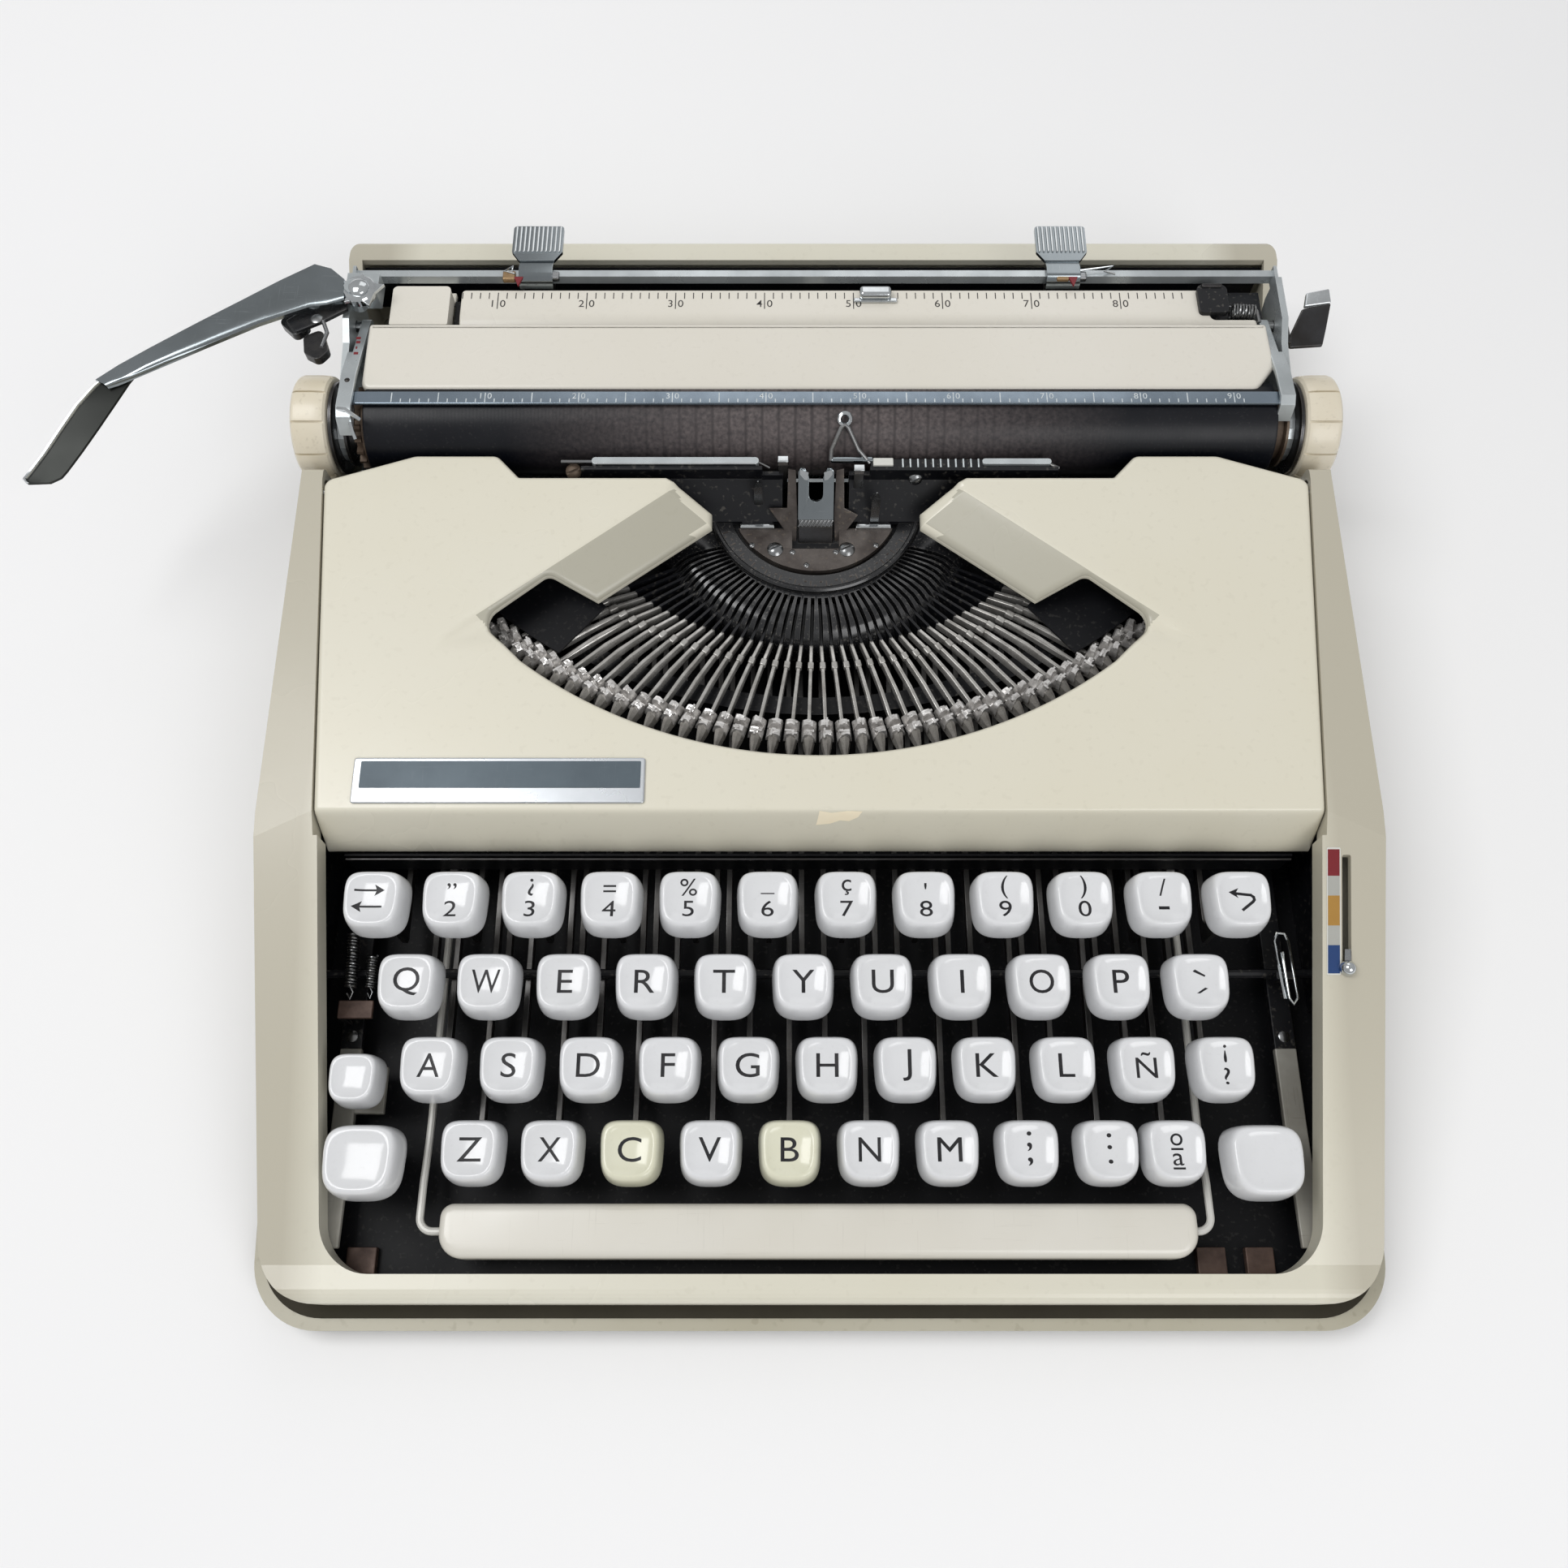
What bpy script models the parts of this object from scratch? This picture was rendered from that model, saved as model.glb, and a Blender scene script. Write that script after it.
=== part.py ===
# Portable typewriter: a flat machine in a painted case, with its keys, type basket and carriage.
# The case runs along Y with its front at the lowest Y, and the carriage travels along X.
# Every size is in metres. Places are measured from the case's centre plane (X), the front of the
# base (Y) and the table (Z). At the end one empty moves the whole machine over its own centre.
import math

import bmesh
import bpy
from mathutils import Matrix, Vector

MM = 0.001

# Shared clearances and finishes
SEAT_GAP = 0.3 * MM
RUNNING_GAP = 0.4 * MM
SEAM_GAP = 0.5 * MM
CUT_OVERRUN = 5.0 * MM
JOIN_DEPTH = 0.6 * MM
MERGE_DISTANCE = 0.002 * MM

# Keyboard, which sets the width of the case
KEY_PITCH = 19.0 * MM
ROW_PITCH = 18.8 * MM
ROW_RISE = 6.23 * MM
FRONT_ROW_Y = 39.7 * MM
FRONT_ROW_TOP = 29.5 * MM
ROW_COUNT = 4
FULL_ROW_KEYS = 12
WELL_SIDE_MARGIN = 9.8 * MM
WELL_HALF_WIDTH = FULL_ROW_KEYS / 2 * KEY_PITCH + WELL_SIDE_MARGIN
BACK_ROW_Y = FRONT_ROW_Y + (ROW_COUNT - 1) * ROW_PITCH

# Base
BASE_LIP = 5.2 * MM
BASE_FRONT_RADIUS = 17.0 * MM
BASE_REAR_RADIUS = 7.0 * MM
BASE_UNDERSIDE = 3.0 * MM
BASE_THICKNESS = 5.0 * MM
BASE_FLOOR = 2.0 * MM
BASE_LEDGE = 10.0 * MM
BASE_EDGE = 1.2 * MM
FOOT_RADIUS = 8.0 * MM
FOOT_SPREAD = 0.8 * MM
FOOT_INSET = 28.0 * MM

# Case
RAIL_WIDTH = 15.7 * MM
CASE_HALF_WIDTH = WELL_HALF_WIDTH + RAIL_WIDTH
CASE_TAPER = 0.062
WELL_TAPER = 0.05
CASE_FRONT = 5.8 * MM
CASE_WALL = 2.0 * MM
CASE_FRONT_RADIUS = 14.0 * MM
CASE_REAR_RADIUS = 5.0 * MM
CASE_TOP = 50.5 * MM
CASE_EDGE = 2.2 * MM
FRONT_BAR_TOP = 20.0 * MM
FRONT_BAR_DEPTH = 6.6 * MM
CREASE_BEHIND_ROW = 22.9 * MM
CREASE_DROP = 3.2 * MM
COVER_FACE_DEPTH = 6.0 * MM
COVER_FACE_DROP = 11.8 * MM
WELL_CORNER_RADIUS = 12.0 * MM
WELL_LIP = 7.0 * MM
SIDE_RIM = 4.0 * MM
REAR_WALL_TOP = 39.4 * MM
REAR_WALL_DEPTH = 7.6 * MM

# Carriage, which sets the depth of the case
BASKET_DEPTH = 116.1 * MM
PLATEN_RADIUS = 12.8 * MM
PLATEN_BELOW_TOP = 7.2 * MM
PLATEN_TO_REAR = 71.4 * MM
KNOB_RADIUS = 14.3 * MM
KNOB_CLEARANCE = 1.5 * MM
CARRIAGE_SHIFT = 2.1 * MM

CREASE_Y = BACK_ROW_Y + CREASE_BEHIND_ROW
CREASE_Z = CASE_TOP - CREASE_DROP
WELL_FRONT = CASE_FRONT + FRONT_BAR_DEPTH
COVER_FRONT = CREASE_Y - COVER_FACE_DEPTH
PLATEN_Y = CREASE_Y + BASKET_DEPTH
PLATEN_Z = CASE_TOP - PLATEN_BELOW_TOP
CASE_REAR = PLATEN_Y + PLATEN_TO_REAR
BASE_TOP = BASE_UNDERSIDE + BASE_THICKNESS
FLOOR_Z = BASE_UNDERSIDE + BASE_FLOOR
CASE_BOTTOM = BASE_TOP + SEAT_GAP
SIDE_STEP_Z = PLATEN_Z - KNOB_RADIUS - KNOB_CLEARANCE
BASE_HALF_WIDTH = CASE_HALF_WIDTH + BASE_LIP
BASE_REAR = CASE_REAR + 1.0 * MM

# Ribbon cover, with the outline of its basket opening
COVER_SHEET = 2.0 * MM
COVER_REAR_INSET = 6.4 * MM
COVER_REAR = PLATEN_Y - PLATEN_RADIUS - 1.1 * MM
COVER_CORNER_RUN = 7.8 * MM
COVER_SHOULDER_X = 109.0 * MM
COVER_NOTCH_X = 86.7 * MM
COVER_NOTCH_RUN = 6.2 * MM
COVER_NOTCH_DEPTH = 6.8 * MM
HORN_TOP_X = 41.0 * MM
HORN_TIP_X = 28.2 * MM
HORN_TIP_SETBACK = 7.3 * MM
HORN_TIP_LENGTH = 4.1 * MM
HORN_HEEL_X = 58.5 * MM
HORN_HEEL_SETBACK = 34.9 * MM
HORN_HEEL_DROP = 7.1 * MM
LOBE_TOP_X = 70.8 * MM
LOBE_TOP_SETBACK = 29.1 * MM
LOBE_SIDE_X = 86.0 * MM
LOBE_SIDE_SETBACK = 45.0 * MM
LOBE_LOW_X = 76.5 * MM
LOBE_LOW_SETBACK = 54.5 * MM
OPENING_SETBACK = 81.5 * MM
HINGE_SETBACK = 10.8 * MM
HINGE_PIN_RADIUS = 0.8 * MM
HINGE_PIN_DEPTH = 1.75 * MM
HINGE_PIN_REACH = 2.9 * MM
HINGE_BORE_GAP = 0.3 * MM
HINGE_BOSS = 3.4 * MM

# Key caps
CAP_WIDTH = 15.0 * MM
CAP_DEPTH = 15.4 * MM
CAP_HEIGHT = 8.5 * MM
CAP_DISH = 0.9 * MM
CAP_POINTS = 12
CAP_SQUARENESS = 3.6
# Share of the full width, share of the full depth, and share of the height below the top
CAP_SECTION_SHARES = ((1.0, 1.0, 1.0), (0.94, 0.94, 0.16), (0.79, 0.79, 0.0))
SHIFT_CAP_WIDTH = 18.6 * MM
SHIFT_CAP_DEPTH = 17.6 * MM
LOCK_CAP_WIDTH = 12.4 * MM
LOCK_CAP_DEPTH = 12.8 * MM

# Key levers and the shaft that they turn on
LEVER_THICKNESS = 1.4 * MM
LEVER_DEPTH = 3.2 * MM
LEVER_SHAFT_BEHIND_CREASE = 86.0 * MM
LEVER_SHAFT_Z = 11.0 * MM
LEVER_SHAFT_RADIUS = 2.0 * MM
LEVER_OVER_SHAFT = 5.2 * MM
LEVER_RISE = 1.4 * MM
HOOK_WALL = 2.2 * MM
HOOK_LEG = 2.6 * MM
HOOK_STEPS = 3
HOOK_RADIUS = (LEVER_SHAFT_RADIUS + SEAT_GAP) / math.cos(math.pi / 2 / HOOK_STEPS)
STEM_WIDTH = 4.0 * MM
STEM_INTO_CAP = 1.5 * MM
LEVER_SHAFT_Y = CREASE_Y + LEVER_SHAFT_BEHIND_CREASE
KEY_TRAVEL = 8.0 * MM

# Each row: the X of its first key in key pitches from the centre plane, and its keys from the left
ROW_START_SHARES = (-4.389, -4.916, -5.216, -5.668)
ROWS = (
    ("key_z", "key_x", "key_c", "key_v", "key_b", "key_n", "key_m", "key_comma", "key_period"),
    ("key_a", "key_s", "key_d", "key_f", "key_g", "key_h", "key_j", "key_k", "key_l",
     "key_n_tilde", "key_question"),
    ("key_q", "key_w", "key_e", "key_r", "key_t", "key_y", "key_u", "key_i", "key_o",
     "key_p", "key_accent"),
    ("margin_release_key", "key_2", "key_3", "key_4", "key_5", "key_6", "key_7", "key_8",
     "key_9", "key_0", "key_hyphen", "backspace_key"),
)
ORDINAL_KEY_SHARE = 4.453
YELLOWED_KEYS = ("key_c", "key_b")

# Space bar and its wire
SPACE_BAR_LEFT_SHARE = -4.79
SPACE_BAR_RIGHT_SHARE = 4.73
SPACE_BAR_DEPTH = 12.6 * MM
SPACE_BAR_HEIGHT = 7.0 * MM
SPACE_BAR_TOP = 21.7 * MM
SPACE_BAR_FROM_WELL = 3.4 * MM
SPACE_BAR_EDGE = 1.6 * MM
SPACE_WIRE_RADIUS = 1.0 * MM
SPACE_WIRE_LEFT_SHARE = -5.066
SPACE_WIRE_RIGHT_SHARE = 4.934
SPACE_WIRE_INSET = 5.0 * MM
SPACE_LEVER_LENGTH = 95.0 * MM

# Shift frame: two side levers on a cross shaft, with both shift caps and the lock cap
SHIFT_LEFT_SHARE = -5.742
SHIFT_RIGHT_SHARE = 5.547
SHIFT_SETBACK = 2.4 * MM
SHIFT_CAP_TOP = 31.0 * MM
LOCK_SHARE = -5.911
LOCK_SETBACK = 16.6 * MM
LOCK_CAP_TOP = 32.5 * MM
SHIFT_BAR_WIDTH = 5.5 * MM
SHIFT_BAR_INSET = 1.8 * MM
SHIFT_BAR_HEIGHT = 2.0 * MM
SHIFT_BAR_Z = 11.0 * MM
SHIFT_SHAFT_RADIUS = 1.5 * MM
SHIFT_SHAFT_Z = 7.3 * MM
SHIFT_SHAFT_AHEAD = 10.0 * MM
SHIFT_TAB_DEPTH = 12.0 * MM
SHIFT_POST = 3.0 * MM

# Chassis
SIDE_PLATE_X = WELL_HALF_WIDTH + 5.3 * MM
SIDE_PLATE_THICKNESS = 1.6 * MM
SIDE_PLATE_FRONT = 7.0 * MM
SIDE_PLATE_FRONT_TOP = 21.0 * MM
SIDE_PLATE_DECK_TOP = 37.0 * MM
SIDE_PLATE_REAR_TOP = 24.0 * MM
STOP_ROD_RADIUS = 1.2 * MM
STOP_ROD_AHEAD = 11.1 * MM
CROSS_BEAM_DEPTH = 10.0 * MM
RAIL_BEHIND_PLATEN = 19.0 * MM
RAIL_DEPTH = 14.0 * MM
RAIL_ROOT = 3.8 * MM
DECK_THICKNESS = 1.5 * MM
DECK_Z = 22.5 * MM
DECK_FRONT = 9.0 * MM
DECK_LENGTH = 70.0 * MM
SPOOL_X = 106.5 * MM
SPOOL_BEHIND_CREASE = 31.0 * MM
SPOOL_RADIUS = 17.0 * MM
SPOOL_HEIGHT = 12.0 * MM
SPOOL_FLANGE = 1.2 * MM
SPOOL_CORE_RADIUS = 14.5 * MM
SPOOL_HUB_RADIUS = 3.0 * MM
SPOOL_HUB_HEIGHT = 3.0 * MM
SPOOL_SIDES = 16
REST_WIDTH = 5.0 * MM

# Type basket
SEGMENT_BEHIND_CREASE = 94.0 * MM
SEGMENT_INNER_RADIUS = 28.8 * MM
SEGMENT_OUTER_RADIUS = 44.0 * MM
SEGMENT_HALF_ANGLE = math.radians(78)
SEGMENT_RIM = 0.8 * MM
SEGMENT_BELOW_TOP = 29.2 * MM
SEGMENT_HEIGHT = 6.5 * MM
COMB_HEIGHT = 7.5 * MM
SLOT_WIDTH = 0.95 * MM
SLOT_OVERRUN = 0.6 * MM
SLOT_DEPTH = 6.0 * MM
TYPEBAR_COUNT = 42
TYPEBAR_THICKNESS = 0.65 * MM
HEAD_ARC_RADIUS = 136.0 * MM
HEADS_BEHIND_CREASE = 26.0 * MM
HEAD_ARC_HALF_ANGLE = math.radians(39)
HEAD_BELOW_TOP = 14.5 * MM
DECK_OVERLAP = 5.6 * MM
DECK_INNER_X = HEAD_ARC_RADIUS * math.sin(HEAD_ARC_HALF_ANGLE) - DECK_OVERLAP
BAR_DEPTH = 2.4 * MM
SLUG_WIDTH = 3.2 * MM
SLUG_LENGTH = 4.6 * MM
SLUG_HEIGHT = 6.4 * MM
GUIDE_WIDTH = 9.0 * MM
GUIDE_NOTCH = 3.4 * MM
GUIDE_THICKNESS = 1.6 * MM
GUIDE_BEHIND_SEGMENT = 3.5 * MM
CARD_HOLDER_HALF_WIDTH = 64.0 * MM
CARD_HOLDER_HEIGHT = 5.0 * MM
CARD_HOLDER_THICKNESS = 1.2 * MM
CARD_HOLDER_AHEAD = 16.9 * MM

# Platen with its knobs and ratchet
PLATEN_HALF_LENGTH = WELL_HALF_WIDTH + 1.85 * MM
PLATEN_CHAMFER = 0.6 * MM
AXLE_RADIUS = 3.0 * MM
RATCHET_RADIUS = 11.4 * MM
RATCHET_WIDTH = 1.6 * MM
RATCHET_TEETH = 20
RATCHET_TOOTH = 1.2 * MM
KNOB_INNER_X = WELL_HALF_WIDTH + 9.2 * MM
KNOB_WIDTH = 10.8 * MM
KNOB_SIDES = 20
KNOB_GROOVES = 10
KNOB_GROOVE_WIDTH = 1.2 * MM
KNOB_GROOVE_DEPTH = 0.8 * MM
KNOB_CROWN = 1.6 * MM
PLATEN_SIDES = 24

# Carriage frame
END_PLATE_X = WELL_HALF_WIDTH + 5.8 * MM
END_PLATE_THICKNESS = 1.8 * MM
END_PLATE_RADIUS = 9.0 * MM
END_PLATE_TOP = PLATEN_Z + 14.7 * MM
END_PLATE_REAR = 40.5 * MM
CHANNEL_THICKNESS = 2.4 * MM
CHANNEL_LIP = 3.0 * MM
CHANNEL_SKIRT = 2.0 * MM
PAPER_PAN_GAP = 1.2 * MM
PAPER_PAN_SHEET = 0.9 * MM
PAPER_PAN_FROM = math.radians(205)
PAPER_PAN_TO = math.radians(325)
MARGIN_RAIL_BEHIND = 43.4 * MM
MARGIN_RAIL_Z = PLATEN_Z + 11.5 * MM
MARGIN_RAIL_HALF_HEIGHT = 1.4 * MM
MARGIN_RAIL_HALF_DEPTH = 1.1 * MM
REAR_BRACE_DEPTH = 3.0 * MM

# Paper table with the margin scale behind it
TABLE_INSET = 3.6 * MM
TABLE_BEHIND = 6.2 * MM
TABLE_DEPTH = 18.0 * MM
TABLE_SHEET = 1.5 * MM
TABLE_FRONT_Z = PLATEN_Z + PLATEN_RADIUS - 0.1 * MM
TABLE_REAR_Z = TABLE_FRONT_Z + 2.4 * MM
TABLE_CORNER = 5.0 * MM
SCALE_DEPTH = 14.6 * MM
SCALE_Z = PLATEN_Z + 11.7 * MM
SCALE_CUT_WIDTH = 15.0 * MM
SCALE_CUT_DEPTH = 9.0 * MM
TABLE_BRACKET_WIDTH = 6.0 * MM

# Paper bail
BAIL_WIDTH = 4.0 * MM
BAIL_THICKNESS = 0.9 * MM
BAIL_BEHIND = 0.9 * MM
BAIL_ABOVE_PLATEN = 0.5 * MM
BAIL_ARM_THICKNESS = 1.1 * MM
BAIL_ARM_HEIGHT = 3.6 * MM
BAIL_PIVOT_BEHIND = 29.0 * MM
BAIL_PIVOT_Z = PLATEN_Z + 7.7 * MM
BAIL_PIN_RADIUS = 1.5 * MM

# Return lever
LEVER_PIVOT_BEHIND = 32.6 * MM
RETURN_PIVOT_INSET = 1.8 * MM
RETURN_LEVER_Z = PLATEN_Z + 18.1 * MM
RETURN_BLADE = 1.8 * MM
RETURN_BOSS_RADIUS = 6.5 * MM
RETURN_POST_RADIUS = 2.4 * MM
RETURN_SHELF_FRONT = 1.0 * MM
# Blade outline from the pivot as (outwards, backwards), driven by the length to the bend
RETURN_REACH = 68.0 * MM
RETURN_BLADE_SHARES = (
    (0.06, 0.095), (0.22, 0.115), (0.53, -0.085), (0.81, -0.294), (1.0, -0.44),
    (0.92, -0.47), (0.83, -0.405), (0.62, -0.314), (0.21, -0.094), (0.0, -0.095),
)
RETURN_PAD_WIDTH = 11.5 * MM
RETURN_PAD_LENGTH = 33.0 * MM
RETURN_PAD_DROP = 5.6 * MM
RETURN_PAD_HEADING = math.radians(233)

# Margin stops
STOP_LEFT_X = -79.0 * MM
STOP_RIGHT_X = 70.3 * MM
STOP_TAB_WIDTH = 12.0 * MM
STOP_TAB_LENGTH = 14.0 * MM
STOP_BODY_WIDTH = 16.0 * MM
STOP_SHEET = 1.2 * MM
STOP_RIBS = 5
STOP_RIB_RADIUS = 0.5 * MM
STOP_POINTER = 3.0 * MM

# Carriage release lever
RELEASE_ARM_WIDTH = 4.0 * MM
RELEASE_ARM_THICKNESS = 1.4 * MM
RELEASE_TAB_WIDTH = 9.0 * MM
RELEASE_TAB_LENGTH = 12.0 * MM
RELEASE_Z = PLATEN_Z + 9.7 * MM
RELEASE_PIVOT_BEHIND = 22.0 * MM
RELEASE_PIN_RADIUS = 1.6 * MM

# Colour selector in its slot on the right-hand rail
SELECTOR_FROM_EDGE = 9.8 * MM
SELECTOR_TRAVEL = 26.0 * MM
SELECTOR_SLOT_WIDTH = 2.2 * MM
SELECTOR_STEM = 1.5 * MM
SELECTOR_KNOB_RADIUS = 1.9 * MM
SELECTOR_AHEAD = 12.6 * MM

# Collections and the empty that carries the machine
scene = bpy.context.scene
for leftover in list(bpy.data.objects):
    bpy.data.objects.remove(leftover, do_unlink=True)
parts = bpy.data.collections.new("portable_typewriter")
scene.collection.children.link(parts)
helpers = bpy.data.collections.new("cutters_and_joined_shapes")
helpers.hide_render = True
scene.collection.children.link(helpers)
machine = bpy.data.objects.new("machine", None)
parts.objects.link(machine)


# Materials
def material(name, colour, roughness, metallic=0.0):
    made = bpy.data.materials.new(name)
    made.use_nodes = True
    made.diffuse_color = (*colour, 1.0)
    shader = made.node_tree.nodes["Principled BSDF"]
    shader.inputs["Base Color"].default_value = (*colour, 1.0)
    shader.inputs["Roughness"].default_value = roughness
    shader.inputs["Metallic"].default_value = metallic
    return made


CASE_PAINT = material("case_paint", (0.72, 0.69, 0.57), 0.35)
BASE_PAINT = material("base_paint", (0.62, 0.59, 0.48), 0.45)
BLACK_STEEL = material("black_steel", (0.02, 0.02, 0.022), 0.5, 0.4)
BARE_STEEL = material("bare_steel", (0.35, 0.34, 0.32), 0.35, 1.0)
CHROME = material("chrome", (0.65, 0.66, 0.68), 0.12, 1.0)
KEY_PLASTIC = material("key_plastic", (0.80, 0.81, 0.80), 0.25)
YELLOWED_PLASTIC = material("yellowed_key_plastic", (0.76, 0.75, 0.60), 0.25)
SPACE_PLASTIC = material("space_bar_plastic", (0.74, 0.71, 0.62), 0.3)
PLATEN_RUBBER = material("platen_rubber", (0.025, 0.027, 0.035), 0.6)
TABLE_PAINT = material("paper_table_paint", (0.76, 0.73, 0.64), 0.35)


# Shape tools
def helper(name, data):
    """An object that shapes others: hidden in renders, and carried by the machine's empty."""
    made = bpy.data.objects.new(name, data)
    made.hide_render = True
    made.display_type = "WIRE"
    made.parent = machine
    helpers.objects.link(made)
    return made


def mesh_helper(name, bm):
    bmesh.ops.recalc_face_normals(bm, faces=bm.faces)
    mesh = bpy.data.meshes.new(name)
    bm.to_mesh(mesh)
    bm.free()
    return helper(name, mesh)


def box(name, low, high):
    bm = bmesh.new()
    bmesh.ops.create_cube(bm, size=1.0)
    low = Vector(low)
    high = Vector(high)
    bmesh.ops.scale(bm, vec=high - low, verts=bm.verts)
    bmesh.ops.translate(bm, vec=(low + high) / 2, verts=bm.verts)
    return mesh_helper(name, bm)


def cylinder(name, start, end, radius, sides=16, end_radius=None):
    """A rod or a cone from one point to another."""
    start = Vector(start)
    axis = Vector(end) - start
    bm = bmesh.new()
    bmesh.ops.create_cone(
        bm,
        cap_ends=True,
        segments=sides,
        radius1=radius,
        radius2=radius if end_radius is None else end_radius,
        depth=axis.length,
    )
    turn = axis.to_track_quat("Z", "Y").to_matrix().to_4x4()
    bmesh.ops.transform(bm, matrix=Matrix.Translation(start + axis / 2) @ turn, verts=bm.verts)
    return mesh_helper(name, bm)


def baked(name, data, matrix, screw_steps=0):
    """The closed mesh that a curve or a Screw profile makes, with its loose seams welded."""
    shape = bpy.data.objects.new(name + "_source", data)
    helpers.objects.link(shape)
    if screw_steps:
        screw = shape.modifiers.new("Turn", "SCREW")
        screw.steps = screw_steps
        screw.render_steps = screw_steps
        screw.use_merge_vertices = True
        screw.merge_threshold = MERGE_DISTANCE
    bpy.context.view_layer.update()
    evaluated = shape.evaluated_get(bpy.context.evaluated_depsgraph_get())
    mesh = bpy.data.meshes.new_from_object(evaluated)
    mesh.transform(matrix)
    bpy.data.objects.remove(shape)
    bm = bmesh.new()
    bm.from_mesh(mesh)
    bmesh.ops.remove_doubles(bm, verts=bm.verts, dist=MERGE_DISTANCE)
    bpy.data.meshes.remove(mesh)
    return mesh_helper(name, bm)


# An outline's own two directions and the one it is extruded along, as columns
PLANES = {
    "XY": Matrix(((1, 0, 0), (0, 1, 0), (0, 0, 1))),
    "YZ": Matrix(((0, 0, 1), (1, 0, 0), (0, 1, 0))),
    "XZ": Matrix(((1, 0, 0), (0, 0, -1), (0, 1, 0))),
}


def plate(name, outlines, low, high, plane="XY"):
    """A flat outline, with any holes after it, extruded from low to high across its plane."""
    curve = bpy.data.curves.new(name, "CURVE")
    curve.dimensions = "2D"
    curve.fill_mode = "BOTH"
    curve.extrude = (high - low) / 2
    for outline in outlines:
        spline = curve.splines.new("POLY")
        spline.points.add(len(outline) - 1)
        for point, (across, up) in zip(spline.points, outline):
            point.co = (across, up, 0.0, 1.0)
        spline.use_cyclic_u = True
    turn = PLANES[plane].to_4x4()
    middle = (low + high) / 2
    if plane == "XZ":
        middle = -middle
    return baked(name, curve, turn @ Matrix.Translation((0.0, 0.0, middle)))


def wire(name, points, radius, resolution=1):
    curve = bpy.data.curves.new(name, "CURVE")
    curve.dimensions = "3D"
    curve.bevel_depth = radius
    curve.bevel_resolution = resolution
    curve.use_fill_caps = True
    spline = curve.splines.new("POLY")
    spline.points.add(len(points) - 1)
    for point, place in zip(spline.points, points):
        point.co = (*place, 1.0)
    return baked(name, curve, Matrix.Identity(4))


def turned(name, profile, start, direction, sides):
    """A profile of (radius, height), top first, turned about the line from start."""
    bm = bmesh.new()
    corners = [bm.verts.new((radius, 0.0, height)) for radius, height in profile]
    for first, second in zip(corners, corners[1:]):
        bm.edges.new((first, second))
    mesh = bpy.data.meshes.new(name)
    bm.to_mesh(mesh)
    bm.free()
    turn = Vector(direction).to_track_quat("Z", "Y").to_matrix().to_4x4()
    return baked(name, mesh, Matrix.Translation(start) @ turn, sides)


def loft(name, rings, centre_top):
    """Skins rings of equal counts from the bottom up, closed by a flat bottom and a top point."""
    bm = bmesh.new()
    levels = [[bm.verts.new(point) for point in ring] for ring in rings]
    count = len(rings[0])
    for lower, upper in zip(levels, levels[1:]):
        for i in range(count):
            j = (i + 1) % count
            bm.faces.new((lower[i], lower[j], upper[j], upper[i]))
    bm.faces.new(list(reversed(levels[0])))
    peak = bm.verts.new(centre_top)
    for i in range(count):
        bm.faces.new((levels[-1][i], levels[-1][(i + 1) % count], peak))
    return mesh_helper(name, bm)


def hull(name, points):
    bm = bmesh.new()
    for point in points:
        bm.verts.new(point)
    made = bmesh.ops.convex_hull(bm, input=bm.verts)
    loose = [item for item in made["geom_interior"] if isinstance(item, bmesh.types.BMVert)]
    bmesh.ops.delete(bm, geom=loose, context="VERTS")
    return mesh_helper(name, bm)


def gathered(name, objects):
    """Separate shapes as one mesh, for a single Boolean."""
    bpy.context.view_layer.update()
    graph = bpy.context.evaluated_depsgraph_get()
    bm = bmesh.new()
    for obj in objects:
        mesh = bpy.data.meshes.new_from_object(obj.evaluated_get(graph))
        mesh.transform(obj.matrix_world)
        bm.from_mesh(mesh)
        bpy.data.meshes.remove(mesh)
        bpy.data.objects.remove(obj)
    return mesh_helper(name, bm)


def combine(body, operation, others):
    for other in others:
        step = body.modifiers.new(other.name, "BOOLEAN")
        step.operation = operation
        step.object = other
    return body


def joined(body, *others):
    return combine(body, "UNION", others)


def cut(body, *others):
    return combine(body, "DIFFERENCE", others)


def kept_inside(body, *others):
    return combine(body, "INTERSECT", others)


def edge_bevel(body, width, segments=2, angle=40):
    step = body.modifiers.new("Edges", "BEVEL")
    step.width = width
    step.segments = segments
    step.limit_method = "ANGLE"
    step.angle_limit = math.radians(angle)
    step.use_clamp_overlap = True
    return body


def node(name, body, finish, pivot=(0.0, 0.0, 0.0)):
    """Names a finished shape, gives it its finish, and puts its origin on its joint's axis."""
    body.name = name
    body.data.name = name
    body.data.materials.clear()
    body.data.materials.append(finish)
    pivot = Vector(pivot)
    body.data.transform(Matrix.Translation(-pivot) @ body.matrix_local)
    body.matrix_local = Matrix.Translation(pivot)
    body.hide_render = False
    body.display_type = "TEXTURED"
    helpers.objects.unlink(body)
    parts.objects.link(body)
    body.data.shade_smooth()
    body.data.set_sharp_from_angle(angle=math.radians(35))
    return body


def arc(centre, radius, start, end, steps):
    """Points on an arc, both ends included, with angles from the first axis."""
    points = []
    for i in range(steps + 1):
        angle = start + (end - start) * i / steps
        points.append((centre[0] + radius * math.cos(angle), centre[1] + radius * math.sin(angle)))
    return points


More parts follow.
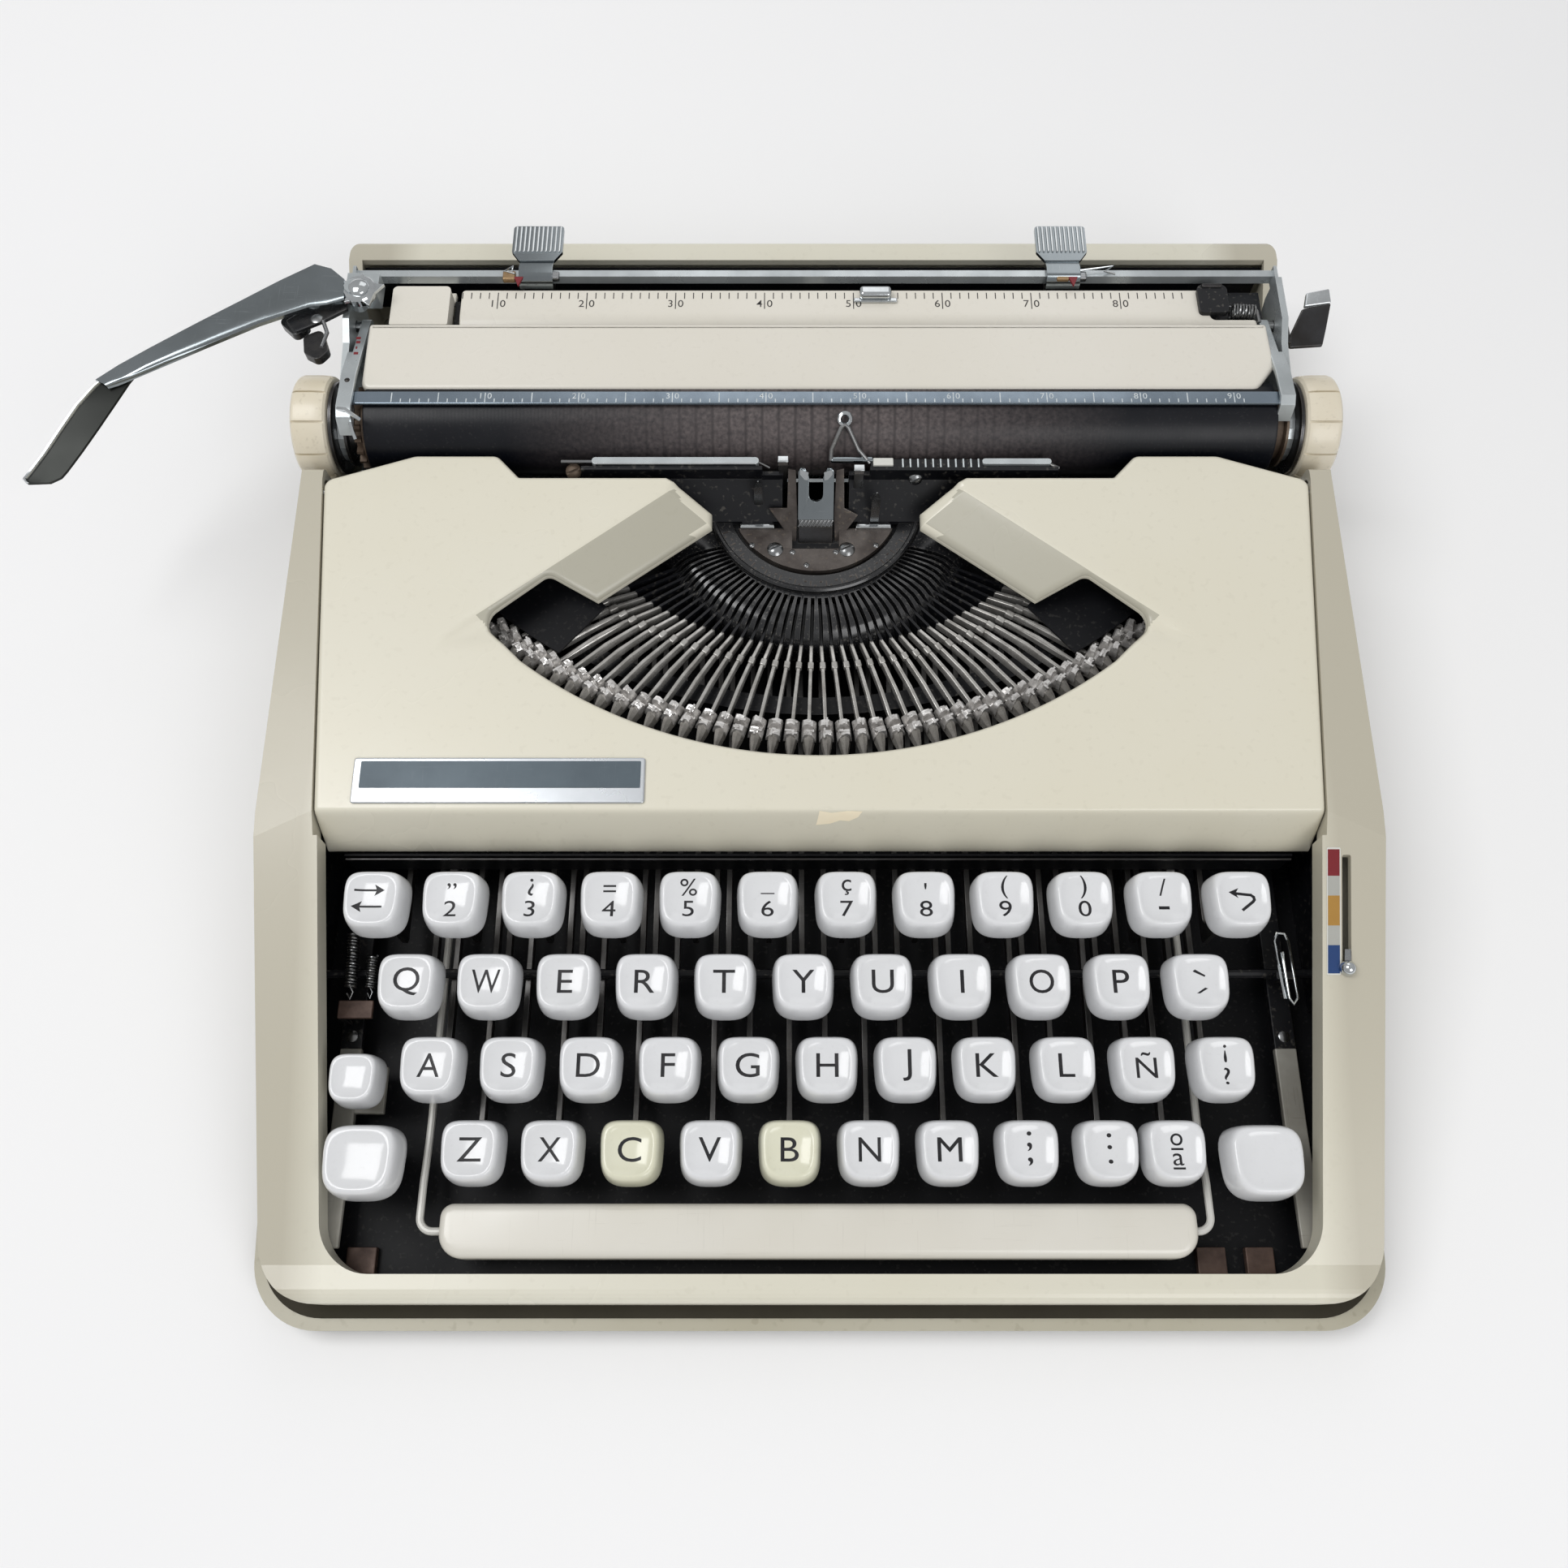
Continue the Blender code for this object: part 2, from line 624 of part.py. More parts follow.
def rounded(corners, steps=4):
    """An outline from (x, y, radius) corners, with an arc in place of each corner that has one."""
    outline = []
    for i, (x, y, radius) in enumerate(corners):
        if radius == 0:
            outline.append((x, y))
            continue
        corner = Vector((x, y))
        before = (Vector(corners[i - 1][:2]) - corner).normalized()
        after = (Vector(corners[(i + 1) % len(corners)][:2]) - corner).normalized()
        half = before.angle(after) / 2
        reach = radius / math.tan(half)
        centre = corner + (before + after).normalized() * radius / math.sin(half)
        first = corner + before * reach - centre
        sweep = (corner + after * reach - centre).angle_signed(first)
        for step in range(steps + 1):
            turn = Matrix.Rotation(sweep * step / steps, 2)
            outline.append(tuple(centre + turn @ first))
    return outline


def rectangle(half_width, front, rear, front_radius=0.0, rear_radius=0.0, steps=4):
    return rounded([
        (-half_width, front, front_radius),
        (half_width, front, front_radius),
        (half_width, rear, rear_radius),
        (-half_width, rear, rear_radius),
    ], steps)


def tapered(half_width, taper, front, rear, front_radius, rear_radius, steps):
    """A rectangle that narrows from the crease forward by the taper times the length."""
    front_half = half_width - taper * (CREASE_Y - front)
    corners = [(front_half, front, front_radius), (half_width, CREASE_Y, 0.0)]
    if rear > CREASE_Y:
        corners.append((half_width, rear, rear_radius))
    left = [(-x, y, radius) for x, y, radius in reversed(corners)]
    return rounded(corners + left, steps)


def mirrored(outline):
    """The right half of an outline, from front to rear, completed with its left half."""
    return outline + [(-x, y) for x, y in reversed(outline) if abs(x) > MERGE_DISTANCE]


def case_top_at(y):
    """Height of the case's top surface behind the crease."""
    share = (y - CREASE_Y) / (COVER_REAR - CREASE_Y)
    return CREASE_Z + (CASE_TOP - CREASE_Z) * share


# Base
def build_base():
    outer = tapered(
        BASE_HALF_WIDTH, CASE_TAPER, 0.0, BASE_REAR, BASE_FRONT_RADIUS, BASE_REAR_RADIUS, 6
    )
    pan = plate("base_pan", [outer], BASE_UNDERSIDE, BASE_TOP)
    edge_bevel(pan, BASE_EDGE, 1)
    pocket = tapered(
        BASE_HALF_WIDTH - BASE_LEDGE,
        CASE_TAPER,
        BASE_LEDGE,
        BASE_REAR - BASE_LEDGE,
        BASE_FRONT_RADIUS - BASE_LEDGE / 2,
        BASE_REAR_RADIUS / 2,
        4,
    )
    cut(pan, plate("base_pocket", [pocket], FLOOR_Z, BASE_TOP + CUT_OVERRUN))
    for side in (-1, 1):
        for y in (FOOT_INSET, BASE_REAR - FOOT_INSET):
            x = side * (BASE_HALF_WIDTH - FOOT_INSET)
            top = (x, y, BASE_UNDERSIDE + BASE_FLOOR / 2)
            foot = cylinder("foot", (x, y, 0.0), top, FOOT_RADIUS, 16, FOOT_RADIUS + FOOT_SPREAD)
            joined(pan, foot)
    node("base_shell", pan, BASE_PAINT)


# Case shell
def case_profile(inset=0.0):
    """Side outline of the case from its front foot over the top to its rear foot."""
    step_y = PLATEN_Y - KNOB_RADIUS - KNOB_CLEARANCE
    rise_start = CASE_REAR - REAR_WALL_DEPTH * 4
    wall_front = CASE_REAR - REAR_WALL_DEPTH
    slope_start = WELL_FRONT + COVER_SHEET
    return rounded([
        (CASE_FRONT + inset, CASE_BOTTOM - inset, 0.0),
        (CASE_FRONT + inset, FRONT_BAR_TOP - inset, CASE_EDGE),
        (slope_start, FRONT_BAR_TOP - inset, 0.0),
        (CREASE_Y, CREASE_Z - inset, 0.0),
        (step_y - COVER_SHEET - inset, CASE_TOP - inset, CASE_EDGE),
        (step_y - inset, SIDE_STEP_Z - inset, 0.0),
        (rise_start, SIDE_STEP_Z - inset, 0.0),
        (wall_front, REAR_WALL_TOP - inset, 0.0),
        (CASE_REAR - inset, REAR_WALL_TOP - inset, CASE_EDGE),
        (CASE_REAR - inset, CASE_BOTTOM - inset, 0.0),
    ], 3)


def well_outline(grow):
    half = WELL_HALF_WIDTH + grow
    radius = WELL_CORNER_RADIUS + grow
    return tapered(half, WELL_TAPER, WELL_FRONT - grow, CREASE_Y + grow, radius, 0.0, 5)


def cover_side(y, gap=0.0):
    """Half-width of the cover, which widens from the crease to its rear corner."""
    corner_y = COVER_REAR - COVER_CORNER_RUN
    front_half = WELL_HALF_WIDTH + COVER_SHEET / 2
    rear_half = CASE_HALF_WIDTH - COVER_REAR_INSET
    return front_half + (rear_half - front_half) * (y - CREASE_Y) / (corner_y - CREASE_Y) + gap


def build_case():
    shell = plate("case_shell", [case_profile()], -CASE_HALF_WIDTH, CASE_HALF_WIDTH, "YZ")
    plan = tapered(
        CASE_HALF_WIDTH,
        CASE_TAPER,
        CASE_FRONT,
        CASE_REAR,
        CASE_FRONT_RADIUS,
        CASE_REAR_RADIUS,
        6,
    )
    kept_inside(shell, plate("case_plan", [plan], 0.0, CASE_TOP + CUT_OVERRUN))
    edge_bevel(shell, CASE_EDGE, 2, 50)
    inner_half = CASE_HALF_WIDTH - CASE_WALL
    cavity = plate("case_cavity", [case_profile(CASE_WALL)], -inner_half, inner_half, "YZ")
    inner_plan = tapered(
        inner_half,
        CASE_TAPER,
        CASE_FRONT + CASE_WALL,
        CASE_REAR - CASE_WALL,
        CASE_FRONT_RADIUS - CASE_WALL,
        CASE_REAR_RADIUS - CASE_WALL,
        6,
    )
    kept_inside(cavity, plate("cavity_plan", [inner_plan], 0.0, CASE_TOP + CUT_OVERRUN))
    lip = plate("well_lip", [well_outline(CASE_WALL)], 0.0, CASE_TOP + CUT_OVERRUN)
    lip_floor = [
        (CASE_FRONT, FRONT_BAR_TOP - WELL_LIP),
        (WELL_FRONT + COVER_SHEET, FRONT_BAR_TOP - WELL_LIP),
        (CREASE_Y, CREASE_Z - WELL_LIP),
        (CREASE_Y + CUT_OVERRUN, CREASE_Z - WELL_LIP),
        (CREASE_Y + CUT_OVERRUN, CASE_TOP + CUT_OVERRUN * 2),
        (CASE_FRONT - CUT_OVERRUN, CASE_TOP + CUT_OVERRUN * 2),
        (CASE_FRONT - CUT_OVERRUN, FRONT_BAR_TOP - WELL_LIP),
    ]
    kept_inside(lip, plate("lip_depth", [lip_floor], -CASE_HALF_WIDTH, CASE_HALF_WIDTH, "YZ"))
    cut(cavity, lip)
    cut(shell, cavity)
    top = CASE_TOP + CUT_OVERRUN
    low = CASE_BOTTOM + CASE_WALL
    cut(shell, plate("well_cut", [well_outline(0.0)], low, top))
    corner_y = COVER_REAR - COVER_CORNER_RUN
    bay = [
        (cover_side(COVER_FRONT, SEAM_GAP), COVER_FRONT),
        (cover_side(corner_y, SEAM_GAP), corner_y),
        (cover_side(corner_y, SEAM_GAP), PLATEN_Y),
    ]
    cut(shell, plate("cover_bay", [mirrored(bay)], low, top))
    carriage_front = PLATEN_Y - KNOB_RADIUS - KNOB_CLEARANCE
    carriage_bay = rectangle(
        CASE_HALF_WIDTH - SIDE_RIM, carriage_front, CASE_REAR - REAR_WALL_DEPTH
    )
    cut(shell, plate("carriage_bay", [carriage_bay], low, top))
    hinge_y = COVER_REAR - HINGE_SETBACK
    hinge_z = case_top_at(hinge_y) - HINGE_PIN_DEPTH
    slot_low, slot_high = selector_ends()
    for side in (-1, 1):
        seam_x = cover_side(hinge_y + HINGE_BOSS, SEAM_GAP)
        low_corner = (seam_x, hinge_y - HINGE_BOSS, hinge_z - HINGE_BOSS)
        high_corner = (
            CASE_HALF_WIDTH - CASE_WALL / 2,
            hinge_y + HINGE_BOSS,
            hinge_z + HINGE_PIN_RADIUS,
        )
        xs = sorted((side * low_corner[0], side * high_corner[0]))
        boss = box("hinge_boss", (xs[0], *low_corner[1:]), (xs[1], *high_corner[1:]))
        joined(shell, boss)
    for side in (-1, 1):
        seam_x = cover_side(hinge_y)
        start = (side * (seam_x - HINGE_BOSS), hinge_y, hinge_z)
        end = (side * (seam_x + HINGE_PIN_REACH + SEAM_GAP), hinge_y, hinge_z)
        bore = cylinder("hinge_bore", start, end, HINGE_PIN_RADIUS + HINGE_BORE_GAP, 12)
        cut(shell, bore)
    up = rail_slope()
    slot = rectangle(
        SELECTOR_SLOT_WIDTH / 2,
        slot_low[1] - SELECTOR_STEM,
        slot_high[1] + SELECTOR_STEM,
    )
    slot = [(slot_low.x + x + (y - slot_low.y) * up.x / up.y, y) for x, y in slot]
    cut(shell, plate("selector_slot", [slot], low, top))
    node("upper_housing", shell, CASE_PAINT)


# Ribbon cover
def horn_plane_z(x, y):
    """Height on the sloping inner face of a horn, a plane through its two upper ends and its heel."""
    rear = Vector((HORN_TOP_X, COVER_REAR - COVER_NOTCH_DEPTH, 0.0))
    rear.z = case_top_at(rear.y)
    lobe = Vector((LOBE_TOP_X, rear.y - LOBE_TOP_SETBACK, 0.0))
    lobe.z = case_top_at(lobe.y)
    heel = Vector((HORN_HEEL_X, rear.y - HORN_HEEL_SETBACK, rear.z - HORN_HEEL_DROP))
    normal = (lobe - rear).cross(heel - rear)
    return rear.z - (normal.x * (x - rear.x) + normal.y * (y - rear.y)) / normal.z


def build_cover():
    face_foot = CREASE_Z - COVER_FACE_DROP
    sheet = COVER_SHEET
    profile = [
        (COVER_FRONT, face_foot),
        (CREASE_Y, CREASE_Z),
        (COVER_REAR, CASE_TOP),
        (COVER_REAR, CASE_TOP - sheet),
        (CREASE_Y + sheet / 2, CREASE_Z - sheet),
        (COVER_FRONT + sheet, face_foot),
    ]
    half = CASE_HALF_WIDTH
    cover = plate("cover_sheet", [profile], -half, half, "YZ")
    corner_y = COVER_REAR - COVER_CORNER_RUN
    horn_y = COVER_REAR - COVER_NOTCH_DEPTH
    arc_half = LOBE_LOW_X
    arc_rise = OPENING_SETBACK - LOBE_LOW_SETBACK
    arc_radius = (arc_half**2 + arc_rise**2) / (2 * arc_rise)
    arc_span = math.asin(arc_half / arc_radius)
    arc_centre = (0.0, horn_y - OPENING_SETBACK + arc_radius)
    bottom = math.radians(270)
    opening = arc(arc_centre, arc_radius, bottom + arc_span, bottom - arc_span, 16)
    right = rounded([
        (cover_side(COVER_FRONT - CUT_OVERRUN), COVER_FRONT - CUT_OVERRUN, 0.0),
        (cover_side(corner_y), corner_y, 0.0),
        (COVER_SHOULDER_X, COVER_REAR, 0.0),
        (COVER_NOTCH_X, COVER_REAR, 0.0),
        (COVER_NOTCH_X - COVER_NOTCH_RUN, horn_y, 0.0),
        (HORN_TOP_X, horn_y, 0.0),
        (LOBE_TOP_X, horn_y - LOBE_TOP_SETBACK, 0.0),
        (LOBE_SIDE_X, horn_y - LOBE_SIDE_SETBACK, 4.0 * MM),
        opening[0] + (0.0,),
    ], 3)
    left = [(-x, y) for x, y in reversed(right)]
    plan = right + opening[1:-1] + left
    kept_inside(cover, plate("cover_plan", [plan], face_foot - CUT_OVERRUN, CASE_TOP + CUT_OVERRUN))
    for side in (-1, 1):
        joined(cover, build_horn_face(side, horn_y))
        hinge_y = COVER_REAR - HINGE_SETBACK
        hinge_z = case_top_at(hinge_y) - HINGE_PIN_DEPTH
        seam_x = cover_side(hinge_y)
        inner = (side * (seam_x - HINGE_BOSS), hinge_y, hinge_z)
        outer = (side * (seam_x + HINGE_PIN_REACH), hinge_y, hinge_z)
        joined(cover, cylinder("hinge_pin", inner, outer, HINGE_PIN_RADIUS, 10))
    node("ribbon_cover", cover, CASE_PAINT, (0.0, hinge_y, hinge_z))


def build_horn_face(side, horn_y):
    outline = [
        (HORN_TOP_X, horn_y),
        (HORN_TIP_X, horn_y - HORN_TIP_SETBACK),
        (HORN_TIP_X, horn_y - HORN_TIP_SETBACK - HORN_TIP_LENGTH),
        (HORN_HEEL_X, horn_y - HORN_HEEL_SETBACK),
        (LOBE_TOP_X, horn_y - LOBE_TOP_SETBACK),
    ]
    run = Vector(outline[-1]) - Vector(outline[0])
    outward = Vector((-run.y, run.x)).normalized() * JOIN_DEPTH * 2
    points = []
    for x, y in outline:
        z = horn_plane_z(x, y)
        points.append((side * x, y, z))
        points.append((side * x, y, z - COVER_SHEET))
    for x, y in (outline[0], outline[-1]):
        deep_x = x + abs(outward.x)
        deep_y = y + abs(outward.y) if y < horn_y else y - JOIN_DEPTH
        z = case_top_at(deep_y) - JOIN_DEPTH
        points.append((side * deep_x, deep_y, z))
        points.append((side * deep_x, deep_y, z - COVER_SHEET + JOIN_DEPTH * 1.5))
    return hull("horn_face", points)


# Key caps and levers
def cap_ring(centre, width, depth, z):
    """A rounded square that is a little narrower towards the typist."""
    ring = []
    for i in range(CAP_POINTS):
        angle = 2 * math.pi * (i + 0.5) / CAP_POINTS
        across = math.cos(angle)
        along = math.sin(angle)
        power = 2 / CAP_SQUARENESS
        x = width / 2 * math.copysign(abs(across) ** power, across)
        y = depth / 2 * math.copysign(abs(along) ** power, along)
        ring.append((centre[0] + x * (1 + 0.05 * along), centre[1] + y, z))
    return ring


def key_cap(centre, top, width, depth):
    rings = []
    for width_share, depth_share, drop_share in CAP_SECTION_SHARES:
        z = top - CAP_HEIGHT * drop_share
        rings.append(cap_ring(centre, width * width_share, depth * depth_share, z))
    return loft("key_cap", rings, (*centre, top - CAP_DISH))


def lever_top(y):
    """Upper edge of every key lever, which rises a little towards the typist."""
    share = (LEVER_SHAFT_Y - y) / (LEVER_SHAFT_Y - FRONT_ROW_Y)
    return LEVER_SHAFT_Z + LEVER_OVER_SHAFT + LEVER_RISE * share


def hook_outline():
    """The saddle that sits over the shaft, from its front leg to its rear leg."""
    low = LEVER_SHAFT_Z - HOOK_LEG
    front = LEVER_SHAFT_Y - HOOK_RADIUS - HOOK_WALL
    rear = LEVER_SHAFT_Y + HOOK_RADIUS + HOOK_WALL
    saddle = arc((LEVER_SHAFT_Y, LEVER_SHAFT_Z), HOOK_RADIUS, math.pi, 0.0, HOOK_STEPS)
    legs = [(LEVER_SHAFT_Y - HOOK_RADIUS, low)] + saddle + [(LEVER_SHAFT_Y + HOOK_RADIUS, low)]
    return [(front, low)] + legs + [(rear, low), (rear, lever_top(LEVER_SHAFT_Y))]


def key_lever(x, key_y, cap_bottom):
    """Side outline of lever and stem in one strip."""
    stem_front = key_y - STEM_WIDTH / 2
    stem_rear = key_y + STEM_WIDTH / 2
    stem_top = cap_bottom + STEM_INTO_CAP
    hook = hook_outline()
    front_leg = hook[0][0]
    outline = [
        (stem_front, stem_top),
        (stem_front, lever_top(key_y) - LEVER_DEPTH),
        (front_leg, lever_top(front_leg) - LEVER_DEPTH),
    ]
    outline += hook + [(stem_rear, lever_top(stem_rear)), (stem_rear, stem_top)]
    half = LEVER_THICKNESS / 2
    return plate("key_lever", [outline], x - half, x + half, "YZ")


def row_y(row):
    return FRONT_ROW_Y + row * ROW_PITCH


def row_top(row):
    return FRONT_ROW_TOP + row * ROW_RISE


def key_mesh(row):
    """The mesh that all keys of one row share, with its origin on the lever shaft."""
    y = row_y(row)
    top = row_top(row)
    body = key_cap((0.0, y), top, CAP_WIDTH, CAP_DEPTH)
    lever = key_lever(0.0, y, top - CAP_HEIGHT)
    joined(body, lever)
    bpy.context.view_layer.update()
    graph = bpy.context.evaluated_depsgraph_get()
    mesh = bpy.data.meshes.new_from_object(body.evaluated_get(graph))
    mesh.transform(Matrix.Translation((0.0, -LEVER_SHAFT_Y, -LEVER_SHAFT_Z)))
    bpy.data.objects.remove(body)
    bpy.data.objects.remove(lever)
    return mesh


def place_key(name, mesh, x):
    if name in YELLOWED_KEYS:
        mesh = mesh.copy()
    body = helper(name, mesh)
    body.location = (x, LEVER_SHAFT_Y, LEVER_SHAFT_Z)
    pivot = Vector(body.location)
    finish = YELLOWED_PLASTIC if name in YELLOWED_KEYS else KEY_PLASTIC
    body.data.materials.clear()
    body.data.materials.append(finish)
    body.hide_render = False
    body.display_type = "TEXTURED"
    helpers.objects.unlink(body)
    parts.objects.link(body)
    body.data.shade_smooth()
    body.data.set_sharp_from_angle(angle=math.radians(35))
    return pivot


def build_keys():
    for row, names in enumerate(ROWS):
        mesh = key_mesh(row)
        for i, name in enumerate(names):
            place_key(name, mesh, (ROW_START_SHARES[row] + i) * KEY_PITCH)
        if row == 0:
            place_key("key_ordinal", mesh, ORDINAL_KEY_SHARE * KEY_PITCH)


# Space bar
def build_space_bar():
    left = SPACE_BAR_LEFT_SHARE * KEY_PITCH
    right = SPACE_BAR_RIGHT_SHARE * KEY_PITCH
    front = WELL_FRONT + SPACE_BAR_FROM_WELL
    rear = front + SPACE_BAR_DEPTH
    radius = SPACE_BAR_DEPTH * 0.49
    outline = rounded([
        (left, front, radius), (right, front, radius), (right, rear, radius), (left, rear, radius),
    ], 4)
    bar = plate("space_bar", [outline], SPACE_BAR_TOP - SPACE_BAR_HEIGHT, SPACE_BAR_TOP)
    edge_bevel(bar, SPACE_BAR_EDGE, 1, 50)
    wire_y = (front + rear) / 2
    wire_z = SPACE_BAR_TOP - SPACE_BAR_HEIGHT / 2
    lever_front = LEVER_SHAFT_Y - SPACE_LEVER_LENGTH
    lever_z = lever_top(lever_front) - LEVER_DEPTH / 2
    bend = SPACE_WIRE_RADIUS * 3
    for side, share in ((-1, SPACE_WIRE_LEFT_SHARE), (1, SPACE_WIRE_RIGHT_SHARE)):
        x = share * KEY_PITCH
        inner = (left if side < 0 else right) - side * SPACE_WIRE_INSET
        points = [
            (inner, wire_y, wire_z),
            (x - side * bend, wire_y, wire_z),
            (x, wire_y + bend, wire_z),
            (x, wire_y + bend * 3, lever_z),
            (x, lever_front + SPACE_WIRE_INSET, lever_z),
        ]
        joined(bar, wire("space_wire", points, SPACE_WIRE_RADIUS))
        hook = hook_outline()
        front_leg = hook[0][0]
        outline = [
            (lever_front, lever_top(lever_front)),
            (lever_front, lever_top(lever_front) - LEVER_DEPTH),
            (front_leg, lever_top(front_leg) - LEVER_DEPTH),
        ] + hook
        half = LEVER_THICKNESS / 2
        joined(bar, plate("space_lever", [outline], x - half, x + half, "YZ"))
    node("space_bar", bar, SPACE_PLASTIC, (0.0, LEVER_SHAFT_Y, LEVER_SHAFT_Z))


# Shift frame
def build_shift_frame():
    shaft_y = LEVER_SHAFT_Y - SHIFT_SHAFT_AHEAD
    reach = SIDE_PLATE_X + SIDE_PLATE_THICKNESS
    frame = cylinder(
        "shift_shaft",
        (-reach, shaft_y, SHIFT_SHAFT_Z),
        (reach, shaft_y, SHIFT_SHAFT_Z),
        SHIFT_SHAFT_RADIUS,
        12,
    )
    shift_y = FRONT_ROW_Y - SHIFT_SETBACK
    lock_y = shift_y + LOCK_SETBACK + SHIFT_SETBACK
    outer = WELL_HALF_WIDTH - SHIFT_BAR_INSET
    inner = outer - SHIFT_BAR_WIDTH
    low = SHIFT_BAR_Z
    high = SHIFT_BAR_Z + SHIFT_BAR_HEIGHT
    caps = (
        (-1, SHIFT_LEFT_SHARE, shift_y, SHIFT_CAP_TOP, SHIFT_CAP_WIDTH, SHIFT_CAP_DEPTH),
        (1, SHIFT_RIGHT_SHARE, shift_y, SHIFT_CAP_TOP, SHIFT_CAP_WIDTH, SHIFT_CAP_DEPTH),
        (-1, LOCK_SHARE, lock_y, LOCK_CAP_TOP, LOCK_CAP_WIDTH, LOCK_CAP_DEPTH),
    )
    for side in (-1, 1):
        xs = sorted((side * inner, side * outer))
        front = shift_y - SHIFT_TAB_DEPTH / 2
        joined(frame, box("shift_bar", (xs[0], front, low), (xs[1], shaft_y, high)))
        tab_low = SHIFT_SHAFT_Z - SHIFT_SHAFT_RADIUS / 2
        tab_front = shaft_y - SHIFT_SHAFT_RADIUS * 1.5
        joined(frame, box("shift_hanger", (xs[0], tab_front, tab_low), (xs[1], shaft_y, high)))
    for side, share, y, top, width, depth in caps:
        x = share * KEY_PITCH
        ends = sorted((side * (inner + JOIN_DEPTH), x - side * SHIFT_POST))
        tab_front = y - SHIFT_TAB_DEPTH / 2 + JOIN_DEPTH
        tab_rear = y + SHIFT_TAB_DEPTH / 2
        joined(frame, box("shift_tab", (ends[0], tab_front, low), (ends[1], tab_rear, high)))
        foot = (x - SHIFT_POST / 2, y - SHIFT_POST / 2, low + JOIN_DEPTH)
        head = (x + SHIFT_POST / 2, y + SHIFT_POST / 2, top - CAP_HEIGHT + STEM_INTO_CAP)
        joined(frame, box("shift_post", foot, head), key_cap((x, y), top, width, depth))
    node("shift_frame", frame, KEY_PLASTIC, (0.0, shaft_y, SHIFT_SHAFT_Z))


# Chassis
def build_chassis():
    beam_front = LEVER_SHAFT_Y + HOOK_RADIUS + HOOK_WALL + SEAT_GAP * 2
    beam_rear = beam_front + CROSS_BEAM_DEPTH
    rail_front = PLATEN_Y + RAIL_BEHIND_PLATEN
    rail_top = carriage_floor() - SEAT_GAP
    rod_y = BACK_ROW_Y - STOP_ROD_AHEAD
    rod_z = lever_top(rod_y) + SEAT_GAP + STOP_ROD_RADIUS
    low = FLOOR_Z + SEAT_GAP
    side_outline = [
        (rod_y - SIDE_PLATE_FRONT, low),
        (CASE_REAR - REAR_WALL_DEPTH * 2, low),
        (CASE_REAR - REAR_WALL_DEPTH * 2, SIDE_PLATE_REAR_TOP),
        (COVER_REAR, SIDE_PLATE_REAR_TOP),
        (COVER_REAR - CROSS_BEAM_DEPTH, SIDE_PLATE_DECK_TOP),
        (CREASE_Y + DECK_FRONT, SIDE_PLATE_DECK_TOP),
        (COVER_FRONT, SIDE_PLATE_FRONT_TOP),
        (rod_y - SIDE_PLATE_FRONT, SIDE_PLATE_FRONT_TOP),
    ]
    shift_centre = (LEVER_SHAFT_Y - SHIFT_SHAFT_AHEAD, SHIFT_SHAFT_Z)
    bore = arc(shift_centre, SHIFT_SHAFT_RADIUS + SEAT_GAP, 0.0, 2 * math.pi, 12)[:-1]
    sides = []
    for side in (-1, 1):
        xs = sorted((side * SIDE_PLATE_X, side * (SIDE_PLATE_X + SIDE_PLATE_THICKNESS)))
        sides.append(plate("side_plate", [side_outline, bore], xs[0], xs[1], "YZ"))
    chassis = sides[0]
    reach = SIDE_PLATE_X + SIDE_PLATE_THICKNESS / 2
    joined(chassis, box(
        "cross_beam",
        (-reach, beam_front, LEVER_SHAFT_Z),
        (reach, beam_rear, segment_floor() - SEAT_GAP),
    ))
    joined(chassis, sides[1])
    joined(
        chassis,
        cylinder(
            "lever_shaft",
            (-reach, LEVER_SHAFT_Y, LEVER_SHAFT_Z),
            (reach, LEVER_SHAFT_Y, LEVER_SHAFT_Z),
            LEVER_SHAFT_RADIUS,
            12,
        ),
        cylinder("stop_rod", (-reach, rod_y, rod_z), (reach, rod_y, rod_z), STOP_ROD_RADIUS, 10),
        box(
            "carriage_rail",
            (-reach, rail_front, SIDE_PLATE_REAR_TOP - RAIL_ROOT),
            (reach, rail_front + RAIL_DEPTH, rail_top),
        ),
    )
    bed_front = segment_centre()[1] - SEGMENT_INNER_RADIUS
    bed_half = SEGMENT_OUTER_RADIUS + COMB_HEIGHT
    bed_top = segment_floor() - SEAT_GAP
    joined(chassis, box(
        "segment_bed",
        (-bed_half, bed_front, bed_top - DECK_THICKNESS),
        (bed_half, beam_rear - JOIN_DEPTH, bed_top),
    ))
    joined(chassis, build_type_rest())
    for side in (-1, 1):
        xs = sorted((side * DECK_INNER_X, side * reach))
        deck_front = CREASE_Y + DECK_FRONT
        joined(chassis, box(
            "ribbon_deck",
            (xs[0], deck_front, DECK_Z),
            (xs[1], deck_front + DECK_LENGTH, DECK_Z + DECK_THICKNESS),
        ))
        joined(chassis, build_spool(side))
    node("chassis", chassis, BLACK_STEEL)


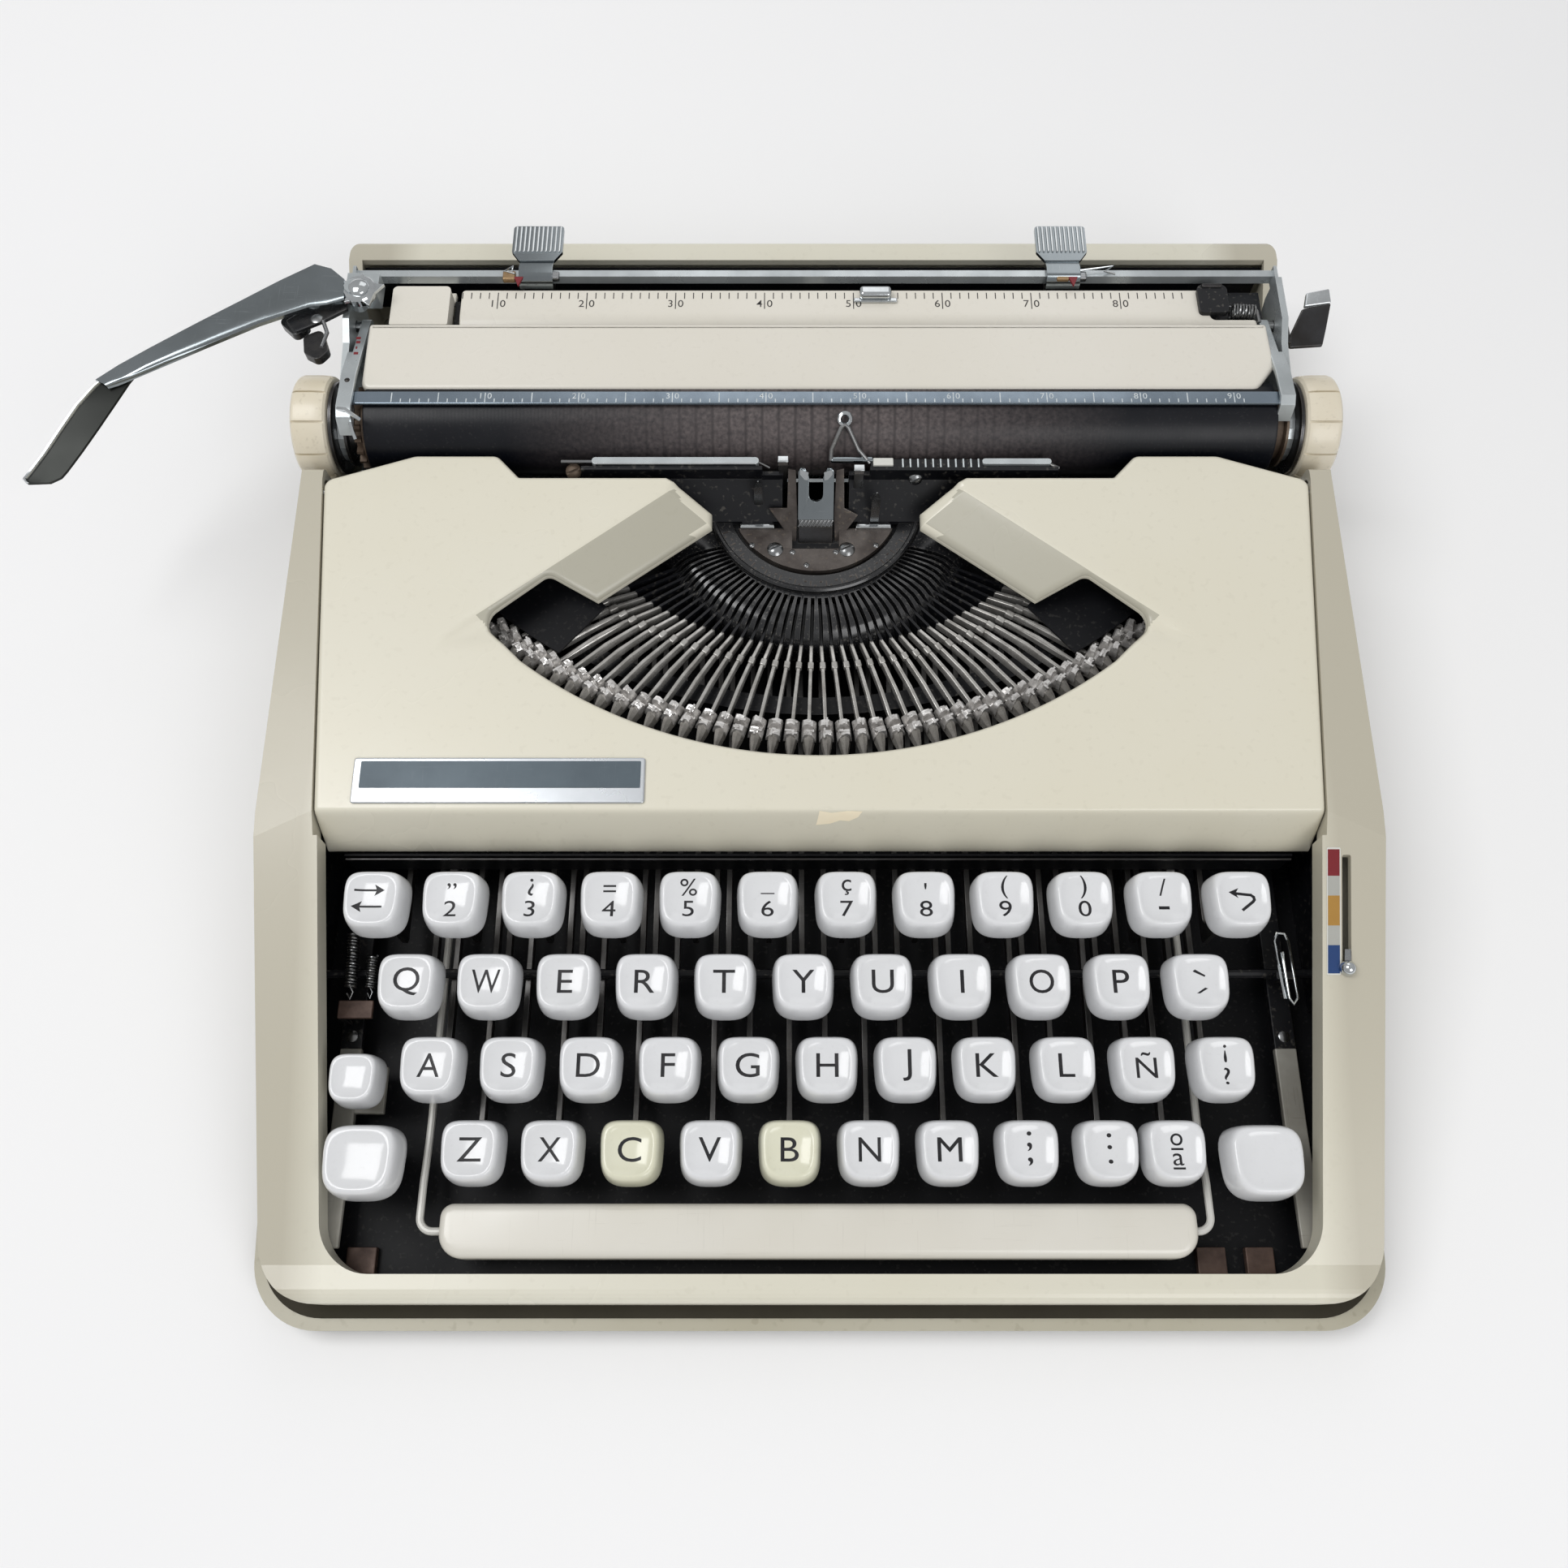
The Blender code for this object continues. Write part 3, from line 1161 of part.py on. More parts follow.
def build_spool(side):
    """A ribbon spool on the deck, wound to its core radius between two flanges."""
    top = SPOOL_HEIGHT + SPOOL_HUB_HEIGHT
    profile = [
        (0.0, top),
        (SPOOL_HUB_RADIUS, top),
        (SPOOL_HUB_RADIUS, SPOOL_HEIGHT),
        (SPOOL_RADIUS, SPOOL_HEIGHT),
        (SPOOL_RADIUS, SPOOL_HEIGHT - SPOOL_FLANGE),
        (SPOOL_CORE_RADIUS, SPOOL_HEIGHT - SPOOL_FLANGE),
        (SPOOL_CORE_RADIUS, SPOOL_FLANGE),
        (SPOOL_RADIUS, SPOOL_FLANGE),
        (SPOOL_RADIUS, -JOIN_DEPTH),
        (0.0, -JOIN_DEPTH),
    ]
    start = (side * SPOOL_X, CREASE_Y + SPOOL_BEHIND_CREASE, DECK_Z + DECK_THICKNESS)
    return turned("ribbon_spool", profile, start, (0, 0, 1), SPOOL_SIDES)


def build_type_rest():
    """The curved pad under the type heads."""
    centre = (0.0, CREASE_Y + HEADS_BEHIND_CREASE + HEAD_ARC_RADIUS)
    bottom = math.radians(270)
    span = HEAD_ARC_HALF_ANGLE * 1.03
    radius = HEAD_ARC_RADIUS - SLUG_LENGTH * 1.6
    outer = arc(centre, radius, bottom - span, bottom + span, 16)
    inner = arc(centre, radius - REST_WIDTH, bottom + span, bottom - span, 16)
    top = CASE_TOP - HEAD_BELOW_TOP - BAR_DEPTH * 2 - SEAT_GAP
    return plate("type_rest", [outer + inner], DECK_Z - DECK_THICKNESS, top)


# Type basket
def segment_centre():
    return (0.0, CREASE_Y + SEGMENT_BEHIND_CREASE)


def segment_floor():
    return CASE_TOP - SEGMENT_BELOW_TOP


def typebar_ends(index):
    """Direction from the segment's centre to one type head, and how far away the head is."""
    share = 2 * index / (TYPEBAR_COUNT - 1) - 1
    angle = HEAD_ARC_HALF_ANGLE * share
    head_x = HEAD_ARC_RADIUS * math.sin(angle)
    head_y = CREASE_Y + HEADS_BEHIND_CREASE + HEAD_ARC_RADIUS - HEAD_ARC_RADIUS * math.cos(angle)
    offset = Vector((head_x, head_y)) - Vector(segment_centre())
    return math.atan2(offset.x, -offset.y), offset.length


def radial_frame(angle):
    """Local X runs outwards from the segment's centre, local Y is up and local Z runs sideways."""
    outward = Vector((math.sin(angle), -math.cos(angle), 0.0))
    up = Vector((0.0, 0.0, 1.0))
    turn = Matrix((outward, up, outward.cross(up))).transposed().to_4x4()
    return Matrix.Translation((*segment_centre(), 0.0)) @ turn


def radial_plate(name, outline, thickness, angle):
    body = plate(name, [outline], -thickness / 2, thickness / 2)
    body.data.transform(radial_frame(angle))
    return body


def typebar_outline(length):
    floor = segment_floor() + SEGMENT_HEIGHT
    comb_top = floor + COMB_HEIGHT
    slot_floor = comb_top - SLOT_DEPTH
    head_z = CASE_TOP - HEAD_BELOW_TOP
    root = SEGMENT_INNER_RADIUS + TYPEBAR_THICKNESS * 2
    elbow = SEGMENT_OUTER_RADIUS + BAR_DEPTH
    return [
        (root, slot_floor - JOIN_DEPTH),
        (SEGMENT_OUTER_RADIUS - BAR_DEPTH, slot_floor - JOIN_DEPTH),
        (elbow, comb_top - BAR_DEPTH),
        (length, head_z - BAR_DEPTH * 2),
        (length, head_z),
        (root, comb_top + BAR_DEPTH / 2),
    ]


def build_basket():
    centre = segment_centre()
    floor = segment_floor()
    comb_floor = floor + SEGMENT_HEIGHT
    bottom = math.radians(270)
    low_angle = bottom - SEGMENT_HALF_ANGLE
    high_angle = bottom + SEGMENT_HALF_ANGLE
    disc = arc(centre, SEGMENT_OUTER_RADIUS + SEGMENT_RIM, low_angle, high_angle, 16)
    rear = PLATEN_Y - CARD_HOLDER_AHEAD + JOIN_DEPTH
    disc += [(disc[-1][0], rear), (disc[0][0], rear)]
    basket = plate("segment_plate", [disc], floor, comb_floor)
    directions = [bottom + typebar_ends(index)[0] for index in range(TYPEBAR_COUNT)]
    lands = [(first + second) / 2 for first, second in zip(directions, directions[1:])]
    lands = [low_angle] + lands + [high_angle]
    outer = [arc(centre, SEGMENT_OUTER_RADIUS, land, land, 1)[0] for land in lands]
    inner = [arc(centre, SEGMENT_INNER_RADIUS, land, land, 1)[0] for land in reversed(lands)]
    comb = plate("comb", [outer + inner], comb_floor - JOIN_DEPTH, comb_floor + COMB_HEIGHT)
    joined(basket, comb)
    slots = []
    bars = []
    slugs = []
    top = comb_floor + COMB_HEIGHT
    head_z = CASE_TOP - HEAD_BELOW_TOP
    for index in range(TYPEBAR_COUNT):
        angle, length = typebar_ends(index)
        slot = [
            (SEGMENT_INNER_RADIUS - SLOT_OVERRUN, top - SLOT_DEPTH),
            (SEGMENT_OUTER_RADIUS + CUT_OVERRUN, top - SLOT_DEPTH),
            (SEGMENT_OUTER_RADIUS + CUT_OVERRUN, top + CUT_OVERRUN),
            (SEGMENT_INNER_RADIUS - SLOT_OVERRUN, top + CUT_OVERRUN),
        ]
        slots.append(radial_plate("slot", slot, SLOT_WIDTH, angle))
        bars.append(radial_plate("typebar", typebar_outline(length), TYPEBAR_THICKNESS, angle))
        slug = [
            (length - SLUG_LENGTH / 2, head_z - SLUG_HEIGHT / 2),
            (length + SLUG_LENGTH / 2, head_z - SLUG_HEIGHT / 2),
            (length + SLUG_LENGTH / 2, head_z + SLUG_HEIGHT / 3),
            (length - SLUG_LENGTH / 2, head_z + SLUG_HEIGHT / 2),
        ]
        slugs.append(radial_plate("type_slug", slug, SLUG_WIDTH, angle))
    cut(basket, gathered("slots", slots))
    joined(basket, gathered("typebars", bars), gathered("type_slugs", slugs))
    joined(basket, build_type_guide(), build_card_holder())
    node("type_basket", basket, BARE_STEEL)


def build_type_guide():
    """The upright fork that each typebar's head runs into at the printing point."""
    y = segment_centre()[1] + GUIDE_BEHIND_SEGMENT
    floor = segment_floor() + SEGMENT_HEIGHT - JOIN_DEPTH
    half = GUIDE_WIDTH / 2
    notch = GUIDE_NOTCH / 2
    top = CASE_TOP - JOIN_DEPTH
    notch_floor = top - GUIDE_WIDTH
    outline = [
        (-half, floor), (half, floor), (half, top), (notch * 1.4, top), (notch, notch_floor),
        (-notch, notch_floor), (-notch * 1.4, top), (-half, top),
    ]
    return plate("type_guide", [outline], y - GUIDE_THICKNESS, y, "XZ")


def build_card_holder():
    """The thin strip in front of the platen, with a window, on two feet from the segment plate."""
    rear = PLATEN_Y - CARD_HOLDER_AHEAD
    front = rear - CARD_HOLDER_THICKNESS
    top = CASE_TOP - JOIN_DEPTH
    low = top - CARD_HOLDER_HEIGHT
    half = CARD_HOLDER_HALF_WIDTH
    strip = box("card_holder", (-half, front, low), (half, rear, top))
    window = GUIDE_WIDTH * 0.9
    sill = low + CARD_HOLDER_HEIGHT * 0.4
    opening = box(
        "holder_window",
        (-window, front - CUT_OVERRUN, sill),
        (window, rear + CUT_OVERRUN, top + CUT_OVERRUN),
    )
    cut(strip, opening)
    foot = segment_floor() + SEGMENT_HEIGHT - JOIN_DEPTH
    for side in (-1, 1):
        xs = sorted((side * GUIDE_WIDTH, side * GUIDE_WIDTH * 1.6))
        front_face = front + JOIN_DEPTH / 3
        rear_face = rear - JOIN_DEPTH / 3
        joined(strip, box("holder_foot", (xs[0], front_face, foot), (xs[1], rear_face, low + JOIN_DEPTH)))
    return strip


# Platen
def build_platen():
    left = CARRIAGE_SHIFT - PLATEN_HALF_LENGTH
    right = CARRIAGE_SHIFT + PLATEN_HALF_LENGTH
    knob_outer = KNOB_INNER_X + KNOB_WIDTH
    ratchet_left = left - RATCHET_WIDTH
    chamfer = PLATEN_CHAMFER
    profile = [
        (0.0, knob_outer - KNOB_CROWN),
        (AXLE_RADIUS, knob_outer - KNOB_CROWN),
        (AXLE_RADIUS, right),
        (PLATEN_RADIUS - chamfer, right),
        (PLATEN_RADIUS, right - chamfer),
        (PLATEN_RADIUS, left + chamfer),
        (PLATEN_RADIUS - chamfer, left),
        (AXLE_RADIUS, left),
        (AXLE_RADIUS, -knob_outer + KNOB_CROWN),
        (0.0, -knob_outer + KNOB_CROWN),
    ]
    platen = turned("platen_core", profile, (0.0, PLATEN_Y, PLATEN_Z), (1, 0, 0), PLATEN_SIDES)
    teeth = []
    for i in range(RATCHET_TEETH * 2):
        radius = RATCHET_RADIUS - (i % 2) * RATCHET_TOOTH
        angle = math.pi * i / RATCHET_TEETH
        teeth.append((PLATEN_Y + radius * math.cos(angle), PLATEN_Z + radius * math.sin(angle)))
    joined(platen, plate("ratchet", [teeth], ratchet_left, left + JOIN_DEPTH, "YZ"))
    for side in (-1, 1):
        joined(platen, build_knob(side))
    node("platen", platen, PLATEN_RUBBER, (0.0, PLATEN_Y, PLATEN_Z))


def build_knob(side):
    """A crowned knob with grooves along its rim."""
    rim = KNOB_RADIUS
    profile = [
        (0.0, KNOB_WIDTH - KNOB_CROWN * 0.4),
        (rim * 0.6, KNOB_WIDTH - KNOB_CROWN * 0.4),
        (rim * 0.72, KNOB_WIDTH),
        (rim - KNOB_CROWN / 2, KNOB_WIDTH),
        (rim, KNOB_WIDTH - KNOB_CROWN),
        (rim, KNOB_CROWN / 2),
        (rim - KNOB_CROWN / 2, 0.0),
        (0.0, 0.0),
    ]
    start = (side * KNOB_INNER_X, PLATEN_Y, PLATEN_Z)
    knob = turned("knob", profile, start, (side, 0, 0), KNOB_SIDES)
    grooves = []
    for i in range(KNOB_GROOVES):
        angle = 2 * math.pi * (i + 0.5) / KNOB_GROOVES
        xs = sorted((
            side * (KNOB_INNER_X - CUT_OVERRUN),
            side * (KNOB_INNER_X + KNOB_WIDTH + CUT_OVERRUN),
        ))
        half = KNOB_GROOVE_WIDTH / 2
        groove = box("groove", (xs[0], -half, rim - KNOB_GROOVE_DEPTH), (xs[1], half, rim * 1.2))
        turn = Matrix.Rotation(angle, 4, "X")
        groove.data.transform(Matrix.Translation((0.0, PLATEN_Y, PLATEN_Z)) @ turn)
        grooves.append(groove)
    return cut(knob, gathered("grooves", grooves))


# Carriage frame
def carriage_floor():
    """Underside of the carriage's channel, which runs on the chassis rail."""
    return PLATEN_Z - PLATEN_RADIUS


def end_plate_outline():
    """From under the axle, round it, up to the bail pivot and back to the margin rail."""
    nose = arc(
        (PLATEN_Y, PLATEN_Z), END_PLATE_RADIUS, math.radians(250), math.radians(110), 8
    )
    rear = PLATEN_Y + END_PLATE_REAR
    return nose + [
        (PLATEN_Y + BAIL_PIVOT_BEHIND - END_PLATE_RADIUS, END_PLATE_TOP - CHANNEL_LIP),
        (PLATEN_Y + BAIL_PIVOT_BEHIND - CHANNEL_LIP, END_PLATE_TOP),
        (rear, END_PLATE_TOP),
        (rear, END_PLATE_TOP - END_PLATE_RADIUS),
        (rear - CHANNEL_LIP * 2, carriage_floor()),
        (PLATEN_Y + RAIL_BEHIND_PLATEN - CHANNEL_LIP, carriage_floor()),
    ]


def circle(centre, radius, steps=14):
    return arc(centre, radius, 0.0, 2 * math.pi, steps)[:-1]


def build_carriage():
    axle = circle((PLATEN_Y, PLATEN_Z), AXLE_RADIUS + SEAT_GAP)
    bail_bore = circle((PLATEN_Y + BAIL_PIVOT_BEHIND, BAIL_PIVOT_Z), BAIL_PIN_RADIUS + SEAT_GAP, 10)
    release_bore = circle(
        (PLATEN_Y + RELEASE_PIVOT_BEHIND, release_pivot_z()), RELEASE_PIN_RADIUS + SEAT_GAP, 10
    )
    ends = []
    for side in (-1, 1):
        xs = sorted((side * END_PLATE_X, side * (END_PLATE_X + END_PLATE_THICKNESS)))
        holes = [axle, bail_bore] + ([release_bore] if side > 0 else [])
        ends.append(plate("end_plate", [end_plate_outline()] + holes, xs[0], xs[1], "YZ"))
    frame = ends[0]
    reach = END_PLATE_X + END_PLATE_THICKNESS / 2
    floor = carriage_floor()
    rail_front = PLATEN_Y + RAIL_BEHIND_PLATEN
    rail_rear = rail_front + RAIL_DEPTH
    lip = CHANNEL_LIP
    skirt = floor - CHANNEL_SKIRT
    gap = RUNNING_GAP
    channel = [
        (rail_front - gap - CHANNEL_THICKNESS, skirt),
        (rail_front - gap, skirt),
        (rail_front - gap, floor),
        (rail_rear + gap, floor),
        (rail_rear + gap, skirt),
        (rail_rear + gap + CHANNEL_THICKNESS, skirt),
        (rail_rear + gap + CHANNEL_THICKNESS, floor + CHANNEL_THICKNESS),
        (rail_front - gap - CHANNEL_THICKNESS, floor + CHANNEL_THICKNESS),
    ]
    joined(frame, plate("channel", [channel], -reach, reach, "YZ"))
    joined(frame, ends[1])
    pan_inner = PLATEN_RADIUS + PAPER_PAN_GAP
    pan_outer = pan_inner + PAPER_PAN_SHEET
    centre = (PLATEN_Y, PLATEN_Z)
    pan = arc(centre, pan_outer, PAPER_PAN_FROM, PAPER_PAN_TO, 8)
    pan += [(rail_front - gap - JOIN_DEPTH, floor + CHANNEL_THICKNESS - JOIN_DEPTH)]
    pan += [(rail_front - gap - JOIN_DEPTH, floor + CHANNEL_THICKNESS + JOIN_DEPTH)]
    pan += arc(centre, pan_inner, PAPER_PAN_TO, PAPER_PAN_FROM, 8)
    joined(frame, plate("paper_pan", [pan], -reach, reach, "YZ"))
    rail_y = PLATEN_Y + MARGIN_RAIL_BEHIND
    rear = PLATEN_Y + END_PLATE_REAR
    joined(frame, box(
        "margin_rail",
        (-reach, rail_y - MARGIN_RAIL_HALF_DEPTH, MARGIN_RAIL_Z - MARGIN_RAIL_HALF_HEIGHT),
        (reach, rail_y + MARGIN_RAIL_HALF_DEPTH, MARGIN_RAIL_Z + MARGIN_RAIL_HALF_HEIGHT),
    ))
    for side in (-1, 1):
        xs = sorted((side * END_PLATE_X, side * reach))
        ear_low = (xs[0], rear - JOIN_DEPTH, MARGIN_RAIL_Z - MARGIN_RAIL_HALF_HEIGHT)
        ear_high = (xs[1], rail_y + MARGIN_RAIL_HALF_DEPTH, END_PLATE_TOP)
        joined(frame, box("rail_ear", ear_low, ear_high))
    brace_low = floor + CHANNEL_THICKNESS - JOIN_DEPTH
    joined(frame, box(
        "rear_brace",
        (-reach, rear - REAR_BRACE_DEPTH - lip * 2, brace_low),
        (reach, rear - lip * 2, brace_low + END_PLATE_RADIUS),
    ))
    joined(frame, build_return_post())
    node("carriage_frame", frame, BARE_STEEL)


def release_pivot_z():
    return PLATEN_Z - PLATEN_CHAMFER


def return_pivot():
    return (-END_PLATE_X + RETURN_PIVOT_INSET, PLATEN_Y + LEVER_PIVOT_BEHIND)


def build_return_post():
    """The stud on the left end plate that the return lever turns on."""
    x, y = return_pivot()
    shelf_top = RETURN_LEVER_Z - SEAT_GAP
    shelf_low = SCALE_Z + RUNNING_GAP
    radius = RETURN_BOSS_RADIUS
    inner = x + radius - SEAT_GAP
    outer = -END_PLATE_X - END_PLATE_THICKNESS / 2
    front = y - RETURN_SHELF_FRONT
    shelf = box("lever_shelf", (outer, front, shelf_low), (inner, y + radius, shelf_top))
    stud_top = RETURN_LEVER_Z + RETURN_BLADE + SEAT_GAP
    stud = cylinder("lever_stud", (x, y, shelf_low), (x, y, stud_top), RETURN_POST_RADIUS, 12)
    return joined(shelf, stud)


# Paper table
def build_paper_table():
    half = END_PLATE_X - TABLE_INSET
    front = PLATEN_Y + TABLE_BEHIND
    rear = front + TABLE_DEPTH
    scale_rear = rear + SCALE_DEPTH
    sheet = TABLE_SHEET
    profile = [
        (front, TABLE_FRONT_Z - sheet / 2),
        (front + sheet, TABLE_FRONT_Z),
        (rear, TABLE_REAR_Z),
        (rear + sheet / 2, SCALE_Z),
        (scale_rear, SCALE_Z),
        (scale_rear, SCALE_Z - sheet),
        (rear - sheet, SCALE_Z - sheet),
        (rear - sheet, TABLE_REAR_Z - sheet),
        (front + sheet, TABLE_FRONT_Z - sheet),
    ]
    table = plate("paper_table", [profile], -half, half, "YZ")
    corner = TABLE_CORNER
    plan = rounded([
        (-half, front - sheet, corner),
        (half, front - sheet, corner),
        (half, rear + sheet, 0.0),
        (half - SCALE_CUT_WIDTH, rear + sheet, 0.0),
        (half - SCALE_CUT_WIDTH, scale_rear + sheet, 0.0),
        (-half, scale_rear + sheet, 0.0),
    ], 2)
    kept_inside(table, plate("table_plan", [plan], PLATEN_Z, CASE_TOP + PLATEN_Z))
    brace_front = PLATEN_Y + END_PLATE_REAR - CHANNEL_LIP * 2 - REAR_BRACE_DEPTH
    brace_top = carriage_floor() + CHANNEL_THICKNESS - JOIN_DEPTH + END_PLATE_RADIUS
    leg_rear = scale_rear - sheet
    for share in (-0.7, 0.0, 0.7):
        x = half * share
        low_corner = (x - TABLE_BRACKET_WIDTH / 2, brace_front, brace_top + SEAT_GAP)
        high_corner = (x + TABLE_BRACKET_WIDTH / 2, leg_rear, SCALE_Z - sheet / 2)
        joined(table, box("table_leg", low_corner, high_corner))
    node("paper_table", table, TABLE_PAINT)


# Paper bail
def build_bail():
    pivot_y = PLATEN_Y + BAIL_PIVOT_BEHIND
    bar_y = PLATEN_Y + BAIL_BEHIND
    bar_z = PLATEN_Z + PLATEN_RADIUS + BAIL_ABOVE_PLATEN
    arm_outer = END_PLATE_X - SEAT_GAP
    arm_inner = arm_outer - BAIL_ARM_THICKNESS
    half_height = BAIL_ARM_HEIGHT / 2
    bail = box(
        "bail_bar",
        (-arm_outer + JOIN_DEPTH, bar_y - BAIL_WIDTH / 2, bar_z),
        (arm_outer - JOIN_DEPTH, bar_y + BAIL_WIDTH / 2, bar_z + BAIL_THICKNESS),
    )
    eye = arc((pivot_y, BAIL_PIVOT_Z), half_height, math.radians(-105), math.radians(75), 6)
    front = bar_y - BAIL_WIDTH / 2
    outline = [(front, bar_z - BAIL_THICKNESS)] + eye + [
        (bar_y + BAIL_WIDTH, bar_z + BAIL_THICKNESS * 2),
        (front, bar_z + BAIL_THICKNESS * 1.5),
    ]
    for side in (-1, 1):
        xs = sorted((side * arm_inner, side * arm_outer))
        joined(bail, plate("bail_arm", [outline], xs[0], xs[1], "YZ"))
        pin_start = (side * (arm_inner + JOIN_DEPTH / 2), pivot_y, BAIL_PIVOT_Z)
        pin_end = (side * (END_PLATE_X + END_PLATE_THICKNESS), pivot_y, BAIL_PIVOT_Z)
        joined(bail, cylinder("bail_pin", pin_start, pin_end, BAIL_PIN_RADIUS, 10))
    node("paper_bail", bail, CHROME, (0.0, pivot_y, BAIL_PIVOT_Z))


# Return lever
def build_return_lever():
    x, y = return_pivot()
    low = RETURN_LEVER_Z
    high = low + RETURN_BLADE
    outline = [(x - out * RETURN_REACH, y + back * RETURN_REACH) for out, back in RETURN_BLADE_SHARES]
    blade = plate("return_blade", [outline], low, high)
    boss = circle((x, y), RETURN_BOSS_RADIUS, 16)
    joined(blade, plate("return_boss", [boss], low, high))
    bend = Vector((x - 0.95 * RETURN_REACH, y - 0.44 * RETURN_REACH))
    along = Vector((math.cos(RETURN_PAD_HEADING), math.sin(RETURN_PAD_HEADING)))
    across = Vector((-along.y, along.x)) * RETURN_PAD_WIDTH / 2
    tip = bend + along * RETURN_PAD_LENGTH
    tip_z = low - RETURN_PAD_DROP
    start = bend - along * RETURN_BLADE
    widest = tip - along * 4 * RETURN_BLADE
    corners = []
    for place, z, share in ((start, low, 0.7), (widest, tip_z, 1.0), (tip, tip_z, 0.5)):
        for sign in (-1, 1):
            edge = place + across * sign * share
            tilt = RETURN_BLADE * sign * 0.8
            corners.append((*edge, z - tilt))
            corners.append((*edge, z - tilt + RETURN_BLADE))
    joined(blade, hull("thumb_pad", corners))
    hole = circle((x, y), RETURN_POST_RADIUS + SEAT_GAP, 12)
    cut(blade, plate("lever_bore", [hole], low - CUT_OVERRUN, high + CUT_OVERRUN))
    node("return_lever", blade, CHROME, (x, y, low))


# Margin stops
def build_margin_stop(name, x):
    rail_y = PLATEN_Y + MARGIN_RAIL_BEHIND
    gap = RUNNING_GAP
    sheet = STOP_SHEET
    inner_y = MARGIN_RAIL_HALF_DEPTH + gap
    inner_z = MARGIN_RAIL_HALF_HEIGHT + gap
    clip = [
        (rail_y - inner_y, MARGIN_RAIL_Z - inner_z),
        (rail_y - inner_y, MARGIN_RAIL_Z + inner_z),
        (rail_y + inner_y, MARGIN_RAIL_Z + inner_z),
        (rail_y + inner_y, MARGIN_RAIL_Z - inner_z),
        (rail_y + inner_y + sheet, MARGIN_RAIL_Z - inner_z),
        (rail_y + inner_y + sheet, MARGIN_RAIL_Z + inner_z + sheet),
        (rail_y - inner_y - sheet, MARGIN_RAIL_Z + inner_z + sheet),
        (rail_y - inner_y - sheet, MARGIN_RAIL_Z - inner_z),
    ]
    half = STOP_BODY_WIDTH / 2
    stop = plate("stop_clip", [clip], x - half, x + half, "YZ")
    tab_front = rail_y + inner_y
    tab_top = MARGIN_RAIL_Z + inner_z + sheet
    tab_rear = tab_front + STOP_TAB_LENGTH
    tab_half = STOP_TAB_WIDTH / 2
    tab = box("stop_tab", (x - tab_half, tab_front, tab_top - sheet), (x + tab_half, tab_rear, tab_top))
    joined(stop, tab)
    for i in range(STOP_RIBS):
        rib_x = x + tab_half * (2 * (i + 1) / (STOP_RIBS + 1) - 1)
        start = (rib_x, tab_front + STOP_TAB_LENGTH / 3, tab_top)
        joined(stop, cylinder("stop_rib", start, (rib_x, tab_rear, tab_top), STOP_RIB_RADIUS, 6))
    node(name, stop, CHROME)


# Carriage release lever
def build_release():
    pivot_y = PLATEN_Y + RELEASE_PIVOT_BEHIND
    pivot_z = release_pivot_z()
    inner = END_PLATE_X + END_PLATE_THICKNESS + RUNNING_GAP
    outer = inner + RELEASE_ARM_THICKNESS
    half = RELEASE_ARM_WIDTH / 2
    top = RELEASE_Z
    outline = [
        (pivot_y - half, pivot_z - half),
        (pivot_y + half, pivot_z - half),
        (pivot_y + half * 3, top),
        (pivot_y - half / 2, top),
    ]
    arm = plate("release_arm", [outline], inner, outer, "YZ")
    tab = hull("release_tab", [
        (inner + JOIN_DEPTH, pivot_y, top - half),
        (inner + JOIN_DEPTH, pivot_y + half * 2, top - half),
        (inner + JOIN_DEPTH, pivot_y, top),
        (inner + JOIN_DEPTH, pivot_y + half * 2, top),
        (outer + RELEASE_TAB_WIDTH, pivot_y - half, top),
        (outer + RELEASE_TAB_WIDTH, pivot_y + RELEASE_TAB_LENGTH - half, top + half),
        (outer + half, pivot_y + RELEASE_TAB_LENGTH, top + half),
        (outer + RELEASE_TAB_WIDTH, pivot_y - half, top - RELEASE_ARM_THICKNESS),
        (outer + half, pivot_y + RELEASE_TAB_LENGTH, top + half - RELEASE_ARM_THICKNESS),
    ])
    joined(arm, tab)
    pin_start = (END_PLATE_X - RUNNING_GAP, pivot_y, pivot_z)
    pin_end = (outer - JOIN_DEPTH / 2, pivot_y, pivot_z)
    joined(arm, cylinder("release_pin", pin_start, pin_end, RELEASE_PIN_RADIUS, 10))
    node("carriage_release_lever", arm, CHROME, (0.0, pivot_y, pivot_z))


# Colour selector
def rail_slope():
    """Unit direction up the sloping side rail, along the well's edge."""
    run = CREASE_Y - WELL_FRONT - COVER_SHEET
    return Vector((WELL_TAPER * run, run, CREASE_Z - FRONT_BAR_TOP)).normalized()


def selector_ends():
    """Places of the selector's stem at the front and rear of its slot, on the rail's surface."""
    up = rail_slope()
    rear = Vector((CASE_HALF_WIDTH - SELECTOR_FROM_EDGE, CREASE_Y, CREASE_Z))
    rear -= up * SELECTOR_AHEAD
    front = rear - up * SELECTOR_TRAVEL
    return front, rear


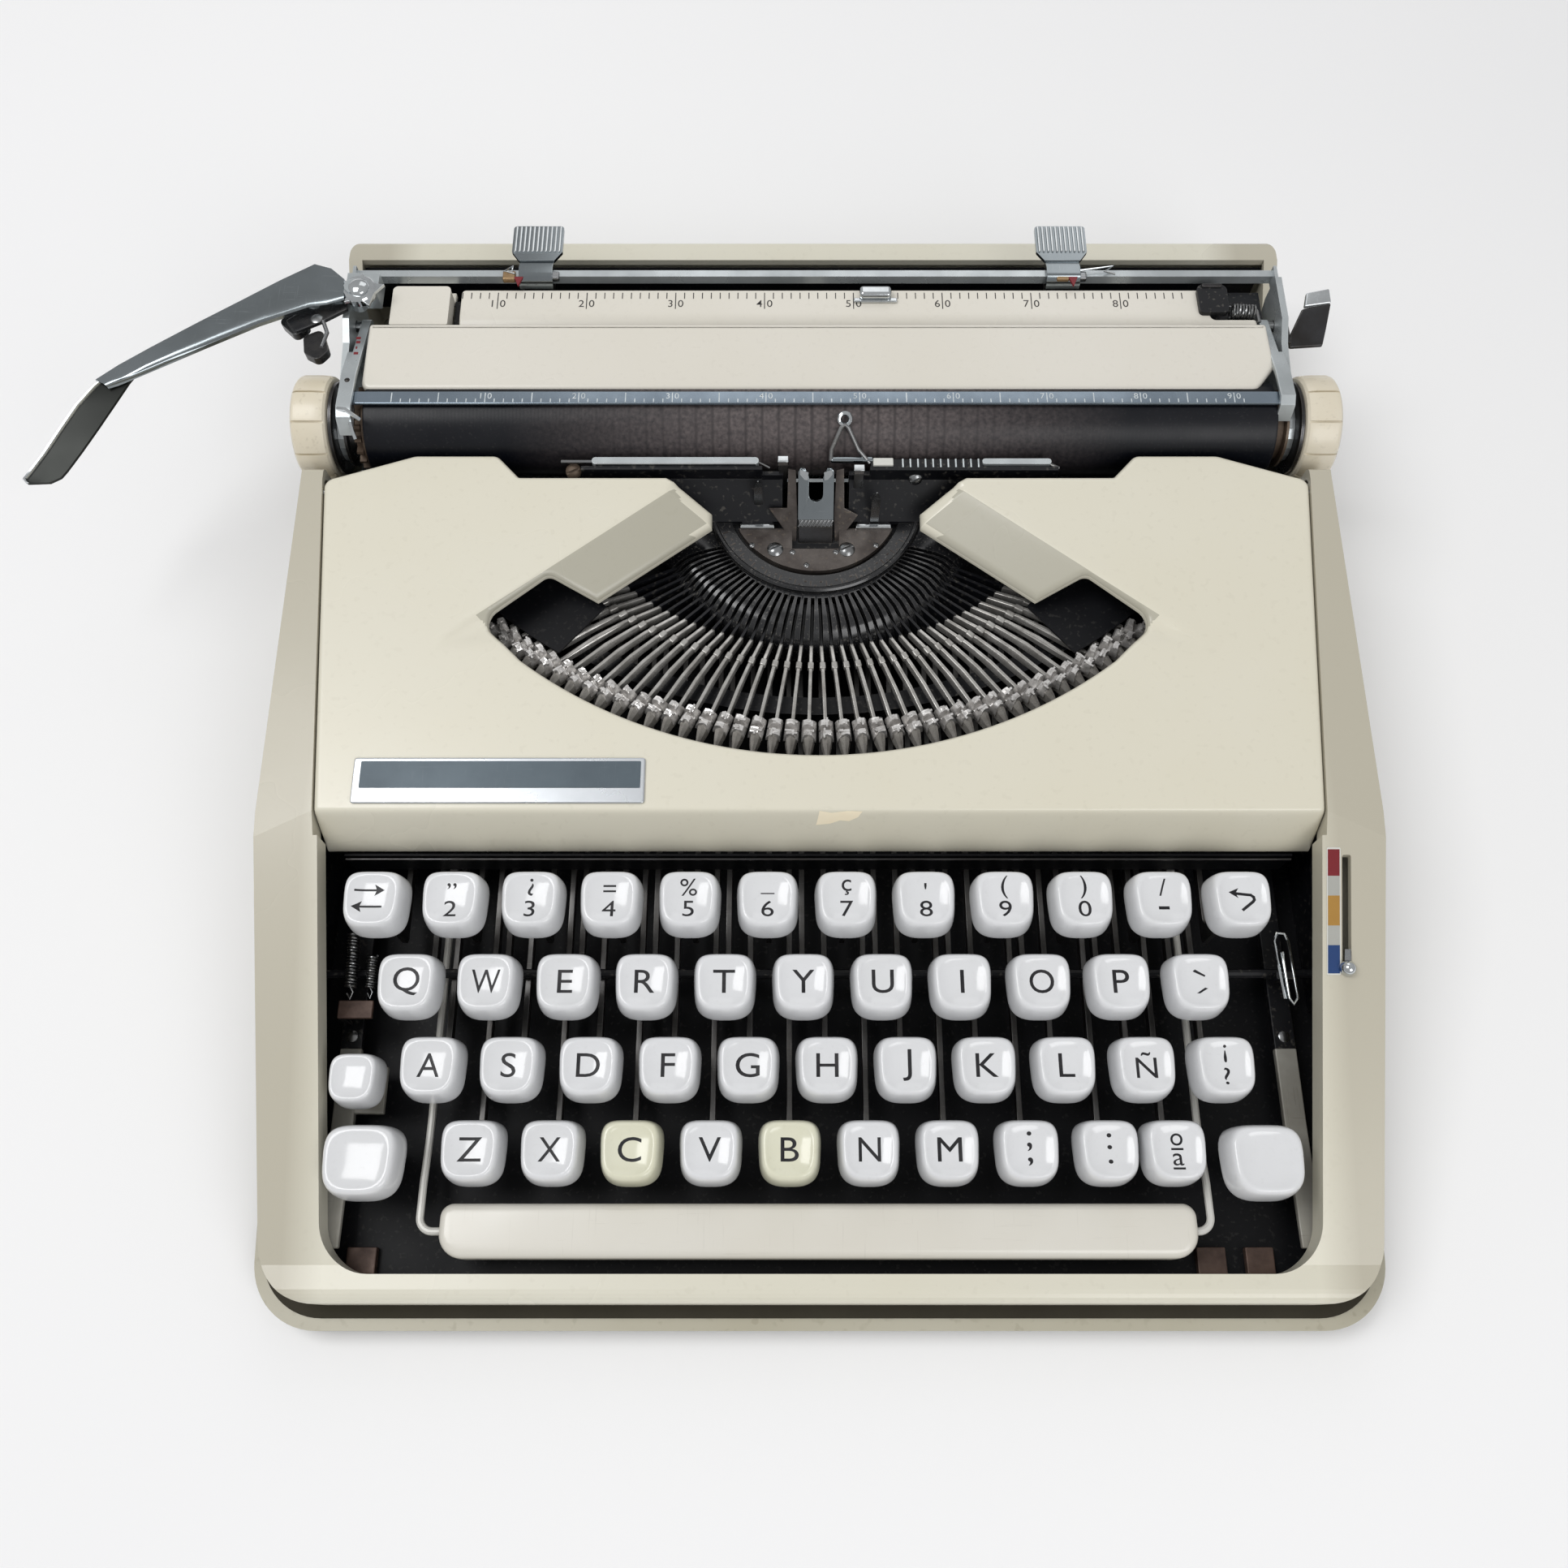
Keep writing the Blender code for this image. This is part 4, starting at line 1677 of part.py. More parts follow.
def build_selector():
    front, _ = selector_ends()
    up = rail_slope()
    normal = Vector((1.0, 0.0, 0.0)).cross(up).normalized()
    knob_centre = front + normal * (SELECTOR_KNOB_RADIUS + SEAT_GAP)
    foot = front - normal * (CASE_WALL + SEAT_GAP)
    stem_radius = SELECTOR_STEM / 2
    stem = cylinder("selector_stem", foot - normal * SELECTOR_STEM, knob_centre, stem_radius, 10)
    knob = cylinder(
        "selector_knob",
        front + normal * SEAT_GAP,
        front + normal * SELECTOR_KNOB_RADIUS * 2,
        SELECTOR_KNOB_RADIUS,
        12,
        SELECTOR_KNOB_RADIUS * 0.8,
    )
    slider_half = SELECTOR_SLOT_WIDTH
    corners = []
    for x in (-slider_half, slider_half):
        for along in (-SELECTOR_STEM * 2, SELECTOR_STEM * 2):
            for depth in (0.0, SELECTOR_STEM):
                point = foot + Vector((x, 0.0, 0.0)) + up * along - normal * depth
                corners.append(tuple(point))
    joined(stem, knob, hull("selector_slider", corners))
    node("colour_selector", stem, CHROME, front)


def centre_machine():
    """Moves the empty so that the machine's box is centred over the origin."""
    bpy.context.view_layer.update()
    graph = bpy.context.evaluated_depsgraph_get()
    low = Vector((math.inf, math.inf))
    high = Vector((-math.inf, -math.inf))
    for body in parts.objects:
        if body.type != "MESH":
            continue
        evaluated = body.evaluated_get(graph)
        mesh = evaluated.to_mesh()
        for corner in mesh.vertices:
            place = evaluated.matrix_world @ corner.co
            low = Vector((min(low.x, place.x), min(low.y, place.y)))
            high = Vector((max(high.x, place.x), max(high.y, place.y)))
        evaluated.to_mesh_clear()
    middle = (low + high) / 2
    machine.location = (-middle.x, -middle.y, 0.0)


build_base()
build_case()
build_cover()
build_keys()
build_space_bar()
build_shift_frame()
build_chassis()
build_basket()
build_platen()
build_carriage()
build_paper_table()
build_bail()
build_return_lever()
build_margin_stop("margin_stop_left", STOP_LEFT_X)
build_margin_stop("margin_stop_right", STOP_RIGHT_X)
build_release()
build_selector()
centre_machine()
bpy.context.view_layer.update()
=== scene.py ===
import math
import random

import bmesh
import bpy
from mathutils import Matrix, Vector


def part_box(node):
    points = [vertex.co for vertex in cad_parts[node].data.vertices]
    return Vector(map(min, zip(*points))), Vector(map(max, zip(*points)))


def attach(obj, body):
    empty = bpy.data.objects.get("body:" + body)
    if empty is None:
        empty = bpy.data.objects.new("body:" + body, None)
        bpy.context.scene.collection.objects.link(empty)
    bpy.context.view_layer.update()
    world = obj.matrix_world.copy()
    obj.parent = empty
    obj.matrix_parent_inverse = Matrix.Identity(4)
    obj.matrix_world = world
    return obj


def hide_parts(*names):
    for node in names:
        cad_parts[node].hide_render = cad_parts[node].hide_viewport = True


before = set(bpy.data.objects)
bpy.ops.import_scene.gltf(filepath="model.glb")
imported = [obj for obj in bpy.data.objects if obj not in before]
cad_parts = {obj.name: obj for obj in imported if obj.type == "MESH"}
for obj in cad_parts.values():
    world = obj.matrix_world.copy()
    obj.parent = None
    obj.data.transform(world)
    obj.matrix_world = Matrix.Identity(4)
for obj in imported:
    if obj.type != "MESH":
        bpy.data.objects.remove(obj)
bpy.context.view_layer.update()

scene = bpy.context.scene
scene.view_settings.view_transform = "Standard"

# Everything is modelled in millimetres from the middle of the machine's front edge
baseLow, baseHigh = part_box("base_shell")
toWorld = Matrix.Translation(((baseLow[0] + baseHigh[0]) / 2, baseLow[1], 0)) @ Matrix.Scale(0.001, 4)

machine = {
    "wellHalf": 123.8, "wellFront": 12.4, "creaseY": 119, "creaseZ": 47.3,
    "caseHalf": 139.5, "caseFront": 5.8, "caseRear": 306.5, "caseTop": 50.5, "caseBottom": 8.3,
    "frontBarTop": 20, "coverFront": 113, "coverRear": 221.2, "coverCorner": 213.4,
    "platenY": 235.1, "platenZ": 43.3,
    "shaftY": 205, "shaftZ": 11,
}


# Mesh tools
def newObject(name, mesh):
    made = bpy.data.objects.new(name, mesh)
    scene.collection.objects.link(made)
    return made


def shapeFrom(name, bm, tidy=True):
    if tidy:
        bmesh.ops.remove_doubles(bm, verts=bm.verts, dist=0.001)
        bmesh.ops.recalc_face_normals(bm, faces=bm.faces)
    mesh = bpy.data.meshes.new(name)
    bm.to_mesh(mesh)
    bm.free()
    return newObject(name, mesh)


def bakedMesh(obj):
    bpy.context.view_layer.update()
    graph = bpy.context.evaluated_depsgraph_get()
    mesh = bpy.data.meshes.new_from_object(obj.evaluated_get(graph), depsgraph=graph)
    mesh.transform(obj.matrix_world)
    return mesh


# The evaluated mesh of an object, which goes
def takenMesh(obj):
    mesh = bakedMesh(obj)
    bpy.data.objects.remove(obj)
    return mesh


# The same shape with its modifiers made real
def plain(obj):
    name = obj.name
    return newObject(name, takenMesh(obj))


def painted(obj, finish):
    if obj.type == "MESH":
        obj.data.materials.clear()
        obj.data.materials.append(finish)
    obj["finish"] = finish.name
    return obj


# Joins painted shapes into one finished piece in metres, riding on its body
def settle(name, shapes, body, replaces=(), angle=32):
    finishes = []
    bm = bmesh.new()
    for shape in shapes:
        mesh = bakedMesh(shape)
        own = list(mesh.materials)
        if not own or own[0] is None:
            own = [bpy.data.materials[shape["finish"]]]
        for finish in own:
            if finish not in finishes:
                finishes.append(finish)
        order = [finishes.index(finish) for finish in own]
        for polygon in mesh.polygons:
            polygon.material_index = order[min(polygon.material_index, len(order) - 1)]
        bm.from_mesh(mesh)
        bpy.data.meshes.remove(mesh)
    for shape in shapes:
        bpy.data.objects.remove(shape)
    mesh = bpy.data.meshes.new(name)
    bm.to_mesh(mesh)
    bm.free()
    mesh.transform(toWorld)
    mesh.shade_smooth()
    mesh.set_sharp_from_angle(angle=math.radians(angle))
    for finish in finishes:
        mesh.materials.append(finish)
    rough = newObject(name + "Rough", mesh)
    step = rough.modifiers.new("flatFaces", "WEIGHTED_NORMAL")
    step.keep_sharp = True
    mesh = takenMesh(rough)
    mesh.name = name
    piece = newObject(name, mesh)
    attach(piece, body)
    if replaces:
        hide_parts(*replaces)
    return piece


def addSpline(curve, places, closed):
    spline = curve.splines.new("POLY")
    spline.points.add(len(places) - 1)
    for point, place in zip(spline.points, places):
        point.co = (*Vector(place).to_3d(), 1)
    spline.use_cyclic_u = closed


def solidFrom(name, mesh, finish):
    bm = bmesh.new()
    bm.from_mesh(mesh)
    bpy.data.meshes.remove(mesh)
    made = shapeFrom(name, bm)
    return painted(made, finish) if finish else made


planes = {"XY": Matrix.Identity(3), "YZ": Matrix(((0, 0, 1), (1, 0, 0), (0, 1, 0)))}


def plate(name, outlines, low, high, finish=None, plane="XY"):
    curve = bpy.data.curves.new(name, "CURVE")
    curve.dimensions = "2D"
    curve.fill_mode = "BOTH"
    curve.extrude = (high - low) / 2
    for outline in outlines:
        addSpline(curve, outline, True)
    mesh = takenMesh(newObject(name, curve))
    mesh.transform(planes[plane].to_4x4() @ Matrix.Translation((0, 0, (low + high) / 2)))
    return solidFrom(name, mesh, finish)


def wire(name, points, radius, finish, closed=False):
    curve = bpy.data.curves.new(name, "CURVE")
    curve.dimensions = "3D"
    curve.bevel_depth = radius
    curve.bevel_resolution = 3
    curve.use_fill_caps = True
    addSpline(curve, points, closed)
    return solidFrom(name, takenMesh(newObject(name, curve)), finish)


def box(name, low, high, finish, bevel=0):
    bm = bmesh.new()
    bmesh.ops.create_cube(bm, size=1)
    low, high = Vector(low), Vector(high)
    bmesh.ops.scale(bm, vec=high - low, verts=bm.verts)
    bmesh.ops.translate(bm, vec=(low + high) / 2, verts=bm.verts)
    if bevel:
        bmesh.ops.bevel(bm, geom=bm.edges[:], offset=bevel, segments=3, profile=0.5, affect="EDGES")
    return painted(shapeFrom(name, bm), finish)


# A (radius, height) profile turned about a line; a radius of zero closes on the axis
def turned(name, profile, start, direction, finish, sides=48):
    bm = bmesh.new()
    angles = [2 * math.pi * i / sides for i in range(sides)]
    rings = [[bm.verts.new((radius * math.cos(a), radius * math.sin(a), height))
        for a in angles[:sides if radius else 1]]
             for radius, height in profile]
    for first, second in zip(rings, rings[1:]):
        for i in range(sides):
            corners = [ring[k % len(ring)] for ring, k in ((first, i), (first, (i + 1) % sides),
                (second, (i + 1) % sides), (second, i))]
            bm.faces.new(list(dict.fromkeys(corners)))
    for ring in (rings[0], rings[-1]):
        if len(ring) > 2:
            bm.faces.new(ring)
    turn = Vector(direction).to_track_quat("Z", "Y").to_matrix().to_4x4()
    bmesh.ops.transform(bm, matrix=Matrix.Translation(start) @ turn, verts=bm.verts)
    return painted(shapeFrom(name, bm), finish)


# Quads between rings of equal length, and a face over each open end
def skinned(bm, rings):
    levels = [[bm.verts.new(point) for point in ring] for ring in rings]
    for first, second in zip(levels, levels[1:]):
        for i in range(len(first)):
            j = (i + 1) % len(first)
            bm.faces.new((first[i], first[j], second[j], second[i]))
    bm.faces.new(levels[0])
    bm.faces.new(levels[-1])
    return bm


def lofted(name, rings, finish):
    return painted(shapeFrom(name, skinned(bmesh.new(), rings)), finish)


def bevelled(obj, width, segments=3, angle=35):
    step = obj.modifiers.new("edges", "BEVEL")
    step.width = width
    step.segments = segments
    step.limit_method = "ANGLE"
    step.angle_limit = math.radians(angle)
    return plain(obj)


def cut(obj, *others, operation="DIFFERENCE"):
    for other in others:
        step = obj.modifiers.new("cut", "BOOLEAN")
        step.operation = operation
        step.object = other
    obj = plain(obj)
    for other in others:
        bpy.data.objects.remove(other)
    return obj


def arc(centre, radius, start, end, steps):
    angles = [start + (end - start) * i / steps for i in range(steps + 1)]
    return [(centre[0] + radius * math.cos(a), centre[1] + radius * math.sin(a)) for a in angles]


# An outline from (x, y, radius) corners
def rounded(corners, steps=6):
    outline = []
    for i, (x, y, radius) in enumerate(corners):
        if radius == 0:
            outline.append((x, y))
            continue
        corner = Vector((x, y))
        before = (Vector(corners[i - 1][:2]) - corner).normalized()
        after = (Vector(corners[(i + 1) % len(corners)][:2]) - corner).normalized()
        half = before.angle(after) / 2
        reach = radius / math.tan(half)
        centre = corner + (before + after).normalized() * radius / math.sin(half)
        first = corner + before * reach - centre
        sweep = (corner + after * reach - centre).angle_signed(first)
        for step in range(steps + 1):
            outline.append(tuple(centre + Matrix.Rotation(sweep * step / steps, 2) @ first))
    return outline


def rectangle(left, right, front, rear, frontRadius=0, rearRadius=0, steps=6):
    return rounded([
        (left, front, frontRadius), (right, front, frontRadius),
        (right, rear, rearRadius), (left, rear, rearRadius),
    ], steps)


# A rectangle that narrows from the crease forward
def tapered(half, taper, front, rear, frontRadius, rearRadius, steps):
    frontHalf = half - taper * (machine["creaseY"] - front)
    corners = [(frontHalf, front, frontRadius), (half, machine["creaseY"], 0)]
    if rear > machine["creaseY"]:
        corners.append((half, rear, rearRadius))
    return rounded(corners + [(-x, y, radius) for x, y, radius in reversed(corners)], steps)


def insetOutline(outline, distance):
    made = []
    for i, place in enumerate(outline):
        here = Vector(place)
        first = (here - Vector(outline[i - 1])).normalized()
        second = (Vector(outline[(i + 1) % len(outline)]) - here).normalized()
        inward = Vector((-first.y, first.x)) + Vector((-second.y, second.x))
        inward.normalize()
        stretch = max(0.5, inward.dot(Vector((-first.y, first.x))))
        made.append(tuple(here + inward * distance / stretch))
    return made


# A flat plate, top at zero, whose upper edge is rolled over; the outline runs anticlockwise
def rolledPlate(outline, thickness, radius, steps=4):
    angles = [math.pi / 2 * i / steps for i in range(steps + 1)]
    levels = [(radius * 1.4, 0)] + [(radius * (1 - math.sin(a)), -radius * (1 - math.cos(a))) for a in angles] + [(0,
        -thickness)]
    bm = skinned(bmesh.new(), [[(x, y, z) for x, y in (insetOutline(outline, inset) if inset > 1e-6 else outline)]
                               for inset, z in levels])
    bmesh.ops.recalc_face_normals(bm, faces=bm.faces)
    flat = [face for face in bm.faces if len(face.verts) > 4]
    bmesh.ops.triangulate(bm, faces=flat, ngon_method="BEAUTY")
    return bm


def sliced(bm, places, direction=(0, 1, 0), chosen=None):
    for place in places:
        geometry = bm.verts[:] + bm.edges[:] + bm.faces[:]
        if chosen:
            faces = [f for f in bm.faces if all(chosen(v.co) for v in f.verts)]
            geometry = list({v for f in faces for v in f.verts}) + list({e for f in faces for e in f.edges}) + faces
        bmesh.ops.bisect_plane(bm, geom=geometry, dist=1e-5, plane_co=place, plane_no=direction)
    return bm


def facingUp(bm):
    bmesh.ops.recalc_face_normals(bm, faces=bm.faces)
    for face in bm.faces:
        if face.normal.z < 0:
            face.normal_flip()
    return bm


# Moves each point of a shape to the place that a function of it gives
def reshaped(shape, place):
    for v in shape.data.vertices:
        v.co = place(*v.co)
    return shape


# Shader groups that the finishes share
def shaderGroup(name, build, inputs):
    tree = bpy.data.node_groups.new(name, "ShaderNodeTree")
    for label, value in inputs.items():
        kind = "NodeSocketColor" if isinstance(value, tuple) else "NodeSocketFloat"
        tree.interface.new_socket(name=label, in_out="INPUT", socket_type=kind).default_value = value
    made = build(tree, tree.nodes.new("NodeGroupInput").outputs, objectPlace(tree))
    for label in made:
        kind = "NodeSocketColor" if label == "Colour" else "NodeSocketFloat"
        tree.interface.new_socket(name=label, in_out="OUTPUT", socket_type=kind)
    addNode(tree, "NodeGroupOutput", made)
    return tree


def addNode(tree, kind, values=None, **settings):
    node = tree.nodes.new(kind)
    for key, value in settings.items():
        setattr(node, key, value)
    for socket, value in (values or {}).items():
        if isinstance(value, bpy.types.NodeSocket):
            tree.links.new(value, node.inputs[socket])
        else:
            node.inputs[socket].default_value = value
    return node


def mixColour(tree, factor, first, second):
    return addNode(tree, "ShaderNodeMix", {0: factor, 6: first, 7: second}, data_type="RGBA").outputs[2]


def maths(tree, operation, *values):
    return addNode(tree, "ShaderNodeMath", dict(enumerate(values)), operation=operation).outputs[0]


def noise(tree, where, scale, detail=1, roughness=0.5):
    values = {"Vector": where, "Scale": scale, "Detail": detail, "Roughness": roughness}
    return addNode(tree, "ShaderNodeTexNoise", values).outputs["Fac"]


def remap(tree, value, low, high, toLow=0, toHigh=1):
    values = {"Value": value, "From Min": low, "From Max": high, "To Min": toLow, "To Max": toHigh}
    return addNode(tree, "ShaderNodeMapRange", values).outputs["Result"]


def objectPlace(tree):
    return addNode(tree, "ShaderNodeTexCoord").outputs["Object"]


def bumped(tree, shader, height, strength):
    bump = addNode(tree, "ShaderNodeBump", {"Height": height, "Strength": strength, "Distance": 0.0001})
    tree.links.new(bump.outputs["Normal"], shader.inputs["Normal"])


# Slow drifts of tone, as old paint and plastic have
def paintTone(tree, given, where):
    mask = remap(tree, noise(tree, where, given["Scale"], 4, 0.6), 0.35, 0.68)
    amount = maths(tree, "MULTIPLY", mask, given["Amount"])
    return {"Colour": mixColour(tree, amount, given["Colour"], given["Aged Colour"]), "Mask": mask}


# Small specks, gathered in patches
def dustSpecks(tree, given, where):
    specks = remap(tree, noise(tree, where, given["Scale"]), 0.62, 0.72)
    patches = maths(tree, "MULTIPLY", specks, noise(tree, where, 45, 2))
    return {"Mask": maths(tree, "MULTIPLY", patches, given["Cover"])}


# Fine hairline scratches in two directions, with a height for the bump
def hairScratches(tree, given, where):
    found = []
    for turn, stretch in ((0.5, (1, 26, 1)), (-0.9, (30, 1, 1))):
        mapped = addNode(tree, "ShaderNodeMapping", {"Vector": where, "Rotation": (0, 0, turn),
            "Scale": stretch}).outputs[0]
        found.append(remap(tree, noise(tree, mapped, given["Scale"], 3, 0.7), 0.64, 0.7))
    mask = maths(tree, "MULTIPLY", maths(tree, "MAXIMUM", *found), given["Amount"])
    return {"Mask": mask, "Height": maths(tree, "SUBTRACT", 1, mask)}


# The orange-peel of sprayed paint, or the fine grain of a moulding
def surfaceGrain(tree, given, where):
    soft, fine = (noise(tree, where, given[label]) for label in ("Scale", "Second Scale"))
    return {"Height": maths(tree, "MULTIPLY_ADD", fine, 0.3, soft)}


# A mask along edges, where the finish has rubbed, broken up by noise
def edgeWear(tree, given, where):
    soft = addNode(tree, "ShaderNodeBevel", {"Radius": given["Reach"]}, samples=4).outputs["Normal"]
    sharp = addNode(tree, "ShaderNodeNewGeometry").outputs["Normal"]
    along = addNode(tree, "ShaderNodeVectorMath", {0: soft, 1: sharp}, operation="DOT_PRODUCT").outputs["Value"]
    broken = maths(tree, "MULTIPLY", remap(tree, along, 0.99, 0.82), noise(tree, where, 420, 3))
    return {"Mask": maths(tree, "MULTIPLY", broken, given["Amount"])}


groups = {
    "tone": shaderGroup("paintTone", paintTone, {"Colour": (1, 1, 1, 1), "Aged Colour": (1, 1, 0.8, 1), "Scale": 20,
        "Amount": 0.3}),
    "dust": shaderGroup("dustSpecks", dustSpecks, {"Scale": 900, "Cover": 0.3}),
    "scratch": shaderGroup("hairScratches", hairScratches, {"Scale": 60, "Amount": 0.3}),
    "grain": shaderGroup("surfaceGrain", surfaceGrain, {"Scale": 700, "Second Scale": 2400}),
    "wear": shaderGroup("edgeWear", edgeWear, {"Reach": 0.0006, "Amount": 0.6}),
}


def linear(red, green, blue):
    shares = [value / 255 for value in (red, green, blue)]
    return tuple(share / 12.92 if share <= 0.04045 else ((share + 0.055) / 1.055) ** 2.4 for share in shares) + (1,)


# One finish of the machine, with the shared groups placed at its own values
def finish(name, colour, aged, roughness, metallic=0, scale=18, amount=0.3, spread=0.08,
           grain=None, scratch=None, dust=None, wear=None, coat=0, specular=0.5):
    made = bpy.data.materials.new(name)
    made.use_nodes = True
    tree = made.node_tree
    shader = tree.nodes["Principled BSDF"]
    constants = {"Metallic": metallic, "Specular IOR Level": specular, "Coat Weight": coat, "Coat Roughness": 0.12}
    for socket, value in constants.items():
        shader.inputs[socket].default_value = value

    def placed(group, values):
        return addNode(tree, "ShaderNodeGroup", values, node_tree=groups[group]).outputs

    tone = placed("tone", {"Colour": linear(*colour), "Aged Colour": linear(*aged), "Scale": scale, "Amount": amount})
    shade, height = tone["Colour"], None
    for kind, values, labels in (("scratch", scratch, ("Scale", "Amount")), ("dust", dust, ("Scale", "Cover")),
                                 ("wear", wear, ("Reach", "Amount"))):
        if values:
            layer = placed(kind, dict(zip(labels, values)))
            shade = mixColour(tree, layer["Mask"], shade, linear(*values[2]))
            height = layer["Height"] if kind == "scratch" else height
    level = remap(tree, tone["Mask"], 0, 1, roughness - spread / 2, roughness + spread / 2)
    tree.links.new(shade, shader.inputs["Base Color"])
    tree.links.new(level, shader.inputs["Roughness"])
    if grain:
        peel = placed("grain", {"Scale": grain[0], "Second Scale": grain[0] * 3.3})["Height"]
        height = maths(tree, "ADD", height, peel) if scratch else peel
    if grain or scratch:
        bumped(tree, shader, height, grain[1] if grain else scratch[3])
    return made


casePaint = finish("casePaint", (222, 218, 202), (216, 210, 188), 0.3, scale=9, amount=0.5,
                   grain=(650, 0.05), dust=(520, 0.10, (150, 140, 118)), coat=0.15)
# a darker copy of the case paint for the sunk horn faces: painted shade
hornPaint = finish("hornPaint", (182, 179, 164), (176, 171, 152), 0.3, scale=9, amount=0.5,
                   grain=(650, 0.05), dust=(520, 0.10, (150, 140, 118)), coat=0.15)
basePaint = finish("basePaint", (182, 178, 162), (166, 160, 138), 0.38, scale=12, amount=0.6,
                   grain=(500, 0.08), dust=(420, 0.35, (120, 108, 84)))
tablePaint = finish("tablePaint", (222, 218, 208), (214, 209, 196), 0.28, scale=14, amount=0.5,
                    grain=(700, 0.05), dust=(700, 0.08, (150, 142, 124)), coat=0.15)
capPlastic = finish("capPlastic", (222, 223, 225), (214, 215, 216), 0.13, scale=60, amount=0.5, spread=0.05,
                    grain=(380, 0.03), dust=(900, 0.08, (150, 148, 140)), coat=0.3)
yellowedPlastic = finish("yellowedPlastic", (222, 221, 200), (213, 211, 184), 0.18, scale=60, amount=0.6, spread=0.05,
                         grain=(380, 0.03), dust=(900, 0.1, (150, 145, 120)), coat=0.3)
barPlastic = finish("barPlastic", (219, 216, 207), (210, 205, 192), 0.24, scale=20, amount=0.5, spread=0.06,
                    grain=(300, 0.04), scratch=(55, 0.12, (150, 145, 132), 0.05), coat=0.2)
knobPlastic = finish("knobPlastic", (224, 216, 198), (210, 199, 172), 0.3, scale=40, amount=0.6,
                     grain=(400, 0.05), dust=(700, 0.25, (120, 105, 80)), coat=0.1)
legendInk = finish("legendInk", (24, 24, 28), (52, 50, 52), 0.4, scale=260, amount=0.7, specular=0.3)
scaleInk = finish("scaleInk", (40, 38, 38), (84, 80, 76), 0.5, scale=300, amount=0.7)
whiteInk = finish("whiteInk", (214, 220, 222), (160, 170, 174), 0.45, scale=400, amount=0.8)
seamShadow = finish("seamShadow", (56, 52, 42), (44, 41, 33), 0.7, scale=40, amount=0.5, specular=0.2)
# near-black for the pan's floor, and for sheets that stand in as painted shade in the well and the lobes
wellBlack = finish("wellBlack", (8, 9, 13), (17, 18, 22), 0.5, scale=60, amount=0.5, specular=0.22,
                   grain=(420, 0.1), dust=(900, 0.25, (90, 88, 84)))
armSteel = finish("armSteel", (196, 202, 204), (150, 156, 158), 0.3, metallic=0.6, scale=60, amount=0.6, spread=0.12,
                  wear=(0.0006, 0.5, (226, 230, 232)))
blackSteel = finish("blackSteel", (9, 10, 14), (22, 23, 28), 0.42, metallic=0, specular=0.35, scale=40, amount=0.6,
    spread=0.15,
                    grain=(420, 0.12), dust=(800, 0.5, (120, 116, 108)),
                    wear=(0.0005, 0.3, (90, 90, 92)))
blackedSegment = finish("blackedSegment", (20, 21, 24), (38, 38, 40), 0.2, metallic=0.2, specular=0.8, scale=90,
    amount=0.6, spread=0.12,
                        dust=(1500, 0.5, (150, 146, 138)), wear=(0.0003, 0.5, (130, 128, 124)))
barSteel = finish("barSteel", (192, 190, 186), (136, 133, 128), 0.28, metallic=0.55, scale=260, amount=0.8, spread=0.14,
                  grain=(1500, 0.15))
tailSteel = finish("tailSteel", (188, 184, 178), (128, 124, 118), 0.3, metallic=0.25, scale=420, amount=0.7,
    spread=0.14)
typeSteel = finish("typeSteel", (244, 242, 240), (150, 146, 142), 0.2, metallic=0.6, scale=520, amount=0.75,
    spread=0.16,
                   grain=(1400, 0.5))
oiledPlate = finish("oiledPlate", (104, 98, 94), (58, 51, 48), 0.3, metallic=0.6, scale=120, amount=0.9, spread=0.2,
                    dust=(900, 0.4, (150, 135, 115)), grain=(700, 0.2))
bareSteel = finish("bareSteel", (150, 152, 154), (104, 100, 94), 0.3, metallic=1, scale=110, amount=0.6, spread=0.16,
                   scratch=(120, 0.35, (190, 190, 190), 0.1))
darkSteel = finish("darkSteel", (74, 74, 76), (46, 42, 38), 0.34, metallic=0.9, scale=90, amount=0.7, spread=0.18,
                   grain=(900, 0.15), wear=(0.0004, 0.6, (165, 160, 152)))
chromePlate = finish("chromePlate", (150, 157, 161), (118, 124, 126), 0.13, metallic=1, scale=34, amount=0.6,
    spread=0.08,
                     scratch=(90, 0.25, (190, 195, 198), 0.06))
brightChrome = finish("brightChrome", (214, 218, 220), (170, 174, 176), 0.1, metallic=1, scale=120, amount=0.5,
    spread=0.06,
                      scratch=(160, 0.3, (120, 120, 120), 0.08))
# steel with a blue cast that is a painted reflection
bailSteel = finish("bailSteel", (142, 155, 167), (106, 118, 130), 0.22, metallic=0.8, scale=50, amount=0.6, spread=0.1,
                   scratch=(140, 0.25, (170, 176, 180), 0.08))
agedIron = finish("agedIron", (112, 98, 84), (78, 62, 50), 0.55, metallic=0.4, scale=140, amount=0.9, spread=0.2,
                  grain=(800, 0.4))
shiftPaint = finish("shiftPaint", (176, 174, 166), (138, 134, 124), 0.45, metallic=0.2, scale=50, amount=0.8,
                    grain=(500, 0.15), scratch=(70, 0.4, (110, 106, 98), 0.15))
leverSteel = finish("leverSteel", (104, 103, 102), (70, 67, 64), 0.36, metallic=0.9, scale=80, amount=0.7, spread=0.16,
                    scratch=(150, 0.3, (160, 158, 154), 0.12))
wirePaint = finish("wirePaint", (208, 207, 202), (184, 182, 174), 0.35, metallic=0.1, scale=80, amount=0.6)
footRubber = finish("footRubber", (34, 33, 33), (52, 50, 48), 0.75, scale=80, amount=0.6, grain=(900, 0.3))
redEnamel = finish("redEnamel", (122, 22, 32), (104, 18, 26), 0.35, scale=120, amount=0.5)
goldEnamel = finish("goldEnamel", (170, 128, 56), (156, 114, 44), 0.35, scale=120, amount=0.5)
blueEnamel = finish("blueEnamel", (10, 56, 112), (8, 46, 96), 0.35, scale=120, amount=0.5)
